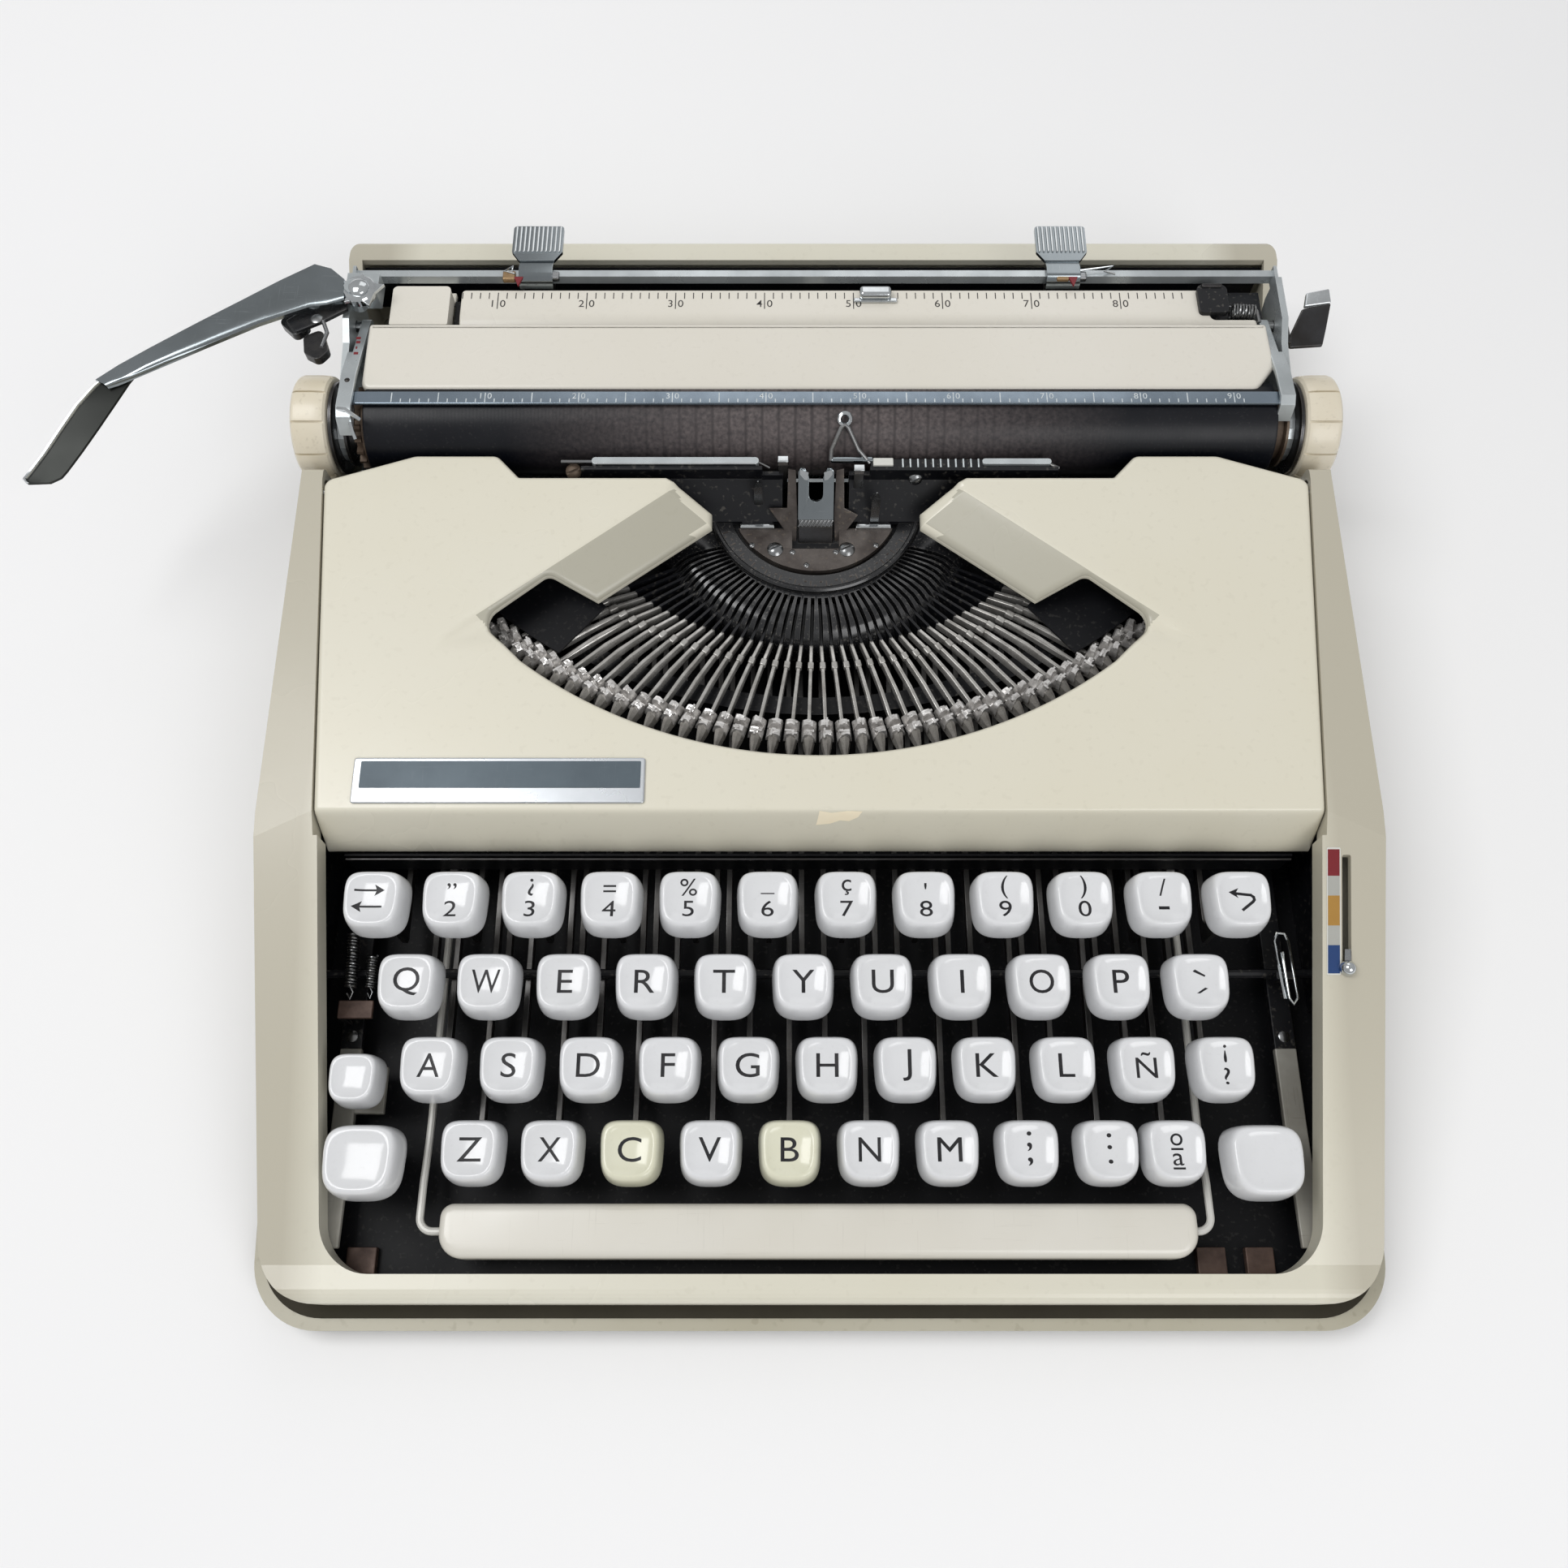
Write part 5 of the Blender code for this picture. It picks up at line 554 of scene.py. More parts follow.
paleEnamel = finish("paleEnamel", (214, 214, 208), (196, 196, 188), 0.35, scale=120, amount=0.5)
greyEnamel = finish("greyEnamel", (170, 170, 164), (158, 158, 150), 0.35, scale=120, amount=0.5)
plateSilver = finish("plateSilver", (206, 210, 214), (180, 184, 188), 0.28, metallic=0.8, scale=50, amount=0.5,
                     scratch=(130, 0.2, (150, 150, 150), 0.05))
plateDark = finish("plateDark", (82, 94, 102), (66, 76, 84), 0.36, metallic=0.3, scale=60, amount=0.5,
                   scratch=(130, 0.15, (130, 138, 144), 0.05))


# Lays one more colour over a finish's own
def tinted(tree, mask, colour):
    shade = tree.nodes["Principled BSDF"].inputs["Base Color"]
    tree.links.new(mixColour(tree, mask, shade.links[0].from_socket, linear(*colour)), shade)


# A point's place along the machine, and its distance from the middle
def acrossMachine(tree, where):
    x = addNode(tree, "ShaderNodeSeparateXYZ", {"Vector": where}).outputs["X"]
    return x, maths(tree, "ABSOLUTE", maths(tree, "SUBTRACT", x, toWorld.translation.x))


# The case's paint, darker over the side rails and flanks as painted shade
housingPaint = finish("housingPaint", (219, 216, 201), (211, 206, 185), 0.3, scale=9, amount=0.5,
                      grain=(650, 0.05), dust=(520, 0.10, (150, 140, 118)), coat=0.15)
tree = housingPaint.node_tree
# painted shade: from 117.5 to 127.5 mm out from the middle the paint darkens towards (178, 172, 155)
tinted(tree, remap(tree, acrossMachine(tree, objectPlace(tree))[1], 0.1175, 0.1275, 0, 0.8), (178, 172, 155))


# Hard rubber: turned rings, the marks that the type has left across its middle, and a painted highlight lightening that
# middle
def platenMaterial():
    made = finish("platenRubber", (9, 11, 18), (19, 21, 27), 0.4, scale=30, amount=0.6, spread=0.14,
                  specular=0.3, dust=(1300, 0.12, (100, 97, 94)))
    tree = made.node_tree
    where = objectPlace(tree)
    x, distance = acrossMachine(tree, where)
    # one upright mark for each typed column, strongest in the middle of the roller
    line = remap(tree, maths(tree, "PINGPONG", maths(tree, "MULTIPLY", x, 1000 / 2.25), 1), 0.72, 1)
    middle = remap(tree, distance, 0.085, 0.02)
    ragged = noise(tree, where, 900, 2)
    marks = maths(tree, "MULTIPLY", maths(tree, "MULTIPLY", line, middle), ragged)
    # a lighter ragged tint across the roller's middle: a painted highlight
    tinted(tree, maths(tree, "MULTIPLY", remap(tree, middle, 0, 1, 0, 0.62), ragged), (146, 134, 132))
    tinted(tree, marks, (16, 15, 19))
    rings = addNode(tree, "ShaderNodeTexWave", {"Vector": where, "Scale": 320, "Distortion": 0.6}, bands_direction="X")
    bumped(tree, tree.nodes["Principled BSDF"], rings.outputs["Fac"], 0.05)
    return made


platenRubber = platenMaterial()
print("finishes ready")


# Camera, lights and floor
stageSizes = {
    "cameraPlace": (-8.75, -1.92, 363.6), "cameraTilt": 22, "lens": 31.57,
    "floorColour": (246, 246, 246), "floorReach": 6000,
    "skyUp": 0.5, "skySide": 0.44, "keyPower": 6.6, "fillPower": 3.1, "rimPower": 0.7,
}


def buildStage(s):
    camera = bpy.data.objects.new("camera", bpy.data.cameras.new("camera"))
    scene.collection.objects.link(camera)
    camera.location = toWorld @ Vector(s["cameraPlace"])
    camera.rotation_euler = (math.radians(s["cameraTilt"]), 0, 0)
    camera.data.lens = s["lens"]
    camera.data.sensor_width = 36
    camera.data.clip_start = 0.01
    scene.camera = camera

    lamps = (("keyLamp", (-620, 250, 1180), 640, s["keyPower"]), ("fillLamp", (440, -560, 720), 560, s["fillPower"]),
             ("rearLamp", (60, 900, 620), 520, s["rimPower"]))
    for name, place, size, power in lamps:
        lamp = bpy.data.objects.new(name, bpy.data.lights.new(name, "AREA"))
        scene.collection.objects.link(lamp)
        lamp.location = toWorld @ Vector(place)
        lamp.data.size = size * 0.001
        lamp.data.energy = power
        aim = toWorld @ Vector((0, 150, 30)) - lamp.location
        lamp.rotation_euler = aim.to_track_quat("-Z", "Y").to_euler()

    bm = bmesh.new()
    bmesh.ops.create_grid(bm, x_segments=1, y_segments=1, size=s["floorReach"] * 0.001)
    mesh = bpy.data.meshes.new("floor")
    bm.to_mesh(mesh)
    bm.free()
    floor = newObject("floor", mesh)
    paper = bpy.data.materials.new("floorPaper")
    paper.use_nodes = True
    tree = paper.node_tree
    shader = tree.nodes["Principled BSDF"]
    drift = noise(tree, objectPlace(tree), 3)
    tree.links.new(mixColour(tree, drift, linear(*s["floorColour"]), linear(243, 243, 244)),
        shader.inputs["Base Color"])
    shader.inputs["Roughness"].default_value = 0.9
    shader.inputs["Specular IOR Level"].default_value = 0.1
    mesh.materials.append(paper)

    world = bpy.data.worlds.new("studio")
    scene.world = world
    world.use_nodes = True
    tree = world.node_tree
    back = tree.nodes["Background"]
    where = addNode(tree, "ShaderNodeTexCoord")
    parts = addNode(tree, "ShaderNodeSeparateXYZ", {"Vector": where.outputs["Generated"]})
    rise = remap(tree, parts.outputs["Z"], 0, 1)
    side, up = s["skySide"], s["skyUp"]
    shade = mixColour(tree, rise, (side, side, side * 1.01, 1), (up, up, up, 1))
    # seen straight on, the sky is as pale as the floor
    path = addNode(tree, "ShaderNodeLightPath")
    shade = mixColour(tree, path.outputs["Is Camera Ray"], shade, (0.88, 0.88, 0.885, 1))
    tree.links.new(shade, back.inputs["Color"])
    back.inputs["Strength"].default_value = 1


buildStage(stageSizes)
print("stage set")


# The case: base pan, housing with its key well, and the cover over the type basket
caseSizes = {
    "wall": 2, "edge": 3.2, "well": 12, "wellEdge": 0.8, "seamGap": 0.32, "railFall": 0.10,
    "caseTaper": 0.062, "wellTaper": 0.05, "baseLip": 5.2, "baseLow": 3, "baseTop": 8, "baseFloor": 5, "baseLedge": 10,
    "stepY": 219.3, "stepZ": 27.5, "rearTop": 39.4, "rearDepth": 7.6, "sideRim": 4,
    "footInset": 28, "footRadius": 8,
    "slotX": 129.7, "slotWidth": 2.2, "slotFront": 80.1, "slotRear": 108.3,
}


def topAt(y):
    m = machine
    return m["creaseZ"] + (m["caseTop"] - m["creaseZ"]) * (y - m["creaseY"]) / (m["coverRear"] - m["creaseY"])


def railAt(y):
    m, start = machine, 14.4
    return m["frontBarTop"] + (m["creaseZ"] - m["frontBarTop"]) * (y - start) / (m["creaseY"] - start)


def wellSide(y):
    return machine["wellHalf"] - caseSizes["wellTaper"] * (machine["creaseY"] - y)


def coverSide(y):
    share = (y - machine["creaseY"]) / (machine["coverCorner"] - machine["creaseY"])
    return 124.8 + (133.1 - 124.8) * share


def caseSide(inset, m, s):
    edge = s["edge"]
    return rounded([
        (m["caseFront"] + inset, m["caseBottom"] - inset, 0),
        (m["caseFront"] + inset, m["frontBarTop"] - inset, edge),
        (14.4, m["frontBarTop"] - inset, 0),
        (m["creaseY"], m["creaseZ"] - inset, 0),
        (s["stepY"] - 2 - inset, m["caseTop"] - inset, 2.2),
        (s["stepY"] - inset, s["stepZ"] - inset, 0),
        (m["caseRear"] - s["rearDepth"] * 4, s["stepZ"] - inset, 0),
        (m["caseRear"] - s["rearDepth"], s["rearTop"] - inset, 0),
        (m["caseRear"] - inset, s["rearTop"] - inset, 2.2),
        (m["caseRear"] - inset, m["caseBottom"] - inset, 0),
    ], 5)


def weightedBevel(obj, width, segments, chosen):
    bm = bmesh.new()
    bm.from_mesh(obj.data)
    layer = bm.edges.layers.float.new("bevel_weight_edge")
    for edge in bm.edges:
        if len(edge.link_faces) == 2 and chosen(edge):
            edge[layer] = 1
    bm.to_mesh(obj.data)
    bm.free()
    step = obj.modifiers.new("softEdges", "BEVEL")
    step.width = width
    step.segments = segments
    step.limit_method = "WEIGHT"
    return plain(obj)


def railWedge(side, s):
    rings = []
    for height in (0, 60):
        ring = []
        for x, y in ((coverSide(60) - 4, 60), (160, 60), (160, 240), (coverSide(240) - 4, 240)):
            fall = s["railFall"] * (x - coverSide(y))
            ring.append((side * x, y, (topAt(y) - fall) + height))
        rings.append(ring)
    return lofted("railWedge", rings, casePaint)


def buildHousing(m, s):
    half = m["caseHalf"]
    shell = plate("housing", [caseSide(0, m, s)], -half, half, plane="YZ")
    plan = tapered(half, s["caseTaper"], m["caseFront"], m["caseRear"], 14, 5, 12)
    shell = cut(shell, plate("plan", [plan], 0, 60), operation="INTERSECT")
    shell = cut(shell, railWedge(-1, s), railWedge(1, s))
    shell = bevelled(shell, s["edge"], 6, 50)
    shell = weightedBevel(shell, 0.9, 3, lambda edge: 0.09 < edge.calc_face_angle(0) < 0.32
                          and min(face.calc_area() for face in edge.link_faces) > 120)
    wall = s["wall"]
    inner = half - wall
    hollow = plate("hollow", [caseSide(wall, m, s)], -inner, inner, plane="YZ")
    plan = tapered(inner, s["caseTaper"], m["caseFront"] + wall, m["caseRear"] - wall, 14 - wall, 3, 8)
    hollow = cut(hollow, plate("plan", [plan], 0, 60), operation="INTERSECT")
    grown = tapered(m["wellHalf"] + wall, s["wellTaper"], m["wellFront"] - wall, m["creaseY"] + wall, s["well"] + wall,
        0, 10)
    lip = plate("lip", [grown], 0, 60)
    depth = [(m["caseFront"], 13), (14.4, 13), (m["creaseY"], m["creaseZ"] - 7), (m["creaseY"] + 5, m["creaseZ"] - 7),
             (m["creaseY"] + 5, 62), (0, 62), (0, 13)]
    lip = cut(lip, plate("lipDepth", [depth], -half, half, plane="YZ"), operation="INTERSECT")
    shell = cut(shell, cut(hollow, lip))
    low = m["caseBottom"] + wall
    well = tapered(m["wellHalf"], s["wellTaper"], m["wellFront"], m["creaseY"], s["well"], 0, 14)
    gap = s["seamGap"]
    corner = m["coverCorner"]
    right = [(coverSide(m["coverFront"]) + gap, m["coverFront"]), (coverSide(corner) + gap, corner),
        (coverSide(corner) + gap, m["platenY"])]
    bay = right + [(-x, y) for x, y in reversed(right)]
    rear = m["caseRear"] - s["rearDepth"]
    carriageBay = rectangle(-half + s["sideRim"], half - s["sideRim"], s["stepY"], rear)
    shell = cut(shell, plate("wellCut", [well], low, 70))
    shell = cut(shell, plate("bayCut", [bay], low, 70))
    shell = cut(shell, plate("carriageCut", [carriageBay], low, 70))
    wide = s["slotWidth"] / 2
    slot = [(x + s["slotX"] - s["wellTaper"] * (m["creaseY"] - y), y) for x,
        y in rectangle(-wide, wide, s["slotFront"], s["slotRear"], 0.5, 0.5, 3)]
    shell = cut(shell, plate("slotCut", [slot], low, 70))

    def rim(edge):
        for corner in edge.verts:
            x, y, z = corner.co
            onWell = abs(x) < wellSide(y) + 0.3 and 12 < y < m["creaseY"] - 3 and z > railAt(y) - 1
            onSeam = abs(abs(x) - coverSide(y) - gap) < 0.15 and y > m["creaseY"] - 5 and z > topAt(y) - 4
            if not (onWell or onSeam):
                return False
        return 0.5 < edge.calc_face_angle(0) < 2.2

    shell = weightedBevel(shell, s["wellEdge"], 3, rim)
    painted(shell, housingPaint)
    bosses = []
    hingeY, hingeZ = 210.4, 48.4
    for side in (-1, 1):
        seam = coverSide(hingeY + 3.4) + gap
        xs = sorted((side * seam, side * (half - 1)))
        bosses.append(box("hingeBoss", (xs[0], hingeY - 3.4, hingeZ - 3.4), (xs[1], hingeY + 3.4, hingeZ + 0.4),
            casePaint, 0.4))
    settle("housing", [shell] + bosses, "case", ["upper_housing"], 28)


def buildBase(m, s):
    half = m["caseHalf"] + s["baseLip"]
    rear = m["caseRear"] + 1
    pan = plate("basePan", [tapered(half, s["caseTaper"], 0, rear, 17, 7, 14)], s["baseLow"], s["baseTop"])
    pan = bevelled(pan, 1.7, 5, 50)
    ledge = s["baseLedge"]
    pocket = tapered(half - ledge, s["caseTaper"], ledge, rear - ledge, 12, 3.5, 8)
    pan = painted(cut(pan, plate("pocket", [pocket], s["baseFloor"], 20)), basePaint)
    shapes = [pan]
    blackSheet = tapered(half - ledge - 0.2, s["caseTaper"], ledge + 0.2, rear - ledge - 0.2, 11.8, 3.3, 8)
    shapes.append(plate("floorLiner", [blackSheet], s["baseFloor"], s["baseFloor"] + 0.15, wellBlack))
    # dark strip painted as the shadow between the case and the pan's lip
    outer = tapered(m["caseHalf"] + 3, s["caseTaper"], m["caseFront"] - 3, m["caseRear"] + 0.5, 16, 6, 14)
    inner = tapered(m["caseHalf"] - 1.5, s["caseTaper"], m["caseFront"] + 1.5, m["caseRear"] - 1.5, 12.5, 3.5, 14)
    shapes.append(plate("seamGroove", [outer, inner], s["baseTop"] - 0.6, s["baseTop"] + 0.22, seamShadow))
    radius = s["footRadius"]
    for x in (-half + s["footInset"], half - s["footInset"]):
        for y in (s["footInset"], rear - s["footInset"]):
            profile = [(0, 1.4), (1.6, 1.4), (1.9, 0.2), (radius - 1.2, 0), (radius - 0.3, 0.4), (radius, 1.2),
                (radius + 0.8, 3.2), (0, 3.2)]
            shapes += [
                turned("foot", profile, (x, y, 0), (0, 0, 1), footRubber, 32),
                turned("footScrew", [(0, 1.9), (1.2, 1.9), (1.7, 2.2), (1.7, 2.6), (0, 2.6)], (x, y, -0.9), (0, 0, 1),
                    bareSteel, 16),
            ]
    settle("basePan", shapes, "case", ["base_shell"])


coverSizes = {
    "thickness": 2, "roll": 1.3, "shoulderX": 109, "notchX": 86.7, "notchRun": 6.2, "hornRear": 214.4,
    "hornTopX": 40.6, "tipX": 28.4, "tipRear": 207.1, "tipFront": 203, "heel": (58.4, 180.6),
    "lobeTop": (70.9, 185.3), "lobeSide": (88, 171.6), "lobeLow": (76.5, 159.9), "openingLow": 133.9,
    "ridgeStart": (40.9, 209.4), "ridgeEnd": (88.3, 173.5), "hornFall": 0.54, "lobeStrip": 2.2, "lobeFade": 164,
        "stripWidth": 3.3, "stripFall": 0.42,
    "faceFoot": 35.5, "faceDrop": 11.8, "faceDepth": 6, "creaseSoft": 0.9, "pinY": 210.4, "pinZ": 48.4,
}


# Height of the cover's upper side: sloping top, front face, and the two sunk horn faces
def coverHeight(x, y, m, c):
    x = abs(x)
    over = topAt(y)
    face = m["creaseZ"] - (m["creaseY"] - y) * c["faceDrop"] / c["faceDepth"]
    height = 0.5 * (over + face - math.sqrt((over - face) ** 2 + c["creaseSoft"] ** 2))
    start, end = Vector(c["ridgeStart"]), Vector(c["ridgeEnd"])
    along = (end - start).normalized()
    inward = Vector((along.y, -along.x))
    here = Vector((x, y)) - start
    beyond = here.dot(inward)
    if y > 150 and x < 95:
        if here.dot(along) > 41:
            beyond = min(beyond, c["lobeStrip"])
        drop = c["hornFall"] * 0.5 * (beyond + math.sqrt(beyond ** 2 + 0.5))
        height -= drop * min(1, max(0, (y - c["lobeFade"]) / 5))
        first, second = Vector((c["hornTopX"], c["hornRear"])), Vector((c["tipX"], c["tipRear"]))
        edge = (second - first).normalized()
        outward = Vector((edge.y, -edge.x))
        inside = -(Vector((x, y)) - first).dot(outward)
        if beyond > -1.5 and here.dot(along) < 16:
            height -= c["stripFall"] * max(0, c["stripWidth"] - inside) * min(1, max(0, (beyond + 1.5) / 1.5))
    return height


def buildCover(m, c):
    low = c["openingLow"]
    half, rise = c["lobeLow"][0], c["lobeLow"][1] - low
    radius = (half ** 2 + rise ** 2) / (2 * rise)
    span = math.asin(half / radius)
    bottom = math.radians(270)
    opening = arc((0, low + radius), radius, bottom + span, bottom - span, 48)
    corner, rear = m["coverCorner"], m["coverRear"]
    right = rounded([
        (coverSide(m["coverFront"]), m["coverFront"], 0),
        (coverSide(corner), corner, 3),
        (c["shoulderX"], rear, 6),
        (c["notchX"], rear, 3),
        (c["notchX"] - c["notchRun"], c["hornRear"], 1),
        (c["hornTopX"], c["hornRear"], 0),
        (c["tipX"], c["tipRear"], 0),
        (c["tipX"], c["tipFront"], 0),
        (*c["heel"], 0),
        (*c["lobeTop"], 3),
        (*c["lobeSide"], 4.5),
        (*opening[0], 0),
    ], 6)
    plan = right + opening[1:-1] + [(-x, y) for x, y in reversed(right)]
    bm = rolledPlate(plan, c["thickness"], c["roll"])
    sliced(bm, [(0, y, 0) for y in (113.6, 114.4, 115.4, 116.6, 117.6, 118.2, 118.6, 119, 119.4, 119.9, 120.8, 122, 128,
        150, 162, 164, 165.5, 167, 169, 171, 200, 208)])
    start, end = Vector(c["ridgeStart"]), Vector(c["ridgeEnd"])
    along = (end - start).normalized()
    first, second = Vector((c["hornTopX"], c["hornRear"])), Vector((c["tipX"], c["tipRear"]))
    edge = (second - first).normalized()
    inward, outward = Vector((along.y, -along.x)), Vector((edge.y, -edge.x))
    for side in (-1, 1):
        places = [start + inward * offset for offset in (-2.4, -1.5, -1, -0.6, -0.3, 0, 0.3, 0.6, 1, 1.6, 3)]
        sliced(bm, [(side * place.x, place.y, 0) for place in places], (side * inward.x, inward.y, 0),
            lambda co: co.x * side > -1e-6)
        places = [first - outward * offset for offset in (c["stripWidth"], c["stripWidth"] + 0.3)]
        sliced(bm, [(side * place.x, place.y, 0) for place in places], (side * outward.x, outward.y, 0),
               lambda co: co.x * side > -1e-6 and abs(co.x) < 62 and co.y > 170)
    for v in bm.verts:
        v.co.z += coverHeight(v.co.x, v.co.y, m, c)
    sheet = painted(shapeFrom("cover", bm), casePaint)
    # the sunk horn faces take the darker copy of the paint, as painted shade
    sheet.data.materials.append(hornPaint)
    for face in sheet.data.polygons:
        here = Vector((abs(face.center.x), face.center.y)) - start
        if -3 < here.dot(along) < 60 and here.dot(inward) > 0.25 and face.center.y > 165 and face.normal.z > 0.3:
            face.material_index = 1
    shapes = [sheet]
    for side in (-1, 1):
        seam = coverSide(c["pinY"])
        profile = [(0, 0), (0.75, 0), (0.8, 0.3), (0.8, 6), (0.6, 6.3), (0, 6.3)]
        shapes.append(turned("hingePin", profile, (side * (seam - 3.4), c["pinY"], c["pinZ"]), (side, 0, 0), bareSteel,
            20))
        xs = sorted((side * (seam - 3.4), side * (seam - 0.9)))
        shapes.append(box("hingeEar", (xs[0], c["pinY"] - 2.2, c["pinZ"] - 2), (xs[1], c["pinY"] + 2.2, c["pinZ"] + 1),
            casePaint, 0.3))
    # felt strip that the cover's front face closes on
    shapes.append(box("coverFelt", (-122.5, m["coverFront"] + 0.9, c["faceFoot"] - 2.2),
        (122.5, m["coverFront"] + 2.4, c["faceFoot"] + 1.4), footRubber, 0.3))
    settle("cover", shapes, "cover_body", ["ribbon_cover"], 26)


plateSizes = {"left": -115.8, "right": -43.2, "front": 120.6, "rear": 132.6, "corner": 0.8, "thickness": 0.55,
              "border": 1.4, "lowerBand": 3.9, "stand": 0.06}


# The name plate, left bare: a bright frame round a dark band, over a plain lower band
def buildNamePlate(p):
    def on(shape, lift):
        return reshaped(shape, lambda x, y, z: (x, y, z + (topAt(y) + lift)))

    outline = rectangle(p["left"], p["right"], p["front"], p["rear"], p["corner"], p["corner"], 5)
    blank = painted(shapeFrom("plateBlank", rolledPlate(outline, p["thickness"], 0.3, 3)), plateSilver)
    border, top = p["border"], 0.03
    band = rectangle(p["left"] + border * 1.3, p["right"] - border * 0.8, p["front"] + p["lowerBand"],
        p["rear"] - border * 0.7, 0.3, 0.3, 3)
    dark = plate("plateBand", [band], 0, top, plateDark)
    lift = p["thickness"] + p["stand"]
    settle("namePlate", [on(blank, lift), on(dark, lift)], "cover_body")


labelSizes = {"fromWell": 1, "width": 3.4, "front": 80, "rear": 110, "thickness": 0.12, "margin": 0.25}


# The four ribbon positions: red, clear, gold, clear and blue on a pale strip
def buildColourLabel(s):
    def on(shape):
        return reshaped(shape, lambda x, y, z: (x + (wellSide(y) + s["fromWell"]), y, z + (railAt(y) + 0.02)))

    shapes = [on(plate("labelStrip", [rectangle(0, s["width"], s["front"], s["rear"], 0.3, 0.3, 3)], 0, s["thickness"],
        paleEnamel))]
    long = s["rear"] - s["front"]
    for first, last, finish in ((0.012, 0.232, blueEnamel), (0.232, 0.385, greyEnamel), (0.385, 0.62, goldEnamel),
                                (0.62, 0.775, greyEnamel), (0.775, 0.985, redEnamel)):
        band = rectangle(s["margin"], s["width"] - s["margin"], s["front"] + long * first, s["front"] + long * last)
        shapes.append(on(plate("labelBand", [band], s["thickness"], s["thickness"] + 0.03, finish)))
    settle("ribbonLabel", shapes, "case")


buildBase(machine, caseSizes)
buildHousing(machine, caseSizes)
buildCover(machine, coverSizes)
buildNamePlate(plateSizes)
buildColourLabel(labelSizes)
print("case ready")


# Keys: a dished cap with its legend on a steel lever that hooks over the shaft
keySizes = {
    "pitch": 19, "rowPitch": 18.8, "rowRise": 6.23, "frontRow": 39.7, "frontTop": 29.5,
    "starts": (-4.389, -4.916, -5.216, -5.668), "ordinal": 4.453,
    "width": 15, "depth": 15.4, "height": 8.5, "dish": 1, "taper": 0.055, "points": 48,
    "frontPower": 3, "rearPower": 4.2, "dishPower": 3.1, "dishShare": 0.75,
    "capital": 6, "digit": 4.2, "wide": 1.22, "letterWidth": 5.3, "lift": 0.025,
    "lever": 1.4, "leverDepth": 3.2, "stem": 4, "hookRadius": 2.35, "hookWall": 2.2, "hookLeg": 2.6,
}

capSections = ((0.985, 1), (1, 0.94), (0.995, 0.78), (0.978, 0.55), (0.953, 0.34), (0.922, 0.185), (0.893, 0.095),
    (0.862, 0.042),
               (0.83, 0.013), (0.8, 0.001), (0.775, 0))

rows = (
    ("key_z", "key_x", "key_c", "key_v", "key_b", "key_n", "key_m", "key_comma", "key_period"),
    ("key_a", "key_s", "key_d", "key_f", "key_g", "key_h", "key_j", "key_k", "key_l", "key_n_tilde", "key_question"),
    ("key_q", "key_w", "key_e", "key_r", "key_t", "key_y", "key_u", "key_i", "key_o", "key_p", "key_accent"),
    ("margin_release_key", "key_2", "key_3", "key_4", "key_5", "key_6", "key_7", "key_8", "key_9", "key_0",
        "key_hyphen", "backspace_key"),
)
letterWidths = {"W": 6.3, "Q": 6.3, "S": 5.7, "Z": 5.7, "D": 5.6, "C": 5.6, "O": 5.9, "G": 5.9, "M": 6.3, "I": 0.9,
    "J": 4.2, "L": 4.6, "F": 4.8, "Ñ": 5.3}

# upper and lower signs of the keys that carry two
pairs = {"key_2": ("\u201d", "2"), "key_3": ("¿", "3"), "key_4": ("=", "4"), "key_5": ("%", "5"), "key_6": ("_", "6"),
    "key_7": ("ç", "7"),
         "key_8": ("'", "8"), "key_9": ("(", "9"), "key_0": (")", "0"), "key_hyphen": ("/", "-"),
             "key_comma": (";", ","),
         "key_period": (":", "."), "key_question": ("¡", "?"), "key_ordinal": ("º", "ª")}


def capHalfX(share, y, width, depth, k):
    return width / 2 * share * (1 + k["taper"] * y / (depth / 2))


def capRing(share, drop, width, depth, k):
    ring = []
    inner = min(1, max(0, (0.86 - share) / 0.1))
    for i in range(k["points"]):
        angle = 2 * math.pi * (i + 0.5) / k["points"]
        across, along = math.cos(angle), math.sin(angle)
        front = 0.5 - 0.5 * along
        power = k["rearPower"] + (k["frontPower"] - k["rearPower"]) * front
        power += (k["dishPower"] - power) * inner
        y = depth / 2 * share * math.copysign(abs(along) ** (2 / power), along)
        x = math.copysign(abs(across) ** (2 / power), across) * capHalfX(share, y, width, depth, k)
        ring.append((x, y, -drop))
    return ring


# Depth of the dish below the cap's top at a place on it
def dishDrop(x, y, width, depth, k):
    across = abs(x) / max(1e-6, capHalfX(1, y, width, depth, k))
    along = abs(y) / (depth / 2)
    share = (across ** k["dishPower"] + along ** k["dishPower"]) ** (1 / k["dishPower"])
    return k["dish"] * max(0, 1 - (share / k["dishShare"]) ** 3.2)


def keyCap(centre, top, width, depth, k, finish):
    rings = [capRing(share, drop * k["height"], width, depth, k) for share, drop in capSections]
    for share in (0.75, 0.72, 0.66, 0.56, 0.43, 0.28, 0.12):
        ring = capRing(share, 0, width, depth, k)
        rings.append([(x, y, -dishDrop(x, y, width, depth, k)) for x, y, _ in ring])
    return lofted("keyCap", [[(centre[0] + x, centre[1] + y, top + z) for x, y, z in ring] for ring in rings], finish)


def flatText(sign, size, wide, thin=0.0):
    curve = bpy.data.curves.new("sign", "FONT")
    curve.body = sign
    curve.size = size
    curve.offset = -thin
    curve.resolution_u = 5
    mesh = takenMesh(newObject("sign", curve))
    xs = [v.co.x for v in mesh.vertices]
    ys = [v.co.y for v in mesh.vertices]
    middle = ((min(xs) + max(xs)) / 2, (min(ys) + max(ys)) / 2)
    for v in mesh.vertices:
        v.co.x = (v.co.x - middle[0]) * wide
        v.co.y -= middle[1]
    return mesh


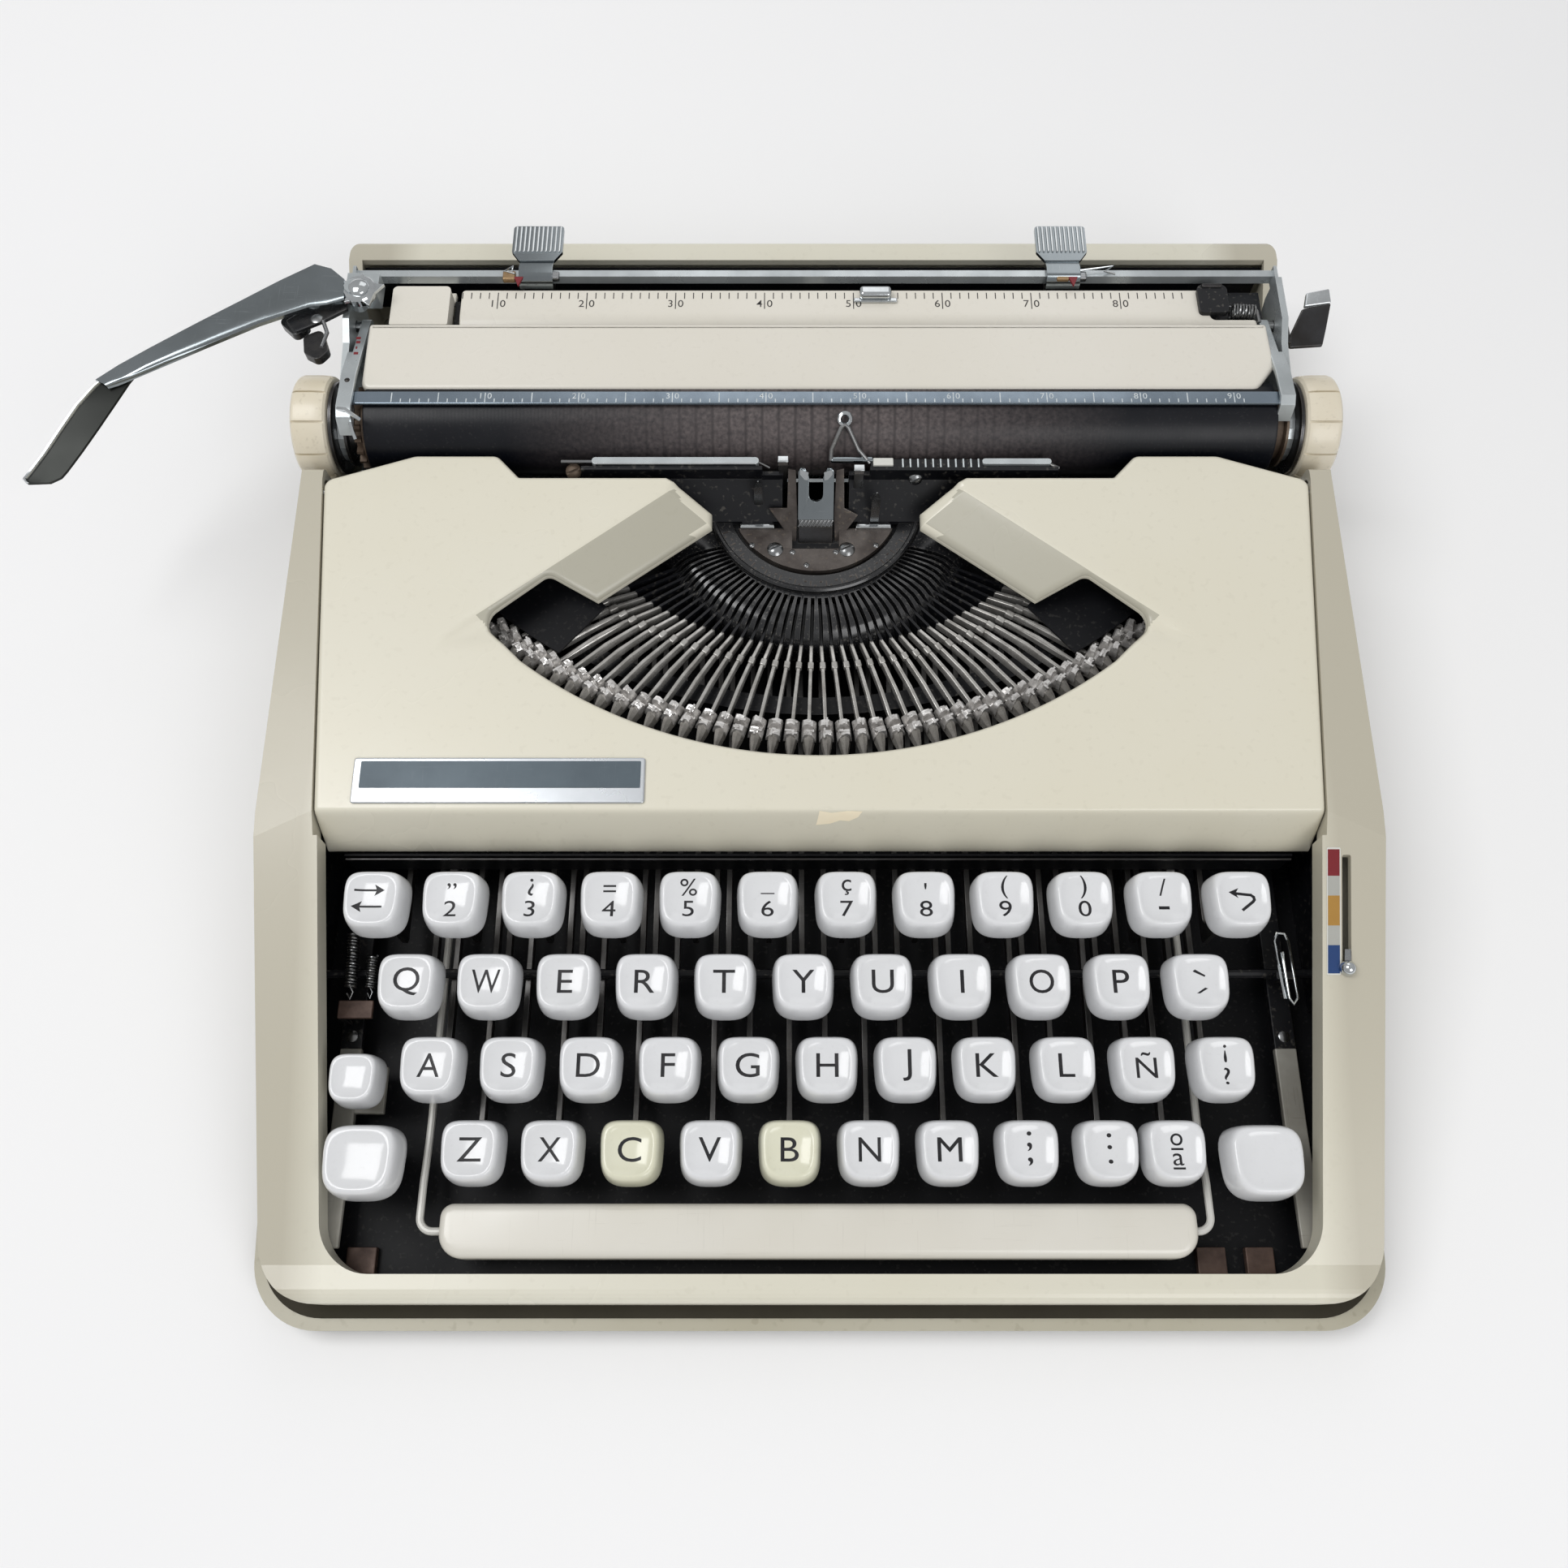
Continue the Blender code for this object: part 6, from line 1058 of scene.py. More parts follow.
# Flat bars of one width along a line of places
def stroke(places, width):
    bm = bmesh.new()
    for first, second in zip(places, places[1:]):
        first, second = Vector(first), Vector(second)
        along = (second - first).normalized()
        side = Vector((-along.y, along.x)) * width / 2
        over = along * width * 0.3
        corners = (first - side - over, second - side + over, second + side + over, first + side - over)
        bm.faces.new([bm.verts.new((*corner, 0)) for corner in corners])
    mesh = bpy.data.meshes.new("stroke")
    bm.to_mesh(mesh)
    bm.free()
    return mesh


def patch(corners):
    mesh = bpy.data.meshes.new("patch")
    mesh.from_pydata([(*corner, 0) for corner in corners], [], [range(len(corners))])
    return mesh


def movedMesh(mesh, x, y):
    mesh.transform(Matrix.Translation((x, y, 0)))
    return mesh


def legendParts(name, k):
    size = k["capital"] / 0.729
    small = k["digit"] / 0.729
    wide = k["wide"]
    line = 0.68
    if name == "margin_release_key":
        return [stroke([(-4.2, 2.2), (1.4, 2.2)], 0.5), patch([(2.9, 2.2), (0.5, 3.6), (1, 2.2), (0.5, 0.8)]),
                stroke([(-3.2, -1.9), (2.4, -1.9)], 0.5), patch([(-4.7, -1.9), (-2.3, -0.5), (-2.8, -1.9),
                    (-2.3, -3.3)])]
    if name == "backspace_key":
        return [stroke([(-2.3, 1.5), (2.1, 1), (2.7, 0.5), (2.8, -0.2), (2.4, -0.7), (-0.2, -2.7)], line),
                patch([(-3.2, 1.7), (-0.9, 0.25), (-1.5, 1.5), (-0.7, 2.75)])]
    if name == "key_accent":
        return [patch([(-1.7, 2.6), (-1.1, 3.1), (1.3, 1.7), (1.1, 1.3)]),
            patch([(-1.2, -2.7), (-0.5, -2.75), (1.6, -1.5), (0.9, -1.3)])]
    if name not in pairs:
        letter = "Ñ" if name == "key_n_tilde" else name[-1].upper()
        mesh = flatText(letter, size * (0.86 if letter == "Ñ" else 1), 1)
        width = max(v.co.x for v in mesh.vertices) * 2
        stretch = letterWidths.get(letter, k["letterWidth"]) / width
        mesh.transform(Matrix.Diagonal((min(1.12, max(0.8, stretch)), 1, 1, 1)))
        return [movedMesh(mesh, 0, 0.2)]
    upper, lower = pairs[name]
    if name == "key_ordinal":
        parts = [movedMesh(flatText("o", small * 1.05, 1), 0, 2.5),
            movedMesh(flatText("a", small * 1.05, 1.1), 0, -2.1)]
        return parts + [stroke([(-1.3, 0.3), (1.3, 0.3)], 0.5), stroke([(-1.3, -4.2), (1.3, -4.2)], 0.5)]
    if name in ("key_comma", "key_period"):
        return [movedMesh(flatText(upper, size * 0.95, 1.15, -0.02), 0, 2.1),
            movedMesh(flatText(lower, size * 0.95, 1.15, -0.02), 0, -2.6)]
    places = {"_": 1.4, "\u201d": 3.2, "'": 3.2, "=": 2.6}
    lowPlace = {"-": -2.2}
    return [movedMesh(flatText(upper, small * 1.02, 1.1), 0, places.get(upper, 2.9)),
            movedMesh(flatText(lower, small * (1 if lower != "-" else 1.5), wide), 0, lowPlace.get(lower, -2.4))]


# Ink laid on the dish, cut small enough to follow it
def keyLegend(name, centre, top, k):
    bm = bmesh.new()
    for mesh in legendParts(name, k):
        bm.from_mesh(mesh)
        bpy.data.meshes.remove(mesh)
    steps = [i * 1.1 for i in range(-4, 5)]
    sliced(bm, [(0, step, 0) for step in steps])
    sliced(bm, [(step, 0, 0) for step in steps], (1, 0, 0))
    for v in bm.verts:
        v.co.z = -dishDrop(v.co.x, v.co.y, k["width"], k["depth"], k) + k["lift"] + top
        v.co.x += centre[0]
        v.co.y += centre[1]
    return painted(shapeFrom("legend", facingUp(bm), tidy=False), legendInk)


def leverTop(y):
    return 16.2 + 1.4 * (machine["shaftY"] - y) / 165.3


def hookOutline(k):
    y, z, radius, wall = machine["shaftY"], machine["shaftZ"], k["hookRadius"], k["hookWall"]
    low = z - k["hookLeg"]
    saddle = arc((y, z), radius, math.pi, 0, 10)
    return [(y - radius - wall, low), (y - radius, low)] + saddle + [(y + radius, low), (y + radius + wall, low),
        (y + radius + wall, leverTop(y) - 1.2), (y + radius + wall - 1.2, leverTop(y))]


def keyLever(x, keyY, capBottom, k):
    half, top = k["stem"] / 2, capBottom + 1.5
    hook = hookOutline(k)
    foot = keyY - half
    outline = [(foot, top), (foot, leverTop(keyY) - k["leverDepth"] + 1), (foot + 1, leverTop(keyY) - k["leverDepth"]),
               (hook[0][0], leverTop(hook[0][0]) - k["leverDepth"])] + hook
    outline += [(keyY + half + 2, leverTop(keyY + half)), (keyY + half + 0.6, leverTop(keyY) + 0.6),
        (keyY + half, leverTop(keyY) + 2), (keyY + half, top)]
    lever = plate("keyLever", [outline], x - k["lever"] / 2, x + k["lever"] / 2, leverSteel, "YZ")
    return bevelled(lever, 0.16, 2, 60)


def buildKeys(k):
    for row, names in enumerate(rows):
        y, top = k["frontRow"] + row * k["rowPitch"], k["frontTop"] + row * k["rowRise"]
        places = [(name, k["starts"][row] + i) for i, name in enumerate(names)]
        if row == 0:
            places.append(("key_ordinal", k["ordinal"]))
        for name, share in places:
            x = share * k["pitch"]
            yellowed = name in ("key_c", "key_b")
            finish = yellowedPlastic if yellowed else capPlastic
            shapes = [keyCap((x, y), top, k["width"], k["depth"], k, finish), keyLegend(name, (x, y), top, k),
                      keyLever(x, y, top - k["height"], k)]
            settle(name + "_look", shapes, name + "_body", [name],
                40)


buildKeys(keySizes)
print("keys ready")


# Space bar on its bent wire, and the shift frame with both shift caps and the lock
barSizes = {
    "left": -91, "right": 89.9, "front": 15.8, "rear": 28.4, "low": 14.7, "top": 21.7, "frontCorner": 5.8,
        "rearCorner": 3.2, "roll": 2.1,
    "crown": 0.35, "wires": (-96.25, 93.75), "wireRadius": 0.95, "wireInset": 5, "leverFront": 110, "bend": 3.2,
}


def buildSpaceBar(s, k):
    outline = rectangle(s["left"], s["right"], s["front"], s["rear"], s["frontCorner"], s["rearCorner"], 8)
    bm = rolledPlate(outline, s["top"] - s["low"], s["roll"], 6)
    middle, half = (s["front"] + s["rear"]) / 2, (s["rear"] - s["front"]) / 2
    sliced(bm, [(0, middle + half * share, 0) for share in (-0.7, -0.45, -0.2, 0.05, 0.3, 0.55, 0.75)])
    for v in bm.verts:
        share = (v.co.y - middle) / half
        fall = s["crown"] * share ** 2 if v.co.z > -s["roll"] - 0.01 else 0
        v.co.z += s["top"] - fall
    shapes = [painted(shapeFrom("spaceBar", bm), barPlastic)]
    bend, z = s["bend"], s["top"] - 3.5
    leverZ = leverTop(s["leverFront"]) - 1.6
    for x in s["wires"]:
        side = math.copysign(1, x)
        inner = (s["left"] if side < 0 else s["right"]) - side * s["wireInset"]
        corner = [(place[0], place[1]) for place in arc((x - side * bend, middle + bend), bend, math.radians(270),
            math.radians(360 if side > 0 else 180), 8)]
        points = [(inner, middle, z)] + [(px, py, z) for px, py in corner]
        points += [(x, middle + bend + 8, z - 0.4), (x, middle + bend + 18, leverZ + 0.5),
            (x, middle + bend + 24, leverZ), (x, s["leverFront"] + 4, leverZ)]
        shapes += [
            wire("spaceWire", points, s["wireRadius"], wirePaint),
            turned("wireEye", [(0, 0), (1.7, 0), (1.9, 0.3), (1.9, 1.9), (1.7, 2.2), (0, 2.2)],
                             (x - 1.1, s["leverFront"] + 4, leverZ), (1, 0, 0), leverSteel, 20),
        ]
        hook = hookOutline(k)
        front = s["leverFront"]
        outline = [(front, leverTop(front)), (front, leverTop(front) - k["leverDepth"]),
            (hook[0][0], leverTop(hook[0][0]) - k["leverDepth"])] + hook
        shapes.append(bevelled(plate("spaceLever", [outline], x - 0.7, x + 0.7, leverSteel, "YZ"), 0.16, 2, 60))
    settle("space_bar_look", shapes, "space_bar_body", ["space_bar"], 35)


shiftSizes = {
    "outer": 122, "width": 5.5, "low": 11, "high": 13, "front": 18.5, "shaftY": 195, "shaftZ": 7.3, "reach": 130.7,
    "caps": ((-1, -109.1, 37.3, 31, 18.6, 17.6), (1, 105.4, 37.3, 31, 18.6, 17.6),
        (-1, -112.3, 56.3, 32.5, 12.4, 12.8)),
    "tab": 12, "post": 3,
}


def buildShiftFrame(s, k):
    shapes = []
    inner = s["outer"] - s["width"]
    ends = [(0, 0), (1.2, 0), (1.5, 0.3), (1.5, 2 * s["reach"] - 0.3), (1.2, 2 * s["reach"]), (0, 2 * s["reach"])]
    shapes.append(turned("shiftShaft", ends, (-s["reach"], s["shaftY"], s["shaftZ"]), (1, 0, 0), darkSteel, 24))
    for side in (-1, 1):
        # the bar rises a little towards its front end, to clear the floor when the shift goes down
        painted = [(s["front"], s["low"] + 1.3), (48, s["low"]), (67, s["low"]), (67, s["high"]), (48, s["high"]),
            (s["front"], s["high"] + 0.9)]
        # the rear of each bar, under the case, is painted black as shade
        shadedRear = [(66.9, s["low"]), (s["shaftY"] - 2.2, s["low"]), (s["shaftY"] - 2.2, s["shaftZ"] - 0.8),
            (s["shaftY"], s["shaftZ"] - 0.8), (s["shaftY"], s["high"]), (66.9, s["high"])]
        xs = sorted((side * inner, side * s["outer"]))
        for outline, tone in ((painted, shiftPaint), (shadedRear, blackSteel)):
            shapes.append(bevelled(plate("shiftBar", [outline], xs[0], xs[1], tone, "YZ"), 0.35, 3, 50))
        for y in (70, 128):
            screw = [(0, 0.5), (1.1, 0.5), (1.5, 0.3), (1.6, 0), (1.6, -0.2), (0, -0.2)]
            shapes.append(turned("barScrew", screw, (side * (inner + s["width"] / 2), y, s["high"]), (0, 0, 1),
                bareSteel, 20))
    for side, x, y, top, width, depth in s["caps"]:
        ends = sorted((side * (inner + 0.3), x - side * s["post"]))
        tab = box("shiftTab", (ends[0], y - s["tab"] / 2 + 0.3, s["low"] + 0.1),
            (ends[1], y + s["tab"] / 2, s["high"] - 0.1), shiftPaint, 0.3)
        half = s["post"] / 2
        post = box("shiftPost", (x - half, y - half, s["low"] + 0.3), (x + half, y + half, top - k["height"] + 1.5),
            shiftPaint, 0.25)
        shapes += [tab, post, keyCap((x, y), top, width, depth, dict(k, frontPower=3.1, rearPower=3.7, dish=0.8),
            capPlastic)]
    settle("shift_frame_look", shapes, "shift_body", ["shift_frame"], 38)


buildSpaceBar(barSizes, keySizes)
buildShiftFrame(shiftSizes, keySizes)
print("bars ready")


# Geometry Nodes that repeat a shape along a fan, a row or a ring, or at given spots
def combined(tree, x=0, y=0, z=0):
    return addNode(tree, "ShaderNodeCombineXYZ", {0: x, 1: y, 2: z}).outputs[0]


def offsetBy(tree, start, vector, share):
    scaled = addNode(tree, "ShaderNodeVectorMath", {0: vector, "Scale": share}, operation="SCALE").outputs[0]
    return addNode(tree, "ShaderNodeVectorMath", {0: start, 1: scaled}, operation="ADD").outputs[0]


def pointsAt(tree, given, place):
    return addNode(tree, "GeometryNodePoints", {"Count": given["Count"], "Position": place}).outputs[0]


# Places on an arc ahead of a centre, each turned to face away from that centre
def fanLayout(tree, given):
    index = addNode(tree, "GeometryNodeInputIndex").outputs[0]
    share = maths(tree, "DIVIDE", index, maths(tree, "SUBTRACT", given["Count"], 1.0))
    swing = maths(tree, "MULTIPLY", maths(tree, "SUBTRACT", maths(tree, "MULTIPLY", share, 2), 1), given["Half Angle"])
    across = maths(tree, "MULTIPLY", maths(tree, "SINE", swing), given["Radius"])
    ahead = maths(tree, "SUBTRACT", maths(tree, "MULTIPLY", maths(tree, "COSINE", swing), given["Radius"]),
        given["Setback"])
    head = combined(tree, across, maths(tree, "MULTIPLY", ahead, -1))
    length = addNode(tree, "ShaderNodeVectorMath", {0: head}, operation="LENGTH").outputs[1]
    longer = maths(tree, "SUBTRACT", maths(tree, "DIVIDE", length,
        maths(tree, "SUBTRACT", given["Radius"], given["Setback"])), 1)
    stretch = maths(tree, "ADD", maths(tree, "MULTIPLY", longer, given["Stretch"]), 1.0)
    turn = maths(tree, "MULTIPLY", maths(tree, "ARCTAN2", across, ahead), given["Turn"])
    return pointsAt(tree, given, offsetBy(tree, given["Centre"], head, given["At Head"])), combined(tree,
        z=turn), combined(tree, 1, stretch, 1)


# Places in a line; every so many copies, one is longer
def rowLayout(tree, given):
    index = addNode(tree, "GeometryNodeInputIndex").outputs[0]
    step = maths(tree, "FLOORED_MODULO", maths(tree, "ADD", index, given["First"]), given["Every"])
    tall = maths(tree, "MULTIPLY", maths(tree, "LESS_THAN", step, 0.5), maths(tree, "SUBTRACT", given["Tall"], 1.0))
    return pointsAt(tree, given, offsetBy(tree, given["Start"], given["Step"], index)), combined(tree), combined(tree,
        1, maths(tree, "ADD", tall, 1), 1)


def ringLayout(tree, given):
    index = addNode(tree, "GeometryNodeInputIndex").outputs[0]
    angle = maths(tree, "DIVIDE", maths(tree, "MULTIPLY", index, 2 * math.pi), given["Count"])
    return pointsAt(tree, given, given["Centre"]), combined(tree, angle), combined(tree, 1, 1, 1)


def spotsLayout(tree, given):
    return given["Spots"], given["Turn"], combined(tree, 1.0, 1.0, 1.0)


def geometryTree(name, inputs):
    tree = bpy.data.node_groups.new(name, "GeometryNodeTree")
    for label, kind in inputs.items():
        tree.interface.new_socket(name=label.replace("_", " "), in_out="INPUT", socket_type="NodeSocket" + kind)
    tree.interface.new_socket(name="Geometry", in_out="OUTPUT", socket_type="NodeSocketGeometry")
    return tree, tree.nodes.new("NodeGroupInput").outputs


def endTree(tree, given, made):
    real = addNode(tree, "GeometryNodeRealizeInstances", {"Geometry": made.outputs[0]})
    coloured = addNode(tree, "GeometryNodeSetMaterial", {"Geometry": real.outputs[0], "Material": given["Material"]})
    addNode(tree, "NodeGroupOutput", {0: coloured.outputs[0]})
    return tree


def copiesTree(name, layout, **inputs):
    tree, given = geometryTree(name, dict(Spots="Geometry", Shapes="Collection", Material="Material", **inputs))
    points, turn, scale = layout(tree, given)
    shapes = addNode(tree, "GeometryNodeCollectionInfo", {"Collection": given["Shapes"], "Separate Children": True})
    placed = {"Points": points, "Instance": shapes.outputs[0], "Pick Instance": True, "Rotation": turn, "Scale": scale}
    return endTree(tree, given, addNode(tree, "GeometryNodeInstanceOnPoints", placed))


fanTree = copiesTree("fanCopies", fanLayout, Count="Int", Half_Angle="Float", Radius="Float", Setback="Float",
                     Stretch="Float", At_Head="Float", Turn="Float", Centre="Vector")
rowTree = copiesTree("rowCopies", rowLayout, Count="Int", Start="Vector", Step="Vector", First="Int", Every="Int",
    Tall="Float")
ringTree = copiesTree("ringCopies", ringLayout, Count="Int", Centre="Vector")
spotsTree = copiesTree("spotCopies", spotsLayout, Turn="Vector")


# The mesh that a tree makes from its named values
def grown(name, spots, tree, values, finish):
    mesh = bpy.data.meshes.new(name)
    mesh.from_pydata(list(spots), [], [])
    holder = newObject(name, mesh)
    step = holder.modifiers.new("grown", "NODES")
    step.node_group = tree
    values = dict(values, Material=finish)
    for socket in tree.interface.items_tree:
        if socket.in_out == "INPUT" and socket.name in values:
            step[socket.identifier] = values[socket.name]
    return painted(plain(holder), finish)


def copies(name, tree, shapes, finish, sizes, spots=()):
    family = bpy.data.collections.new(name)
    for shape in shapes:
        family.objects.link(shape)
    made = grown(name, spots, tree, dict(sizes, Shapes=family), finish)
    for shape in shapes:
        bpy.data.objects.remove(shape)
    bpy.data.collections.remove(family)
    return made


def inRow(name, shape, finish, count, start, step, first=1, every=99, tall=1.0):
    sizes = {"Count": count, "Start": start, "Step": (step, 0.0, 0.0), "First": first, "Every": every, "Tall": tall}
    return copies(name, rowTree, [shape], finish, sizes)


# Domed screws with a cut slot
def screws(places, radius, finish, turn=(0, 0, 0)):
    dome = [(0, radius * 0.5), (radius * 0.45, radius * 0.44), (radius * 0.78, radius * 0.28),
        (radius * 0.97, radius * 0.08), (radius, -0.3), (0, -0.3)]
    head = turned("screw", dome, (0, 0, 0), (0, 0, 1), finish, 20)
    slot = box("screwSlot", (-radius * 1.1, -radius * 0.13, radius * 0.2), (radius * 1.1, radius * 0.13, radius),
        finish)
    slot.data.transform(Matrix.Rotation(0.4, 4, "Z"))
    return copies("screws", spotsTree, [cut(head, slot)], finish, {"Turn": turn}, places)


# A profile of (radius, height) carried round part of a circle that opens to the rear
def arcSolid(name, profile, centre, half, steps, finish):
    rings = []
    for i in range(steps + 1):
        angle = -half + 2 * half * i / steps
        rings.append([(centre[0] + r * math.sin(angle), centre[1] - r * math.cos(angle), z) for r, z in profile])
    return lofted(name, rings, finish)


basketSizes = {
    "count": 42, "centreY": 213, "headRadius": 136, "headCentreY": 281, "halfAngle": 39,
    "ringY": 217.5, "landRadius": 23.7, "rimRadius": 29.2, "combInner": 30, "combOuter": 46.9, "combHalf": 80,
    "slot": 1.05, "slotFloor": 28.4, "bar": 0.95, "slugWidth": 3.7, "bend": 0.8,
    "landZ": 35.4, "guideTop": (217.5, 49.8), "guideSlope": (-0.6247, -0.7809),
}


# Two raised characters on one block, cut into facets
def typeSlug(seed, s):
    dice = random.Random(seed)
    half = s["slugWidth"] / 2
    shapes = [box("slugBody", (-half * 0.8, -2.6, 33), (half * 0.8, 2.6, 36.6), typeSteel, 0.25)]
    for low, high in ((-2.7, -0.25), (0.25, 2.7)):
        ridge = dice.uniform(-0.5, 0.5)
        rings = []
        for z, inset in ((35.6, -0.1), (36.6, 0), (38.3, 0.55), (38.9, 0.85)):
            rings.append([(x * (half - inset) + (ridge if z > 37 else 0), y, z + dice.uniform(-0.25, 0.25) * (z > 37))
                          for x, y in ((-1, low + inset * 0.6), (0.1, low + inset * 0.9), (1, low + inset * 0.6),
                                       (1, high - inset * 0.6), (-0.1, high - inset * 0.4), (-1, high - inset * 0.6))])
        shapes.append(lofted("character", rings, typeSteel))
        for i in range(3):
            x, y = dice.uniform(-0.9, 0.9), dice.uniform(low + 0.6, high - 0.6)
            across, along = dice.choice(((0.25, 0.75), (0.8, 0.25), (0.5, 0.3)))
            shapes.append(box("stroke", (x - across, y - along, 38.2),
                (x + across, y + along, 39.2 + dice.uniform(-0.2, 0.15)), typeSteel))
    bm = bmesh.new()
    for shape in shapes:
        bm.from_mesh(shape.data)
        bpy.data.objects.remove(shape)
    return painted(shapeFrom("slug", bm, tidy=False), typeSteel)


def bowed(bars, s):
    ahead, radius = s["headCentreY"] - s["centreY"], s["headRadius"]
    for v in bars.data.vertices:
        x, y = v.co.x, s["centreY"] - v.co.y
        angle = math.atan2(x, y)
        reach = math.sqrt(radius ** 2 - (ahead * math.sin(angle)) ** 2) - ahead * math.cos(angle)
        share = min(1, max(0, (math.hypot(x, y) / reach - 0.66) / 0.32))
        push = s["bend"] * angle * 4 * share * (1 - share)
        v.co.x += push * math.cos(angle)
        v.co.y += push * math.sin(angle)
    return bars


def buildBars(s):
    fan = {"Count": s["count"], "Half Angle": math.radians(s["halfAngle"]), "Radius": s["headRadius"],
           "Setback": s["headCentreY"] - s["centreY"], "Stretch": 0.0, "At Head": 0.0, "Turn": 1.0,
               "Centre": (0.0, s["centreY"], 0.0)}
    comb = [(s["combInner"], 26), (s["combInner"], 34.2), (s["combInner"] + 0.8, 34.9), (34.5, 35.9), (38, 36.6),
        (41, 36.4),
            (43, 35.2), (45, 33.2), (46.3, 30.6), (s["combOuter"], 27.5), (s["combOuter"], 26)]
    segment = arcSolid("segment", comb, (0, s["ringY"]), math.radians(s["combHalf"]), 72, blackedSegment)
    slot = box("slot", (-s["slot"] / 2, -52, s["slotFloor"]), (s["slot"] / 2, -27.6, 40), blackedSegment)
    slots = copies("slots", fanTree, [slot], blackedSegment, fan)
    shapes = [cut(segment, slots)]
    def flat(outline, thick, finish):
        return plate("bar", [[(-r, z) for r, z in outline]], -thick / 2, thick / 2, finish, "YZ")
    long = dict(fan, Stretch=1)
    root = flat([(28.5, 29), (28.5, 33.2), (41, 33.4), (41, 29.2)], s["bar"] * 0.7, blackSteel)
    shapes.append(copies("barRoots", fanTree, [root], blackSteel, long))
    bar = flat([(40.8, 30.2), (40.8, 32.9), (45.6, 34.3), (49.6, 34.9), (57, 35.3), (65.8, 35.1), (65.8, 32.4),
        (57, 32.6), (49, 32), (45.6, 31.4)], s["bar"], barSteel)
    shapes.append(bowed(copies("typeBars", fanTree, [bevelled(bar, 0.22, 2, 50)], barSteel, long), s))
    joint = [box("joint", (-0.8, -48.9, 33), (0.8, -46.9, 35.1), barSteel, 0.35)]
    shapes.append(copies("barJoints", fanTree, joint, barSteel, long))
    head = dict(fan, **{"At Head": 1})
    shapes.append(copies("typeSlugs", fanTree, [typeSlug(seed, s) for seed in range(8)], typeSteel, head))
    tail = lofted("tail", [[(-w, y, z - h), (w, y, z - h), (w * 0.75, y, z), (0, y, z + h * 0.3), (-w * 0.75, y, z)]
                           for w, y, z, h in ((1.5, -1.6, 37.2, 3.2), (1.55, -2.7, 37.4, 3.2), (1.3, -4, 36.8, 2.8),
                                   (0.75, -5.8, 35.8, 2.2), (0.45, -7.6, 34.9, 1.6), (0.3, -8.2, 34.4, 1.1))],
                                   typeSteel)
    shapes.append(copies("barTails", fanTree, [tail], tailSteel, dict(head, Turn=0.85)))
    return shapes


def buildRing(s):
    place, land, rim = (0, s["ringY"]), s["landRadius"], s["rimRadius"]
    half = math.radians(78)
    shapes = [arcSolid("ringBed", [(0.5, 22), (0.5, 33), (rim, 33), (s["combInner"] + 0.4, 33),
        (s["combInner"] + 0.4, 22)], place, half, 48, blackSteel)]
    shapes += [
        arcSolid("engravedRing", [(land + 0.7, 32.5), (land + 0.7, 34.4), (land + 1, 34.7), (rim - 0.7, 34.9),
            (rim - 0.7, 32.5)], place, math.radians(74), 60, blackedSegment),
        arcSolid("ringRim", [(rim - 0.6, 33), (rim - 0.6, 35.3), (rim - 0.2, 35.6), (rim + 0.4, 35.6),
            (rim + 0.9, 35.2), (rim + 1.1, 33)], place, math.radians(74), 60, blackedSegment),
    ]
    polar = {"Count": 45, "Half Angle": math.radians(66), "Radius": rim, "Setback": 0.0, "Stretch": 0.0, "At Head": 0.0,
        "Turn": 1.0, "Centre": (*place, 0.0)}
    marks = [box("mark", (-0.16, 1 - rim, 34.7), (0.16, 2.6 - rim, 34.95), oiledPlate),
        box("mark", (-0.5, 1 - rim, 34.7), (0.1, 1.35 - rim, 34.95), oiledPlate),
             box("mark", (-0.4, 2.2 - rim, 34.7), (0.3, 2.6 - rim, 34.95), oiledPlate)]
    shapes.append(copies("ringMarks", fanTree, marks, oiledPlate, polar))
    top, edge = s["landZ"], 207.4
    reach = math.acos((s["ringY"] - edge) / land)
    outline = arc(place, land, math.radians(270) - reach, math.radians(270) + reach, 40)
    notch = [(6.5, edge), (6.5, edge - 6.5), (-6.5, edge - 6.5), (-6.5, edge)]
    shapes.append(bevelled(plate("landing", [outline + notch], 33, top, oiledPlate), 0.25, 2))
    for left, right in ((-20.9, -11.4), (11.2, 21)):
        shapes += [
            box("landingLip", (left, edge - 0.3, top - 1.5), (right, edge + 1, top + 0.9), brightChrome, 0.25),
            box("landingStop", (left + 0.4, edge + 0.8, 26), (right - 0.4, edge + 2.6, top + 0.2), blackSteel, 0.3),
        ]
    shapes += [
        screws([(-11.2, 200.6, top), (8.6, 200.6, top)], 2.3, bareSteel),
        screws([(-17.6, 202, top), (-6.4, 199.8, top), (5.6, 199.8, top), (16.7, 202, top), (-2.6, 195.6, top)], 0.85,
            bareSteel),
    ]
    return shapes


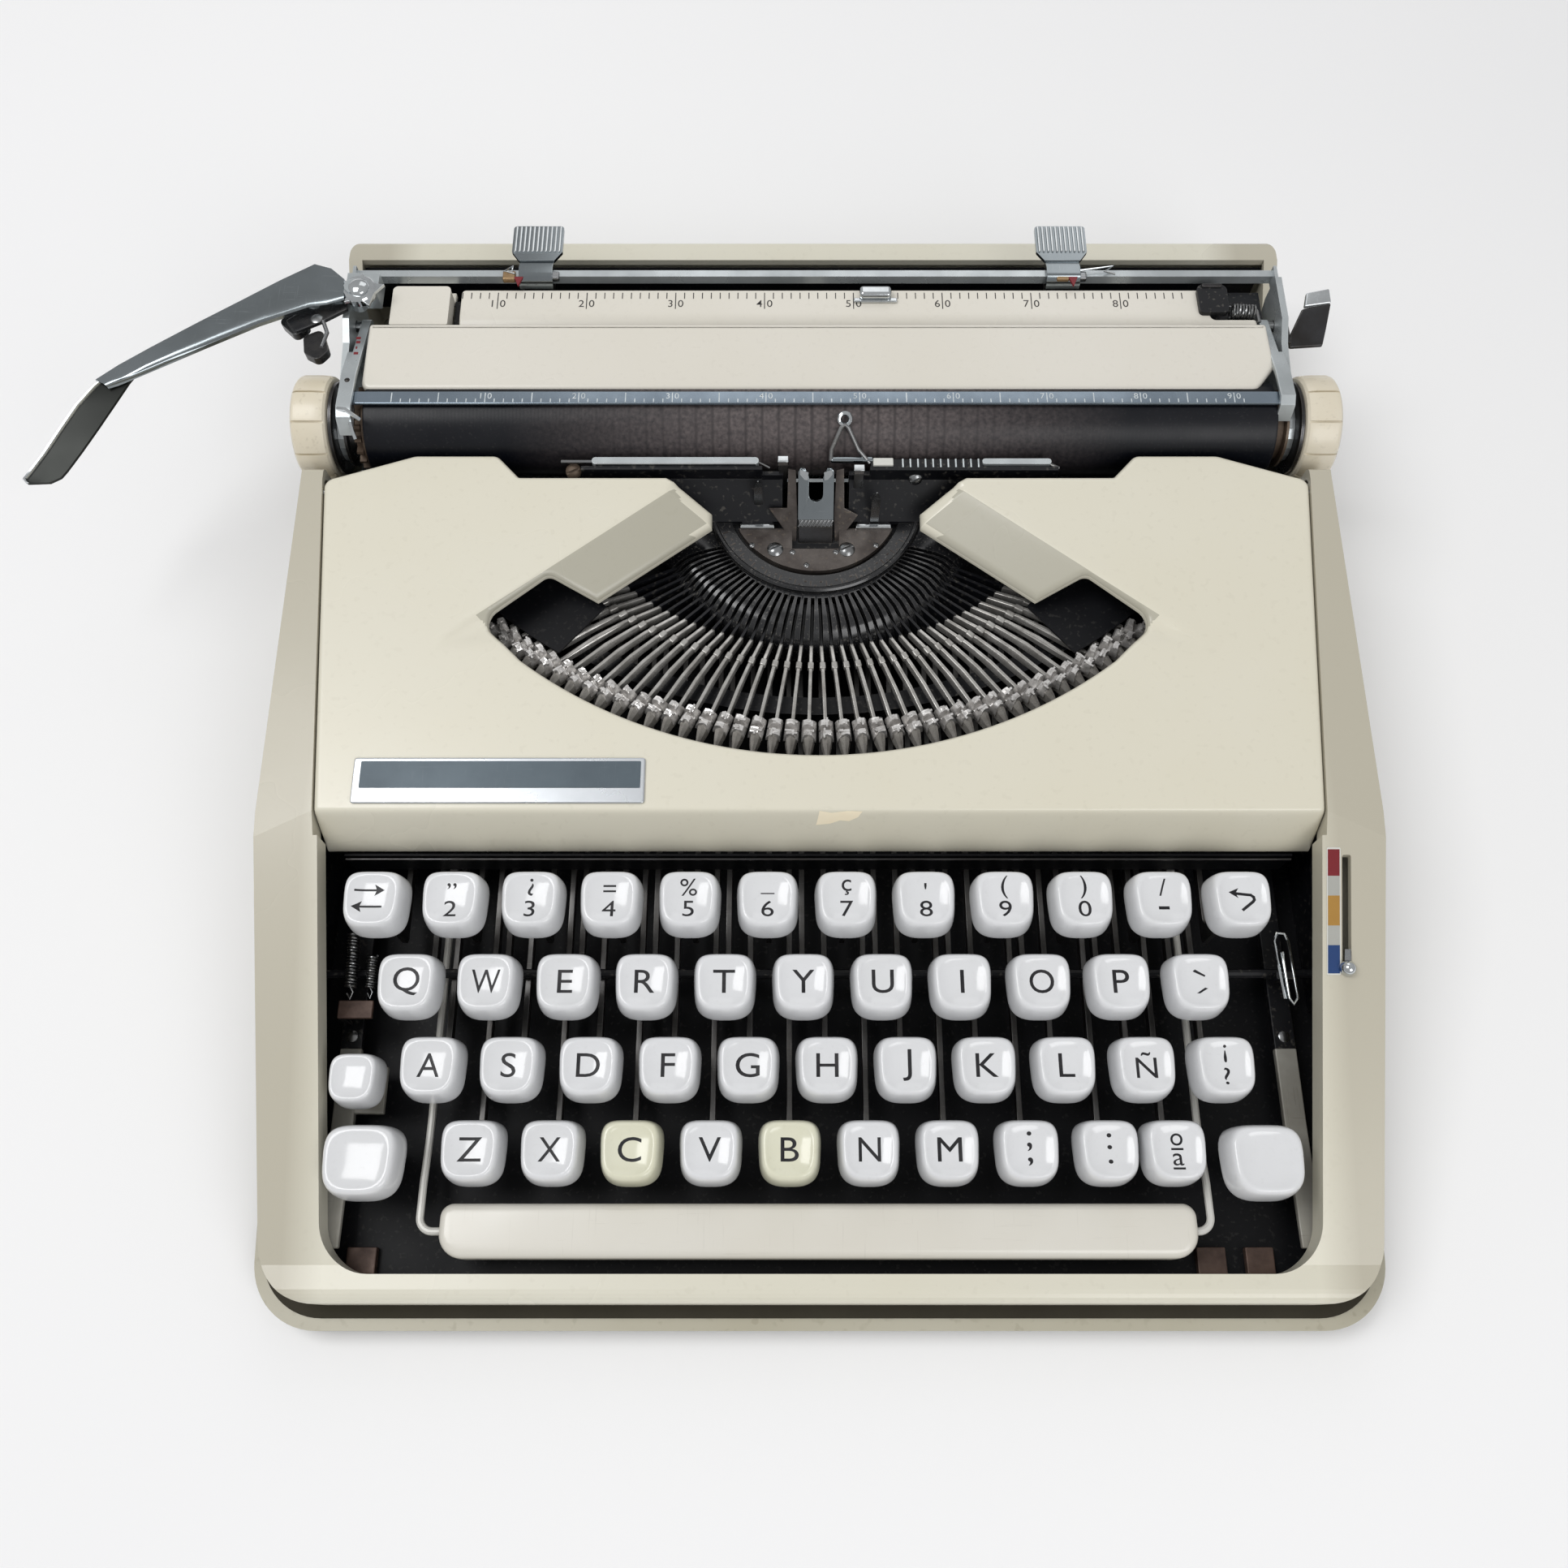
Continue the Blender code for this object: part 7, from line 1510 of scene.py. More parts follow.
# The sloping fork at the printing point, its side blades and the posts beside it
def buildGuide(s):
    (topY, topZ), (runY, runZ) = s["guideTop"], s["guideSlope"]

    def onSlope(shape):
        return reshaped(shape, lambda x, down, lift: (x, topY + runY * down + runZ * lift,
            topZ + runZ * down - runY * lift))

    u = arc((0, 7.4), 1.9, math.radians(0), math.radians(180), 12)
    fork = [(-4.9, 14.6), (-4.9, 1), (-4.3, 0), (-3, 0), (-1.9, 2.6)] + list(reversed(u)) + [(1.9, 2.6), (3, 0),
        (4.3, 0), (4.9, 1), (4.9, 14.6)]
    shapes = [onSlope(bevelled(plate("fork", [fork], -0.7, 0.7, chromePlate), 0.2, 2))]
    for side in (-1, 1):
        lug = [(side * x, y) for x, y in ((2.1, 1), (4.4, 0.2), (4.4, 1.6), (3.2, 3), (2.3, 3.2))]
        shapes.append(onSlope(plate("forkLug", [lug if side > 0 else lug[::-1]], 0.6, 1.3, brightChrome)))
        blade = [(side * x, y) for x, y in ((5.5, 1), (7.6, 0.5), (7.9, 11.6), (12.4 - side * 0.6, 12.6 + side),
            (5.4, 22.5), (5.1, 14))]
        shapes.append(onSlope(bevelled(plate("forkBlade", [blade if side > 0 else blade[::-1]], -1.4, -0.6, oiledPlate),
            0.15, 2)))
    shapes += [
        onSlope(box("forkFoot", (-4.8, 16, -1.6), (4.8, 24, 0), darkSteel, 0.3)),
        onSlope(box("knurlBed", (-4.8, 14.4, -1), (4.8, 16.8, 0.3), bareSteel, 0.4)),
    ]
    knurl = box("knurl", (-0.3, -1.2, -0.3), (0.3, 1.2, 0.5), bareSteel, 0.15)
    knurl.data.transform(Matrix.Rotation(0.5, 4, "Z"))
    shapes.append(onSlope(inRow("knurls", knurl, bareSteel, 9, (-4.2, 15.6, 0.2), 1.05)))
    for x, y, low, high in ((-15.8, 213.2, 33, 49.6), (16.3, 209.4, 33, 49.8)):
        shapes.append(lofted("post", [[(x + i * w, y + j * w * 0.6, z) for i, j in ((-1, -1), (1, -1), (1, 1), (-1, 1))]
                                      for w, z in ((1.15, low), (1.15, high - 2.6), (0.8, high - 1.4), (0.2, high))],
                                              bareSteel))
    for x, y, low, high in ((-9, 218.2, 38.4, 52.3), (11.6, 216.2, 36.8, 51.2)):
        shapes += [
            lofted("prong", [[(x + i * w, y + j * w * 0.6, z) for i, j in ((-1, -1), (1, -1), (1, 1), (-1, 1))]
                                       for w, z in ((0.25, low), (0.9, low + 1.6), (1.2, low + 2.6), (1.2, high))],
                                               bareSteel),
            box("prongBand", (x - 1.45, y - 1, high - 1.4), (x + 1.45, y + 1, high + 0.5), brightChrome, 0.2),
        ]
    return shapes


def buildCardHolder():
    shapes = [box("holderLeft", (-64, 217, 45.2), (-14.6, 218.3, 49.6), blackSteel, 0.3),
        box("holderRight", (14.6, 217, 42.5), (66, 218.3, 49.4), blackSteel, 0.3)]
    for side in (-1, 1):
        back = lofted("segmentBack", [[(side * 9.2, y, z), (side * 46, y, z), (side * 46, y, z - 1.4),
            (side * 9.2, y, z - 1.4)] for y, z in ((217.2, 45), (209.5, 35.6))], blackSteel)
        shapes.append(back)
        foot = box("holderFoot", (side * 9, 217, 27), (side * 14.8, 218.2, 47), blackSteel)
        shapes.append(foot)
    strip = rectangle(-61, -15.6, 218.4, 220.6, 1, 1, 5)
    shapes += [
        bevelled(plate("holderStrip", [strip], 48, 50.2, armSteel), 0.7, 3),
        # a bright chrome line along the strip's front edge: a painted highlight
        box("stripLine", (-60, 218.3, 49.2), (-16.4, 218.8, 50.3), brightChrome, 0.2),
        wire("stripTail", [(-69.5, 220.2, 48.6), (-60.5, 219.6, 49.4)], 0.55, bareSteel),
        wire("stripTip", [(-15.8, 219.4, 49.6), (-12.6, 217.9, 49)], 0.3, bareSteel),
        box("holderBlock", (15.5, 218.2, 47.6), (21, 220.6, 50), paleEnamel, 0.3),
        box("holderTickBed", (14.8, 218, 46), (45.6, 220.7, 49.3), blackSteel, 0.3),
    ]
    tick = box("tick", (-0.2, -1.5, -0.1), (0.2, 1.2, 0.12), whiteInk)
    shapes.append(inRow("holderTicks", tick, whiteInk, 11, (23.6, 219.4, 49.3), 2.06))
    edge = rectangle(45.2, 64, 218.6, 220.4, 0.8, 0.8, 4)
    shapes += [
        bevelled(plate("holderEdge", [edge], 48.4, 49.9, armSteel), 0.5, 3),
        wire("edgeTip", [(62.5, 219.6, 49.2), (66.2, 218.4, 48.2)], 0.5, bareSteel),
        screws([(27.3, 216.8, 45.6)], 1.9, bareSteel, (math.radians(60), 0, 0)),
        screws([(-66.4, 218.6, 46.4)], 2.2, agedIron, (math.radians(30), 0, 0)),
    ]
    # the finger that holds the paper's edge against the roller
    ring = [(7.7 + 1.55 * math.cos(a), 228.7 + 1.2 * math.sin(a), 56 + 1 * math.sin(a))
        for a in [math.tau * i / 20 for i in range(20)]]
    shapes.append(wire("fingerEye", ring, 0.62, brightChrome, True))
    loop = [(4, 220.2, 49.2), (4.2, 222.4, 51.2), (6.7, 226.8, 54.8), (7.7, 227.4, 55.2), (8.7, 226.8, 54.8),
        (11.4, 222.4, 51.2), (14.6, 219.6, 48.8)]
    shapes += [
        wire("fingerLoop", loop, 0.62, bareSteel),
        box("fingerBase", (4, 219.6, 48.4), (15.6, 221.2, 49.9), chromePlate, 0.5),
    ]
    return shapes


def buildBasket(s):
    settle("typeBasket", buildBars(s) + buildRing(s) + buildGuide(s) + buildCardHolder(), "case", ["type_basket"],
        30)


buildBasket(basketSizes)
print("basket ready")


# Roller, its ratchet and the two fluted knobs
platenSizes = {"left": -123.4, "right": 125.65, "radius": 12.8, "teeth": 20, "knobInner": 133, "knobRadius": 14.3,
    "flutes": 10, "fluteWidth": 0.65, "fluteDepth": 0.7}


def turnedX(name, profile, x, side, finish, sides=64):
    return turned(name, profile, (x, machine["platenY"], machine["platenZ"]), (side, 0, 0), finish, sides)


def buildPlaten(s):
    centre, long = (0, machine["platenY"], machine["platenZ"]), s["right"] - s["left"]
    r = s["radius"]
    shapes = [turnedX("roller", [(0, 0), (r - 0.8, 0), (r - 0.2, 0.2), (r, 0.8), (r, long - 0.8), (r - 0.2, long - 0.2),
        (r - 0.8, long), (0, long)], s["left"], 1, platenRubber)]
    shapes += [
        turnedX("axle", [(0, 0), (2.9, 0), (2.9, 272), (0, 272)], -136, 1, darkSteel, 24),
        turnedX("ratchet", [(0, 0), (9.8, 0), (9.8, 2), (0, 2)], -126.2, 1, agedIron, 40),
        turnedX("flange", [(0, 0), (10.6, 0), (11.6, 0.3), (11.6, 0.9), (0, 0.9)], -124.3, 1, agedIron, 48),
    ]
    tooth = plate("tooth", [[(9.4, -1.1), (11.4, -0.5), (11.4, 0.3), (9.4, 1.1)]], -126.2, -124.4, agedIron, "YZ")
    shapes.append(copies("teeth", ringTree, [tooth], agedIron, {"Count": s["teeth"], "Centre": centre}))
    for side in (-1, 1):
        hub = [(0, 0), (11.6, 0), (12.6, 0.4), (12.6, 1.2), (11.8, 1.5), (0, 1.5)]
        shapes.append(turnedX("hubDisc", hub, side * 131.5, side, darkSteel))
        bush = [(0, 0), (8, 0), (8.6, 0.4), (8.6, 2), (10.4, 2.3), (10.4, 3), (0, 3)]
        shapes.append(turnedX("bush", bush, side * 126.4, side, agedIron if side > 0 else darkSteel))
        big = s["knobRadius"]
        profile = [(0, 0), (12.2, 0), (13.3, 0.2), (13.9, 0.8), (14.15, 1.8), (big, 4), (big, 8.2), (big - 0.3, 9.1),
            (big - 1, 9.7), (big - 2.4, 10.1), (9, 10.5), (4, 10.7), (0, 10.75)]
        knob = turnedX("knob", profile, side * s["knobInner"], side, knobPlastic, 96)
        inner, outer = sorted((side * (s["knobInner"] - 1), side * (s["knobInner"] + 9.3)))
        flute = box("flute", (inner, big - s["fluteDepth"], -s["fluteWidth"] / 2),
            (outer, big + 2, s["fluteWidth"] / 2), knobPlastic)
        flute.data.transform(Matrix.Rotation(0.2, 4, "X"))
        flutes = copies("flutes", ringTree, [flute], knobPlastic, {"Count": s["flutes"], "Centre": centre})
        shapes.append(cut(knob, flutes))
    settle("rollerLook", shapes, "platen_body", ["platen"], 30)


# Paper table with its scale, and the raised block at its left end
tableSizes = {
    "left": -124.6, "right": 126, "front": 238.7, "rear": 259, "frontZ": 55.8, "rise": 0.13, "sheet": 1.4,
    "scaleLeft": -99.9, "scaleRight": 111, "scaleRear": 273.7, "scaleZ": 55, "stepRear": 264.9, "stepRight": 124,
    "block": (-118.6, -102.4, 259.6, 273), "tickPitch": 2.508, "tickFirst": 6, "tickCount": 82, "twenty": -64.4,
        "number": 2.5,
}


def numbers(values, place, pitch, zero, y, z, size, finish, gap=1.45):
    bm = bmesh.new()
    for value in values:
        for digit, side in zip(str(value), (-1, 1)):
            bm.from_mesh(movedMesh(flatText(digit, size / 0.729, 1, -0.01), place + (value - zero) * pitch + side * gap,
                y))
    for v in bm.verts:
        v.co.z = z
    return painted(shapeFrom("numbers", bm, tidy=False), finish)


def buildPaperTable(s):
    outline = rounded([(s["left"], s["front"], 2.5), (s["right"] - 5.5, s["front"], 2), (s["right"], s["front"] + 7, 2),
        (s["right"] - 1.2, s["rear"], 1), (s["left"] + 1, s["rear"], 1)], 5)
    sheet = painted(shapeFrom("table", rolledPlate(outline, s["sheet"], 1.1, 4)), tablePaint)
    shapes = [reshaped(sheet, lambda x, y, z: (x, y, z + (s["frontZ"] + (y - s["front"]) * s["rise"])))]
    steps = rounded([(s["scaleLeft"], s["rear"] - 1.5, 0), (s["stepRight"], s["rear"] - 1.5, 0),
        (s["stepRight"], s["stepRear"] - 1.4, 1), (s["scaleRight"], s["stepRear"] - 1.4, 1.5),
                     (s["scaleRight"], s["scaleRear"], 2.4), (s["scaleLeft"], s["scaleRear"], 1.2)], 5)
    bm = rolledPlate(steps, 1.2, 0.5, 3)
    sliced(bm, [(0, y, 0) for y in (260.2, 261.2, 262.2, 263.2, 264.4, 265.6, 272.6)])
    # the strip rounds over ahead of the sheet's rear edge
    for v in bm.verts:
        ahead = max(0, 265.6 - v.co.y)
        v.co.z += s["scaleZ"] - 0.055 * ahead ** 2
    shapes.append(painted(shapeFrom("scale", bm), tablePaint))
    left, right, front, rear = s["block"]
    shapes += [
        bevelled(plate("block", [rectangle(left, right, front, rear, 0.4, 1.4)], 52.4, 57.2, tablePaint), 0.7, 3),
        box("blockStep", (left, rear - 0.5, 49.4), (right, rear + 3, 51.2), tablePaint, 0.4),
        box("slotFloor", (right, 259, 50), (s["scaleLeft"] + 0.3, rear - 0.3, 51.3), blackSteel),
        box("cutFloor", (s["scaleRight"] - 0.5, s["stepRear"] - 2, 50), (127, 276, 51.2), blackSteel),
    ]
    half = s["number"] / 2
    tick = box("tick", (-0.13, -2.1, 0), (0.13, 0, 0.05), scaleInk)
    start = s["twenty"] + (s["tickFirst"] - 20) * s["tickPitch"]
    shapes += [
        inRow("scaleTicks", tick, scaleInk, s["tickCount"], (start, 272.6, s["scaleZ"]), s["tickPitch"], s["tickFirst"],
            10, 2.7),
        numbers(range(10, 90, 10), s["twenty"], s["tickPitch"], 20, 269.3 - half * 0.4, s["scaleZ"] + 0.03, s["number"],
            scaleInk),
    ]
    for x in (-88.2, 0, 88.2):
        shapes.append(box("tableLeg", (x - 3, 261, 34.6), (x + 3, 272.8, 54.2), tablePaint, 0.3))
    settle("paperTable", shapes, "carriage", ["paper_table"], 30)


# Paper bail with its white scale
bailSizes = {"front": 232.7, "rear": 236.7, "low": 56.6, "high": 57.6, "half": 126.6, "pitch": 2.536, "ten": -89.7,
    "count": 92}


def buildBail(s):
    outline = rectangle(-s["half"], s["half"], s["front"], s["rear"])
    # the bar's blue cast is a painted reflection
    shapes = [bevelled(plate("bailBar", [outline], s["low"], s["high"], bailSteel), 0.3, 2)]
    tick = box("tick", (-0.14, 0, -0.02), (0.14, 1.15, 0.04), whiteInk)
    shapes += [
        inRow("bailTicks", tick, whiteInk, s["count"], (s["ten"] - 10 * s["pitch"], s["front"] + 0.35, s["high"]),
            s["pitch"], 0, 5, 2.7),
        numbers(range(10, 100, 10), s["ten"], s["pitch"], 10, s["front"] + 2.4, s["high"] + 0.03, 1.9, whiteInk, 1.2),
    ]
    for side in (-1, 1):
        xs = sorted((side * 129.3, side * 125.2))
        profile = [(262.3, 50.4), (262.6, 49.3), (264.1, 48.9), (265.6, 49.6), (266, 51), (265.5, 52.3), (264.5, 52.8),
            (242, 58.6), (230.6, 59.4), (227.6, 58),
                   (225.4, 53), (226.4, 53.4), (228.6, 57), (231.4, 58.2), (241, 57.3), (262, 51.8)]
        if side > 0:
            profile = [(y if y > 245 else 245 - (245 - y) * 0.76, z) for y, z in profile]
        strip = plate("bailArm", [profile], xs[0], xs[1], armSteel, "YZ")
        # the root is narrower, to pass inside the carriage's end plate and shelf
        room = box("armRoom", (min(side * 127.9, side * 129.9), 251, 40), (max(side * 127.9, side * 129.9), 270, 70),
            armSteel)
        shapes.append(bevelled(cut(strip, room), 0.25, 2, 40))
        pin = [(0, 0), (1.5, 0), (1.5, 3.6), (0, 3.6)]
        shapes.append(turned("bailPin", pin, (side * 127.8, 264.1, 51), (side, 0, 0), bareSteel, 20))
    shapes.append(screws([(-127.3, 239.4, 58.6)], 0.9, darkSteel))
    for y, left, right in ((256.4, -127.9, -126.7), (254.6, -127.6, -126.5), (252.2, -127.3, -126.9),
            (249.8, -127.4, -126.2)):
        rise = 52.8 + (264.5 - y) * 0.2578
        shapes.append(box("printMark", (left, y, rise - 0.5), (right, y + 0.8, rise + 0.04), redEnamel))
    shapes += [
        wire("noseClip", [(-128.8, 230, 58.9), (-126.4, 229.4, 59.3), (-124.6, 228.2, 58.6), (-122.9, 227.6, 57.2)],
            0.55, brightChrome),
        wire("noseHook", [(-125.4, 226.6, 57.2), (-125, 224.9, 55.8), (-124.4, 223.4, 54.4)], 0.5, brightChrome),
    ]
    settle("paperBail", shapes, "bail_body", ["paper_bail"], 32)


# Return lever: a pressed blade that ends in a flat thumb pad
leverSizes = {
    "pivot": (-127.8, 267.7), "reach": 68, "high": 63.2, "low": 60.6,
    "back": ((0.04, 0.04), (0.1, 0.095), (0.171, 0.118), (0.3, 0.035), (0.44, -0.065), (0.6, -0.178), (0.769, -0.302),
        (0.88, -0.388), (0.96, -0.462)),
    "front": ((0.03, -0.06), (0.1, -0.085), (0.164, -0.094), (0.27, -0.14), (0.361, -0.18), (0.55, -0.285),
        (0.772, -0.412), (0.86, -0.462), (0.912, -0.49)),
    "pad": (((-190.6, 237.6), (-182.4, 241.4), 62.3), ((-194.2, 234.6), (-185.4, 237.2), 61.4),
        ((-198.6, 229.6), (-188.8, 231.4), 60), ((-202.6, 222.8), (-192.8, 224.6), 58.4),
            ((-206, 216.2), (-196.6, 217.8), 57.2), ((-208.8, 211), (-199.6, 212.2), 56.6),
                ((-210, 208.9), (-200.8, 210.4), 56.4), ((-209, 207.8), (-203.4, 208.8), 56.4)),
}


def buildReturnLever(s):
    px, py = s["pivot"]
    rings = []
    for back, front in zip(s["back"], s["front"]):
        b = Vector((px - back[0] * s["reach"], py + back[1] * s["reach"]))
        f = Vector((px - front[0] * s["reach"], py + front[1] * s["reach"]))
        across = [(0, -1), (0, -0.35), (0.06, -0.05), (0.3, 0), (0.7, -0.02), (0.93, -0.3), (1, -0.85), (1, -2),
            (0.93, -2), (0.9, -1.1), (0.5, -0.85), (0.06, -1)]
        rings.append([(*(b + (f - b) * share), s["high"] + z) for share, z in across])
    shapes = [lofted("leverBlade", rings, chromePlate)]
    # the pad leans to the front, and its upper edge carries a rolled rim; the pad is painted dark as shade and the rim
    # bright as a highlight
    crosses = {"thumbPad": (padSteel, ((0.05, 0.1), (0.5, -0.3), (1, -0.9), (1, -1.7), (0.5, -1.2), (0.05, -0.7))),
               "padRim": (brightChrome, ((0, -0.2), (0, 0.5), (0.03, 0.85), (0.09, 0.85), (0.13, 0.3), (0.13, -0.4)))}
    for name, (tone, cross) in crosses.items():
        rings = []
        for left, right, z in s["pad"]:
            left, right = Vector(left), Vector(right)
            rings.append([(*(left + (right - left) * share), z + lift) for share, lift in cross])
        shapes.append(lofted(name, rings, tone))
    boss = [(0, 0), (4.6, 0), (4.6, 2), (4.2, 2.4), (2.9, 2.4), (2.8, 2.8), (2.3, 3.3), (1.2, 3.7), (0, 3.85)]
    shapes.append(turned("leverBoss", boss, (px + 1.6, py - 0.4, s["low"]), (0, 0, 1), brightChrome, 40))
    ears = [(-5.6, 3.2), (-1.6, 2.4), (0.4, 5.4), (2.6, 2.2), (6.8, 1.6), (4.2, -1.6), (3.4, -5.8), (0.2, -3.2),
        (-3.6, -4.6), (-3, -0.6)]
    shapes.append(bevelled(plate("pivotEars", [[(px + 1.6 + x, py - 0.4 + y) for x, y in reversed(ears)]], 61.6, 62.6,
        brightChrome), 0.35, 2))
    settle("returnLever", shapes, "return_lever_body", ["return_lever"], 40)


# Margin stops: a ribbed tab on a clip, with a red pointer
def buildStop(name, x, side, body, node):
    curve = [(274.4, 51.6), (275.2, 55.6), (276.6, 57.4), (279.4, 57.9), (281.6, 57), (284, 56.8), (294.2, 57.2),
        (294.8, 56.4), (284, 55.6), (281.4, 55.8), (280, 56.7), (277.6, 56.5), (276.4, 55), (275.6, 51.6)]
    stem = bevelled(plate("stopStem", [curve], x - 4.8, x + 4.8, chromePlate, "YZ"), 0.25, 2, 50)
    tab = rounded([(x - 5, 282, 0.6), (x + 5, 282, 0.6), (x + 7.2, 285.2, 0.8), (x + 7.2, 294.6, 1),
        (x - 7.2, 294.6, 1), (x - 7.2, 285.2, 0.8)], 4)
    shapes = [stem, bevelled(plate("stopTab", [tab], 56.4, 57.4, chromePlate), 0.35, 2)]
    rib = bevelled(box("rib", (-0.36, 285, 57.2), (0.36, 294.2, 57.85), brightChrome), 0.25, 2)
    shapes += [
        inRow("ribs", rib, brightChrome, 11, (x - 6.25, 0.0, 0.0), 1.25),
        bevelled(plate("stopFoot", [[(276.6, 50.4), (276.6, 52.4), (280.6, 52.4), (280.6, 57), (281.4, 57),
            (281.4, 51.2), (280.6, 50.4)]], x - 4.6, x + 4.6, darkSteel, "YZ"), 0.25, 2),
    ]
    tip = x - 4.7 if side < 0 else x + 2.6
    shapes += [
        plate("pointer", [[(tip, 273.2), (tip + 1.3, 276.4), (tip - 1.3, 276.4)]], 56.6, 57.2, redEnamel),
        box("pointerBlock", (tip - 4.6, 275.6, 55.4), (tip - 1, 278.6, 57.2), brassTone, 0.4),
        box("pointerArm", (min(tip, x + 6), 276.2, 55.2), (max(tip, x + 6.6), 278.8, 56.9), bareSteel, 0.4),
    ]
    out = tip + (9 if side > 0 else -4.2)
    shapes.append(wire("stopWire", [(tip - 2, 278, 57.2), (out + 2.5, 279.8, 57.6), (out, 278.2, 57.3),
        (out + 3, 277.4, 57.2)], 0.35, brightChrome))
    settle(name, shapes, body, [node], 32)


# Carriage release lever at the right end
def buildRelease():
    arm = plate("releaseArm", [[(255.2, 40.7), (259, 40.7), (263.4, 53.6), (256.4, 53.6)]], 131.8, 133.1, darkSteel,
        "YZ")
    shapes = [bevelled(arm, 0.25, 2, 40)]
    rings = [[(133, 256, 52), (142.2, 256.4, 52.4), (142.2, 256.4, 51.4), (133, 256, 51)],
             [(133.4, 259.5, 53.2), (143.2, 260.4, 54), (143.2, 260.9, 53), (133.4, 260, 52.2)],
             [(136, 264.6, 55.4), (144.2, 265.8, 56.6), (144.2, 266.4, 55.6), (136, 265.2, 54.4)],
             [(136.6, 265.8, 56.2), (144.3, 266.8, 57.4), (144.3, 267.4, 56.2), (136.6, 266.4, 55.2)]]
    shapes.append(bevelled(lofted("releaseTab", rings, darkSteel), 0.35, 2, 50))
    top = [[(136.8, 266, 57.3), (144.2, 266.8, 57.9), (144.2, 266.8, 56.4), (136.8, 266, 55.8)],
        [(137.8, 270.4, 57.6), (144.2, 271.4, 58.2), (144.2, 271.4, 56.8), (137.8, 270.4, 56.2)]]
    shapes += [
        bevelled(lofted("releaseEdge", top, brightChrome), 0.4, 3, 50),
        turned("releasePin", [(0, 0), (1.6, 0), (1.6, 3), (2.4, 3.2), (2.4, 4), (1.8, 4.4), (0, 4.5)],
            (129.5, 257.1, 42.7), (1, 0, 0), bareSteel, 24),
    ]
    settle("releaseLever", shapes, "release_body", ["carriage_release_lever"], 34)


# Ribbon selector: a bright domed knob on a slider in the sloping slot
def buildSelector(s):
    run = machine["creaseY"] - 14.4
    up = Vector((0.05 * run, run, machine["creaseZ"] - machine["frontBarTop"])).normalized()
    normal = Vector((1, 0, 0)).cross(up).normalized()
    place = Vector((wellSide(81.6) + s["across"], 81.6, railAt(81.6)))
    knob = [(0, -4.4), (1, -4.4), (1, 0.1), (1.9, 0.2), (2, 0.6), (1.8, 1.4), (1.3, 2.2), (0.6, 2.6), (0, 2.7)]
    shapes = [turned("selectorKnob", knob, place, normal, brightChrome, 32)]
    tongue = [place + up * share + Vector((side, 0, 0)) + normal * 0.12 for share,
        side in ((-1.2, -0.9), (-1.2, 0.9), (4.6, 0.7), (4.6, -0.7))]
    shapes.append(lofted("selectorTongue", [tongue, [corner + normal * 0.5 for corner in tongue]], bareSteel))
    settle("selector", shapes, "selector_body", ["colour_selector"], 40)


leverShadow = finish("leverShadow", (30, 31, 34), (58, 56, 54), 0.28, metallic=0.4, scale=160, amount=0.8, spread=0.14,
                     wear=(0.0005, 0.6, (150, 150, 150)))
# a dark copy of the lever's chrome for the thumb pad: painted shade
padSteel = finish("padSteel", (38, 40, 38), (28, 30, 28), 0.34, metallic=0.7, scale=24, amount=0.8, spread=0.12)
brassTone = finish("brassTone", (176, 148, 112), (130, 104, 76), 0.34, metallic=0.8, scale=200, amount=0.7)
buildPlaten(platenSizes)
buildPaperTable(tableSizes)
buildBail(bailSizes)
buildReturnLever(leverSizes)
buildStop("leftStop", -79, -1, "left_stop_body", "margin_stop_left")
buildStop("rightStop", 70.3, 1, "right_stop_body", "margin_stop_right")
buildRelease()
buildSelector({"across": 5.9})
print("carriage ready")


# Springs and brackets that the case and the carriage carry, and black sheets painted as shade in the well and the
# cover's lobes
springTree, given = geometryTree("springCoil", {"Spots": "Geometry", "Turns": "Float", "Radius": "Float",
    "Length": "Float",
                                                "Thick": "Float", "Material": "Material"})
turns = addNode(springTree, "GeometryNodeCurveSpiral", {"Resolution": 14, "Rotations": given["Turns"],
    "Start Radius": given["Radius"],
                                                       "End Radius": given["Radius"], "Height": given["Length"]})
ring = addNode(springTree, "GeometryNodeCurvePrimitiveCircle", {"Resolution": 6, "Radius": given["Thick"]})
endTree(springTree, given, addNode(springTree, "GeometryNodeCurveToMesh", {
    "Curve": turns.outputs[0], "Profile Curve": ring.outputs[0], "Fill Caps": True}))


def spring(start, end, turns, radius, thick, finish):
    start, run = Vector(start), Vector(end) - Vector(start)
    sizes = {"Turns": float(turns), "Radius": radius, "Length": run.length, "Thick": thick}
    made = grown("spring", (), springTree, sizes, finish)
    made.data.transform(Matrix.Translation(start) @ run.to_track_quat("Z", "Y").to_matrix().to_4x4())
    return made


rustedPlate = finish("rustedPlate", (104, 84, 74), (70, 54, 48), 0.5, metallic=0.35, scale=160, amount=0.9, spread=0.2)
chipPaint = finish("chipPaint", (252, 240, 212), (246, 226, 190), 0.5, scale=80, amount=0.6)
detailSizes = {
    "blackSheet": 135.3, "rearShadeY": 298.75, "rearShadeLow": 20, "rearShadeTop": 36.4,
    "shadeRadius": 132.6, "shadeLow": 36.9, "shadeHigh": 37.5,
    "chip": ((0, 118.9), (3, 118.6), (7, 118.9), (10.6, 118.8), (9.6, 117.9), (7.4, 117.3), (5.2, 117.4), (2.6, 116.9),
        (-0.8, 116.7), (-0.4, 117.6)),
}


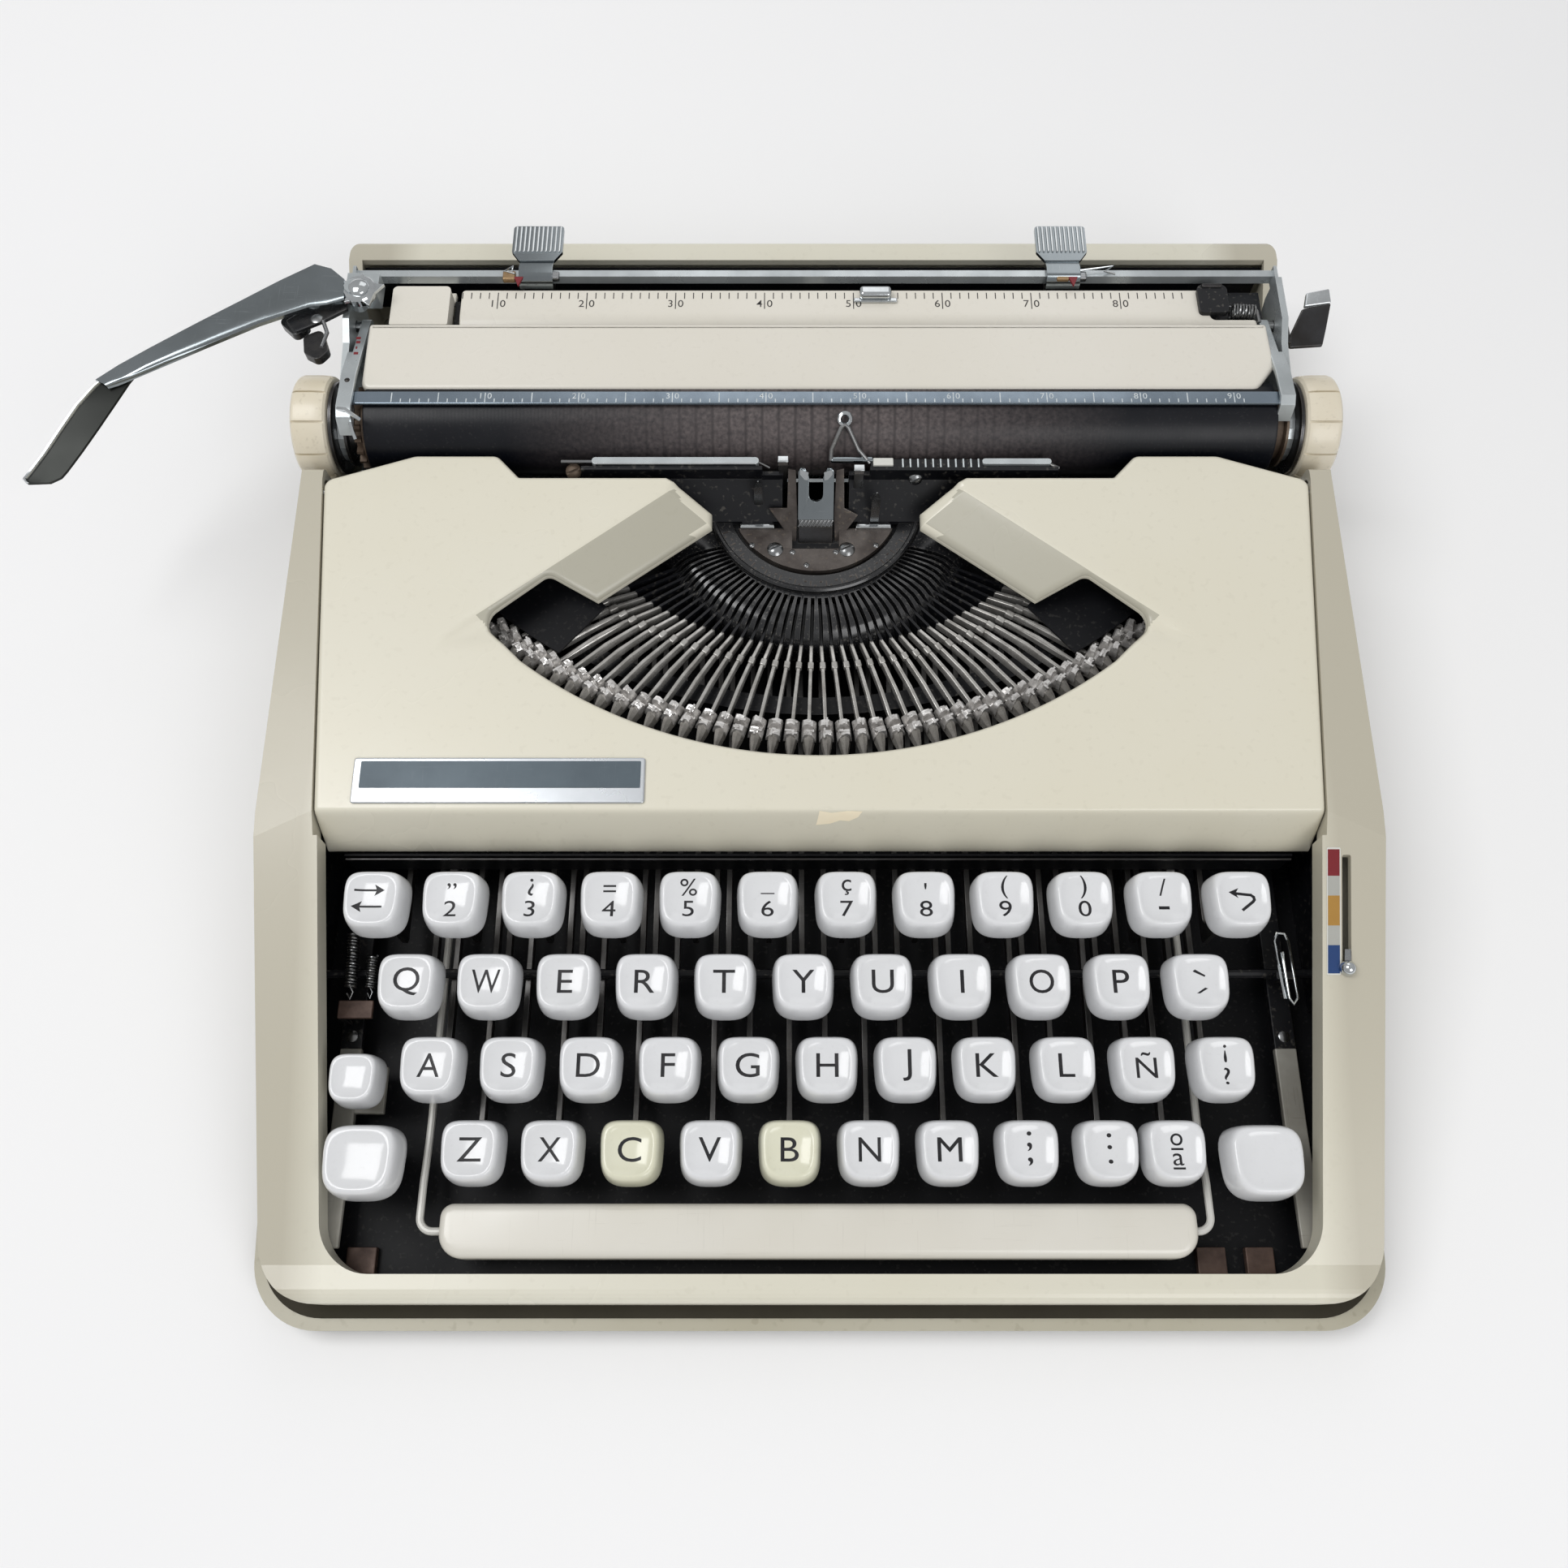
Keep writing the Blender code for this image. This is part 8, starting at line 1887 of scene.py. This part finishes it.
def buildWellDetails(s):
    side = s["blackSheet"]
    # black sheet before the rear wall's inner face: painted shade
    shapes = [box("rearLiner", (-side, s["rearShadeY"] - 0.6, s["rearShadeLow"]), (side, s["rearShadeY"], s["rearShadeTop"]),
        wellBlack)]
    # black sheet under each lobe of the cover's opening: painted shade
    for hand in (-1, 1):
        edge = arc((0, 281), s["shadeRadius"], math.radians(270 + 31.2), math.radians(270 + 43), 8)
        outline = edge + [(97, 192), (82, 196), (64, 189), (56.8, 181.6)]
        outline = outline if hand > 0 else [(-x, y) for x, y in reversed(outline)]
        shapes.append(plate("lobeShade", [outline], s["shadeLow"], s["shadeHigh"], wellBlack))
        for x in (62, 84):
            shapes.append(box("shadePost", (hand * x - 1.2, 190, 23.8), (hand * x + 1.2, 191.4, s["shadeLow"] + 0.2),
                blackSteel, 0.2))
    shapes += [
        # black sheet behind the cover's front face: painted shade
        box("foreLiner", (-120.6, 112.2, 21.4), (120.6, 112.8, 32.4), wellBlack),
        box("foreTrim", (-120.6, 111.3, 30.8), (120.6, 111.9, 31.7), darkSteel, 0.2),
    ]
    for left, right in ((-116.2, -108.8), (92.6, 99.8), (104.6, 111.6)):
        shapes.append(bevelled(box("latch", (left, 12.8, 5.1), (right, 19.2, 7.4), rustedPlate), 0.4, 2))
    # left of the keys: a bracket, two springs and their hooks
    shapes += [
        box("bracket", (-121, 72.8, 20.6), (-112.2, 77.4, 21.8), rustedPlate, 0.3),
        box("bracketLeg", (-121, 72.8, 5.1), (-119.4, 73.8, 21), blackSteel, 0.2),
        spring((-118.6, 94.4, 23.6), (-118, 80.4, 23), 17, 1.35, 0.3, bareSteel),
        wire("springHook", [(-118, 80.6, 23.8), (-117.2, 79.2, 23.2), (-118, 77.6, 22.4), (-118.8, 79, 22.8)], 0.3,
            bareSteel),
        spring((-113, 88.4, 23.6), (-113, 80.2, 23), 12, 1.1, 0.28, bareSteel),
        wire("springHook", [(-113, 80.4, 23.6), (-112.4, 79.2, 23), (-113, 77.8, 22.4), (-113.6, 79, 22.8)], 0.28,
            bareSteel),
    ]
    # right of the keys: a bent wire clip
    clip = [(116.4, 77, 25), (115.4, 91.6, 25.6), (116.4, 93.8, 25.6), (118.2, 93.6, 25.6), (119, 91.6, 25.4),
        (119.6, 77.2, 25), (118.4, 75.6, 25), (117.4, 77.2, 25.2), (117, 88.8, 25.8)]
    shapes += [
        wire("wireClip", clip, 0.42, brightChrome),
        box("clipFoot", (115, 82, 20), (120, 84, 25.2), blackSteel, 0.3),
    ]
    settle("wellDetails", shapes, "case", angle=34)


def buildCarriageDetails():
    shapes = [bevelled(box("bridge", (12.5, 269.4, 55.3), (21.5, 273, 57.9), brightChrome), 1.1, 4),
              box("bridgeFoot", (10.9, 268.8, 55.1), (23.1, 270.2, 55.9), brightChrome, 0.3)]
    tab = rounded([(107.8, 264.6, 1.2), (115.9, 264.6, 1.2), (116.2, 274.4, 2), (107.6, 274.4, 2)], 5)
    shapes += [
        bevelled(plate("tabPlate", [tab], 54.6, 56.4, blackSteel), 0.6, 3),
        box("tabEdge", (109, 273.2, 56), (114.8, 274.4, 57), darkSteel, 0.4),
        spring((117.2, 266.8, 54), (123.8, 266.4, 54), 8, 1.9, 0.32, bareSteel),
        box("springSeat", (116.4, 262.4, 50.8), (125, 264.2, 53.4), leverShadow, 0.4),
        wire("springArm", [(123.4, 268.2, 54.6), (124, 265.6, 55.4), (124.3, 262, 55.2)], 0.5, bareSteel),
    ]
    # linkage under the root of the blade
    link = [(-130.4, 268.4), (-138.6, 265), (-146.2, 258.6), (-143, 254.6), (-135.6, 258.6), (-129.6, 262.6)]
    shapes.append(bevelled(plate("leverLink", [link], 58.6, 60.2, leverShadow), 0.5, 3))
    for corners, low, high in (([(-149, 259.4), (-143.6, 262), (-139.4, 257.6), (-143.2, 253.8)], 56.8, 59.2),
                               ([(-141.4, 254.6), (-136.4, 257.2), (-133.8, 250), (-136.4, 246.6), (-140.4, 248.8)],
                                   55.6, 58.2)):
        outline = rounded([(x, y, 1.7) for x, y in corners][::-1], 5)
        shapes.append(bevelled(plate("leverLobe", [outline], low, high, leverShadow), 0.7, 3))
    shapes += [
        turned("linkPin", [(0, 0), (1.5, 0), (1.5, 0.3), (1, 0.5), (0, 0.5)], (-137.6, 259, 59.9), (0, 0, 1), bareSteel,
            24),
        wire("linkRod", [(-136.4, 259.8, 59.7), (-134.6, 255.2, 59), (-135.8, 250.8, 58.4)], 0.6, bareSteel),
    ]
    settle("carriageDetails", shapes, "carriage", angle=34)


def buildPaintChip(m, c, s):
    bm = bmesh.new()
    bm.faces.new([bm.verts.new((x, y, 0)) for x, y in s["chip"]])
    sliced(bm, [(0, 116.8 + i * 0.2, 0) for i in range(11)])
    sliced(bm, [(i * 1, 0, 0) for i in range(11)], (1, 0, 0))
    for v in bm.verts:
        v.co.z = coverHeight(v.co.x, v.co.y, m, c) + 0.05
    settle("coverChip", [painted(shapeFrom("chip", facingUp(bm), tidy=False), chipPaint)], "cover_body")


buildWellDetails(detailSizes)
buildCarriageDetails()
buildPaintChip(machine, coverSizes, detailSizes)
for name, tone in (("chassis", blackSteel), ("carriage_frame", armSteel)):
    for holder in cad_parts[name].material_slots:
        holder.material = tone
print("details ready")
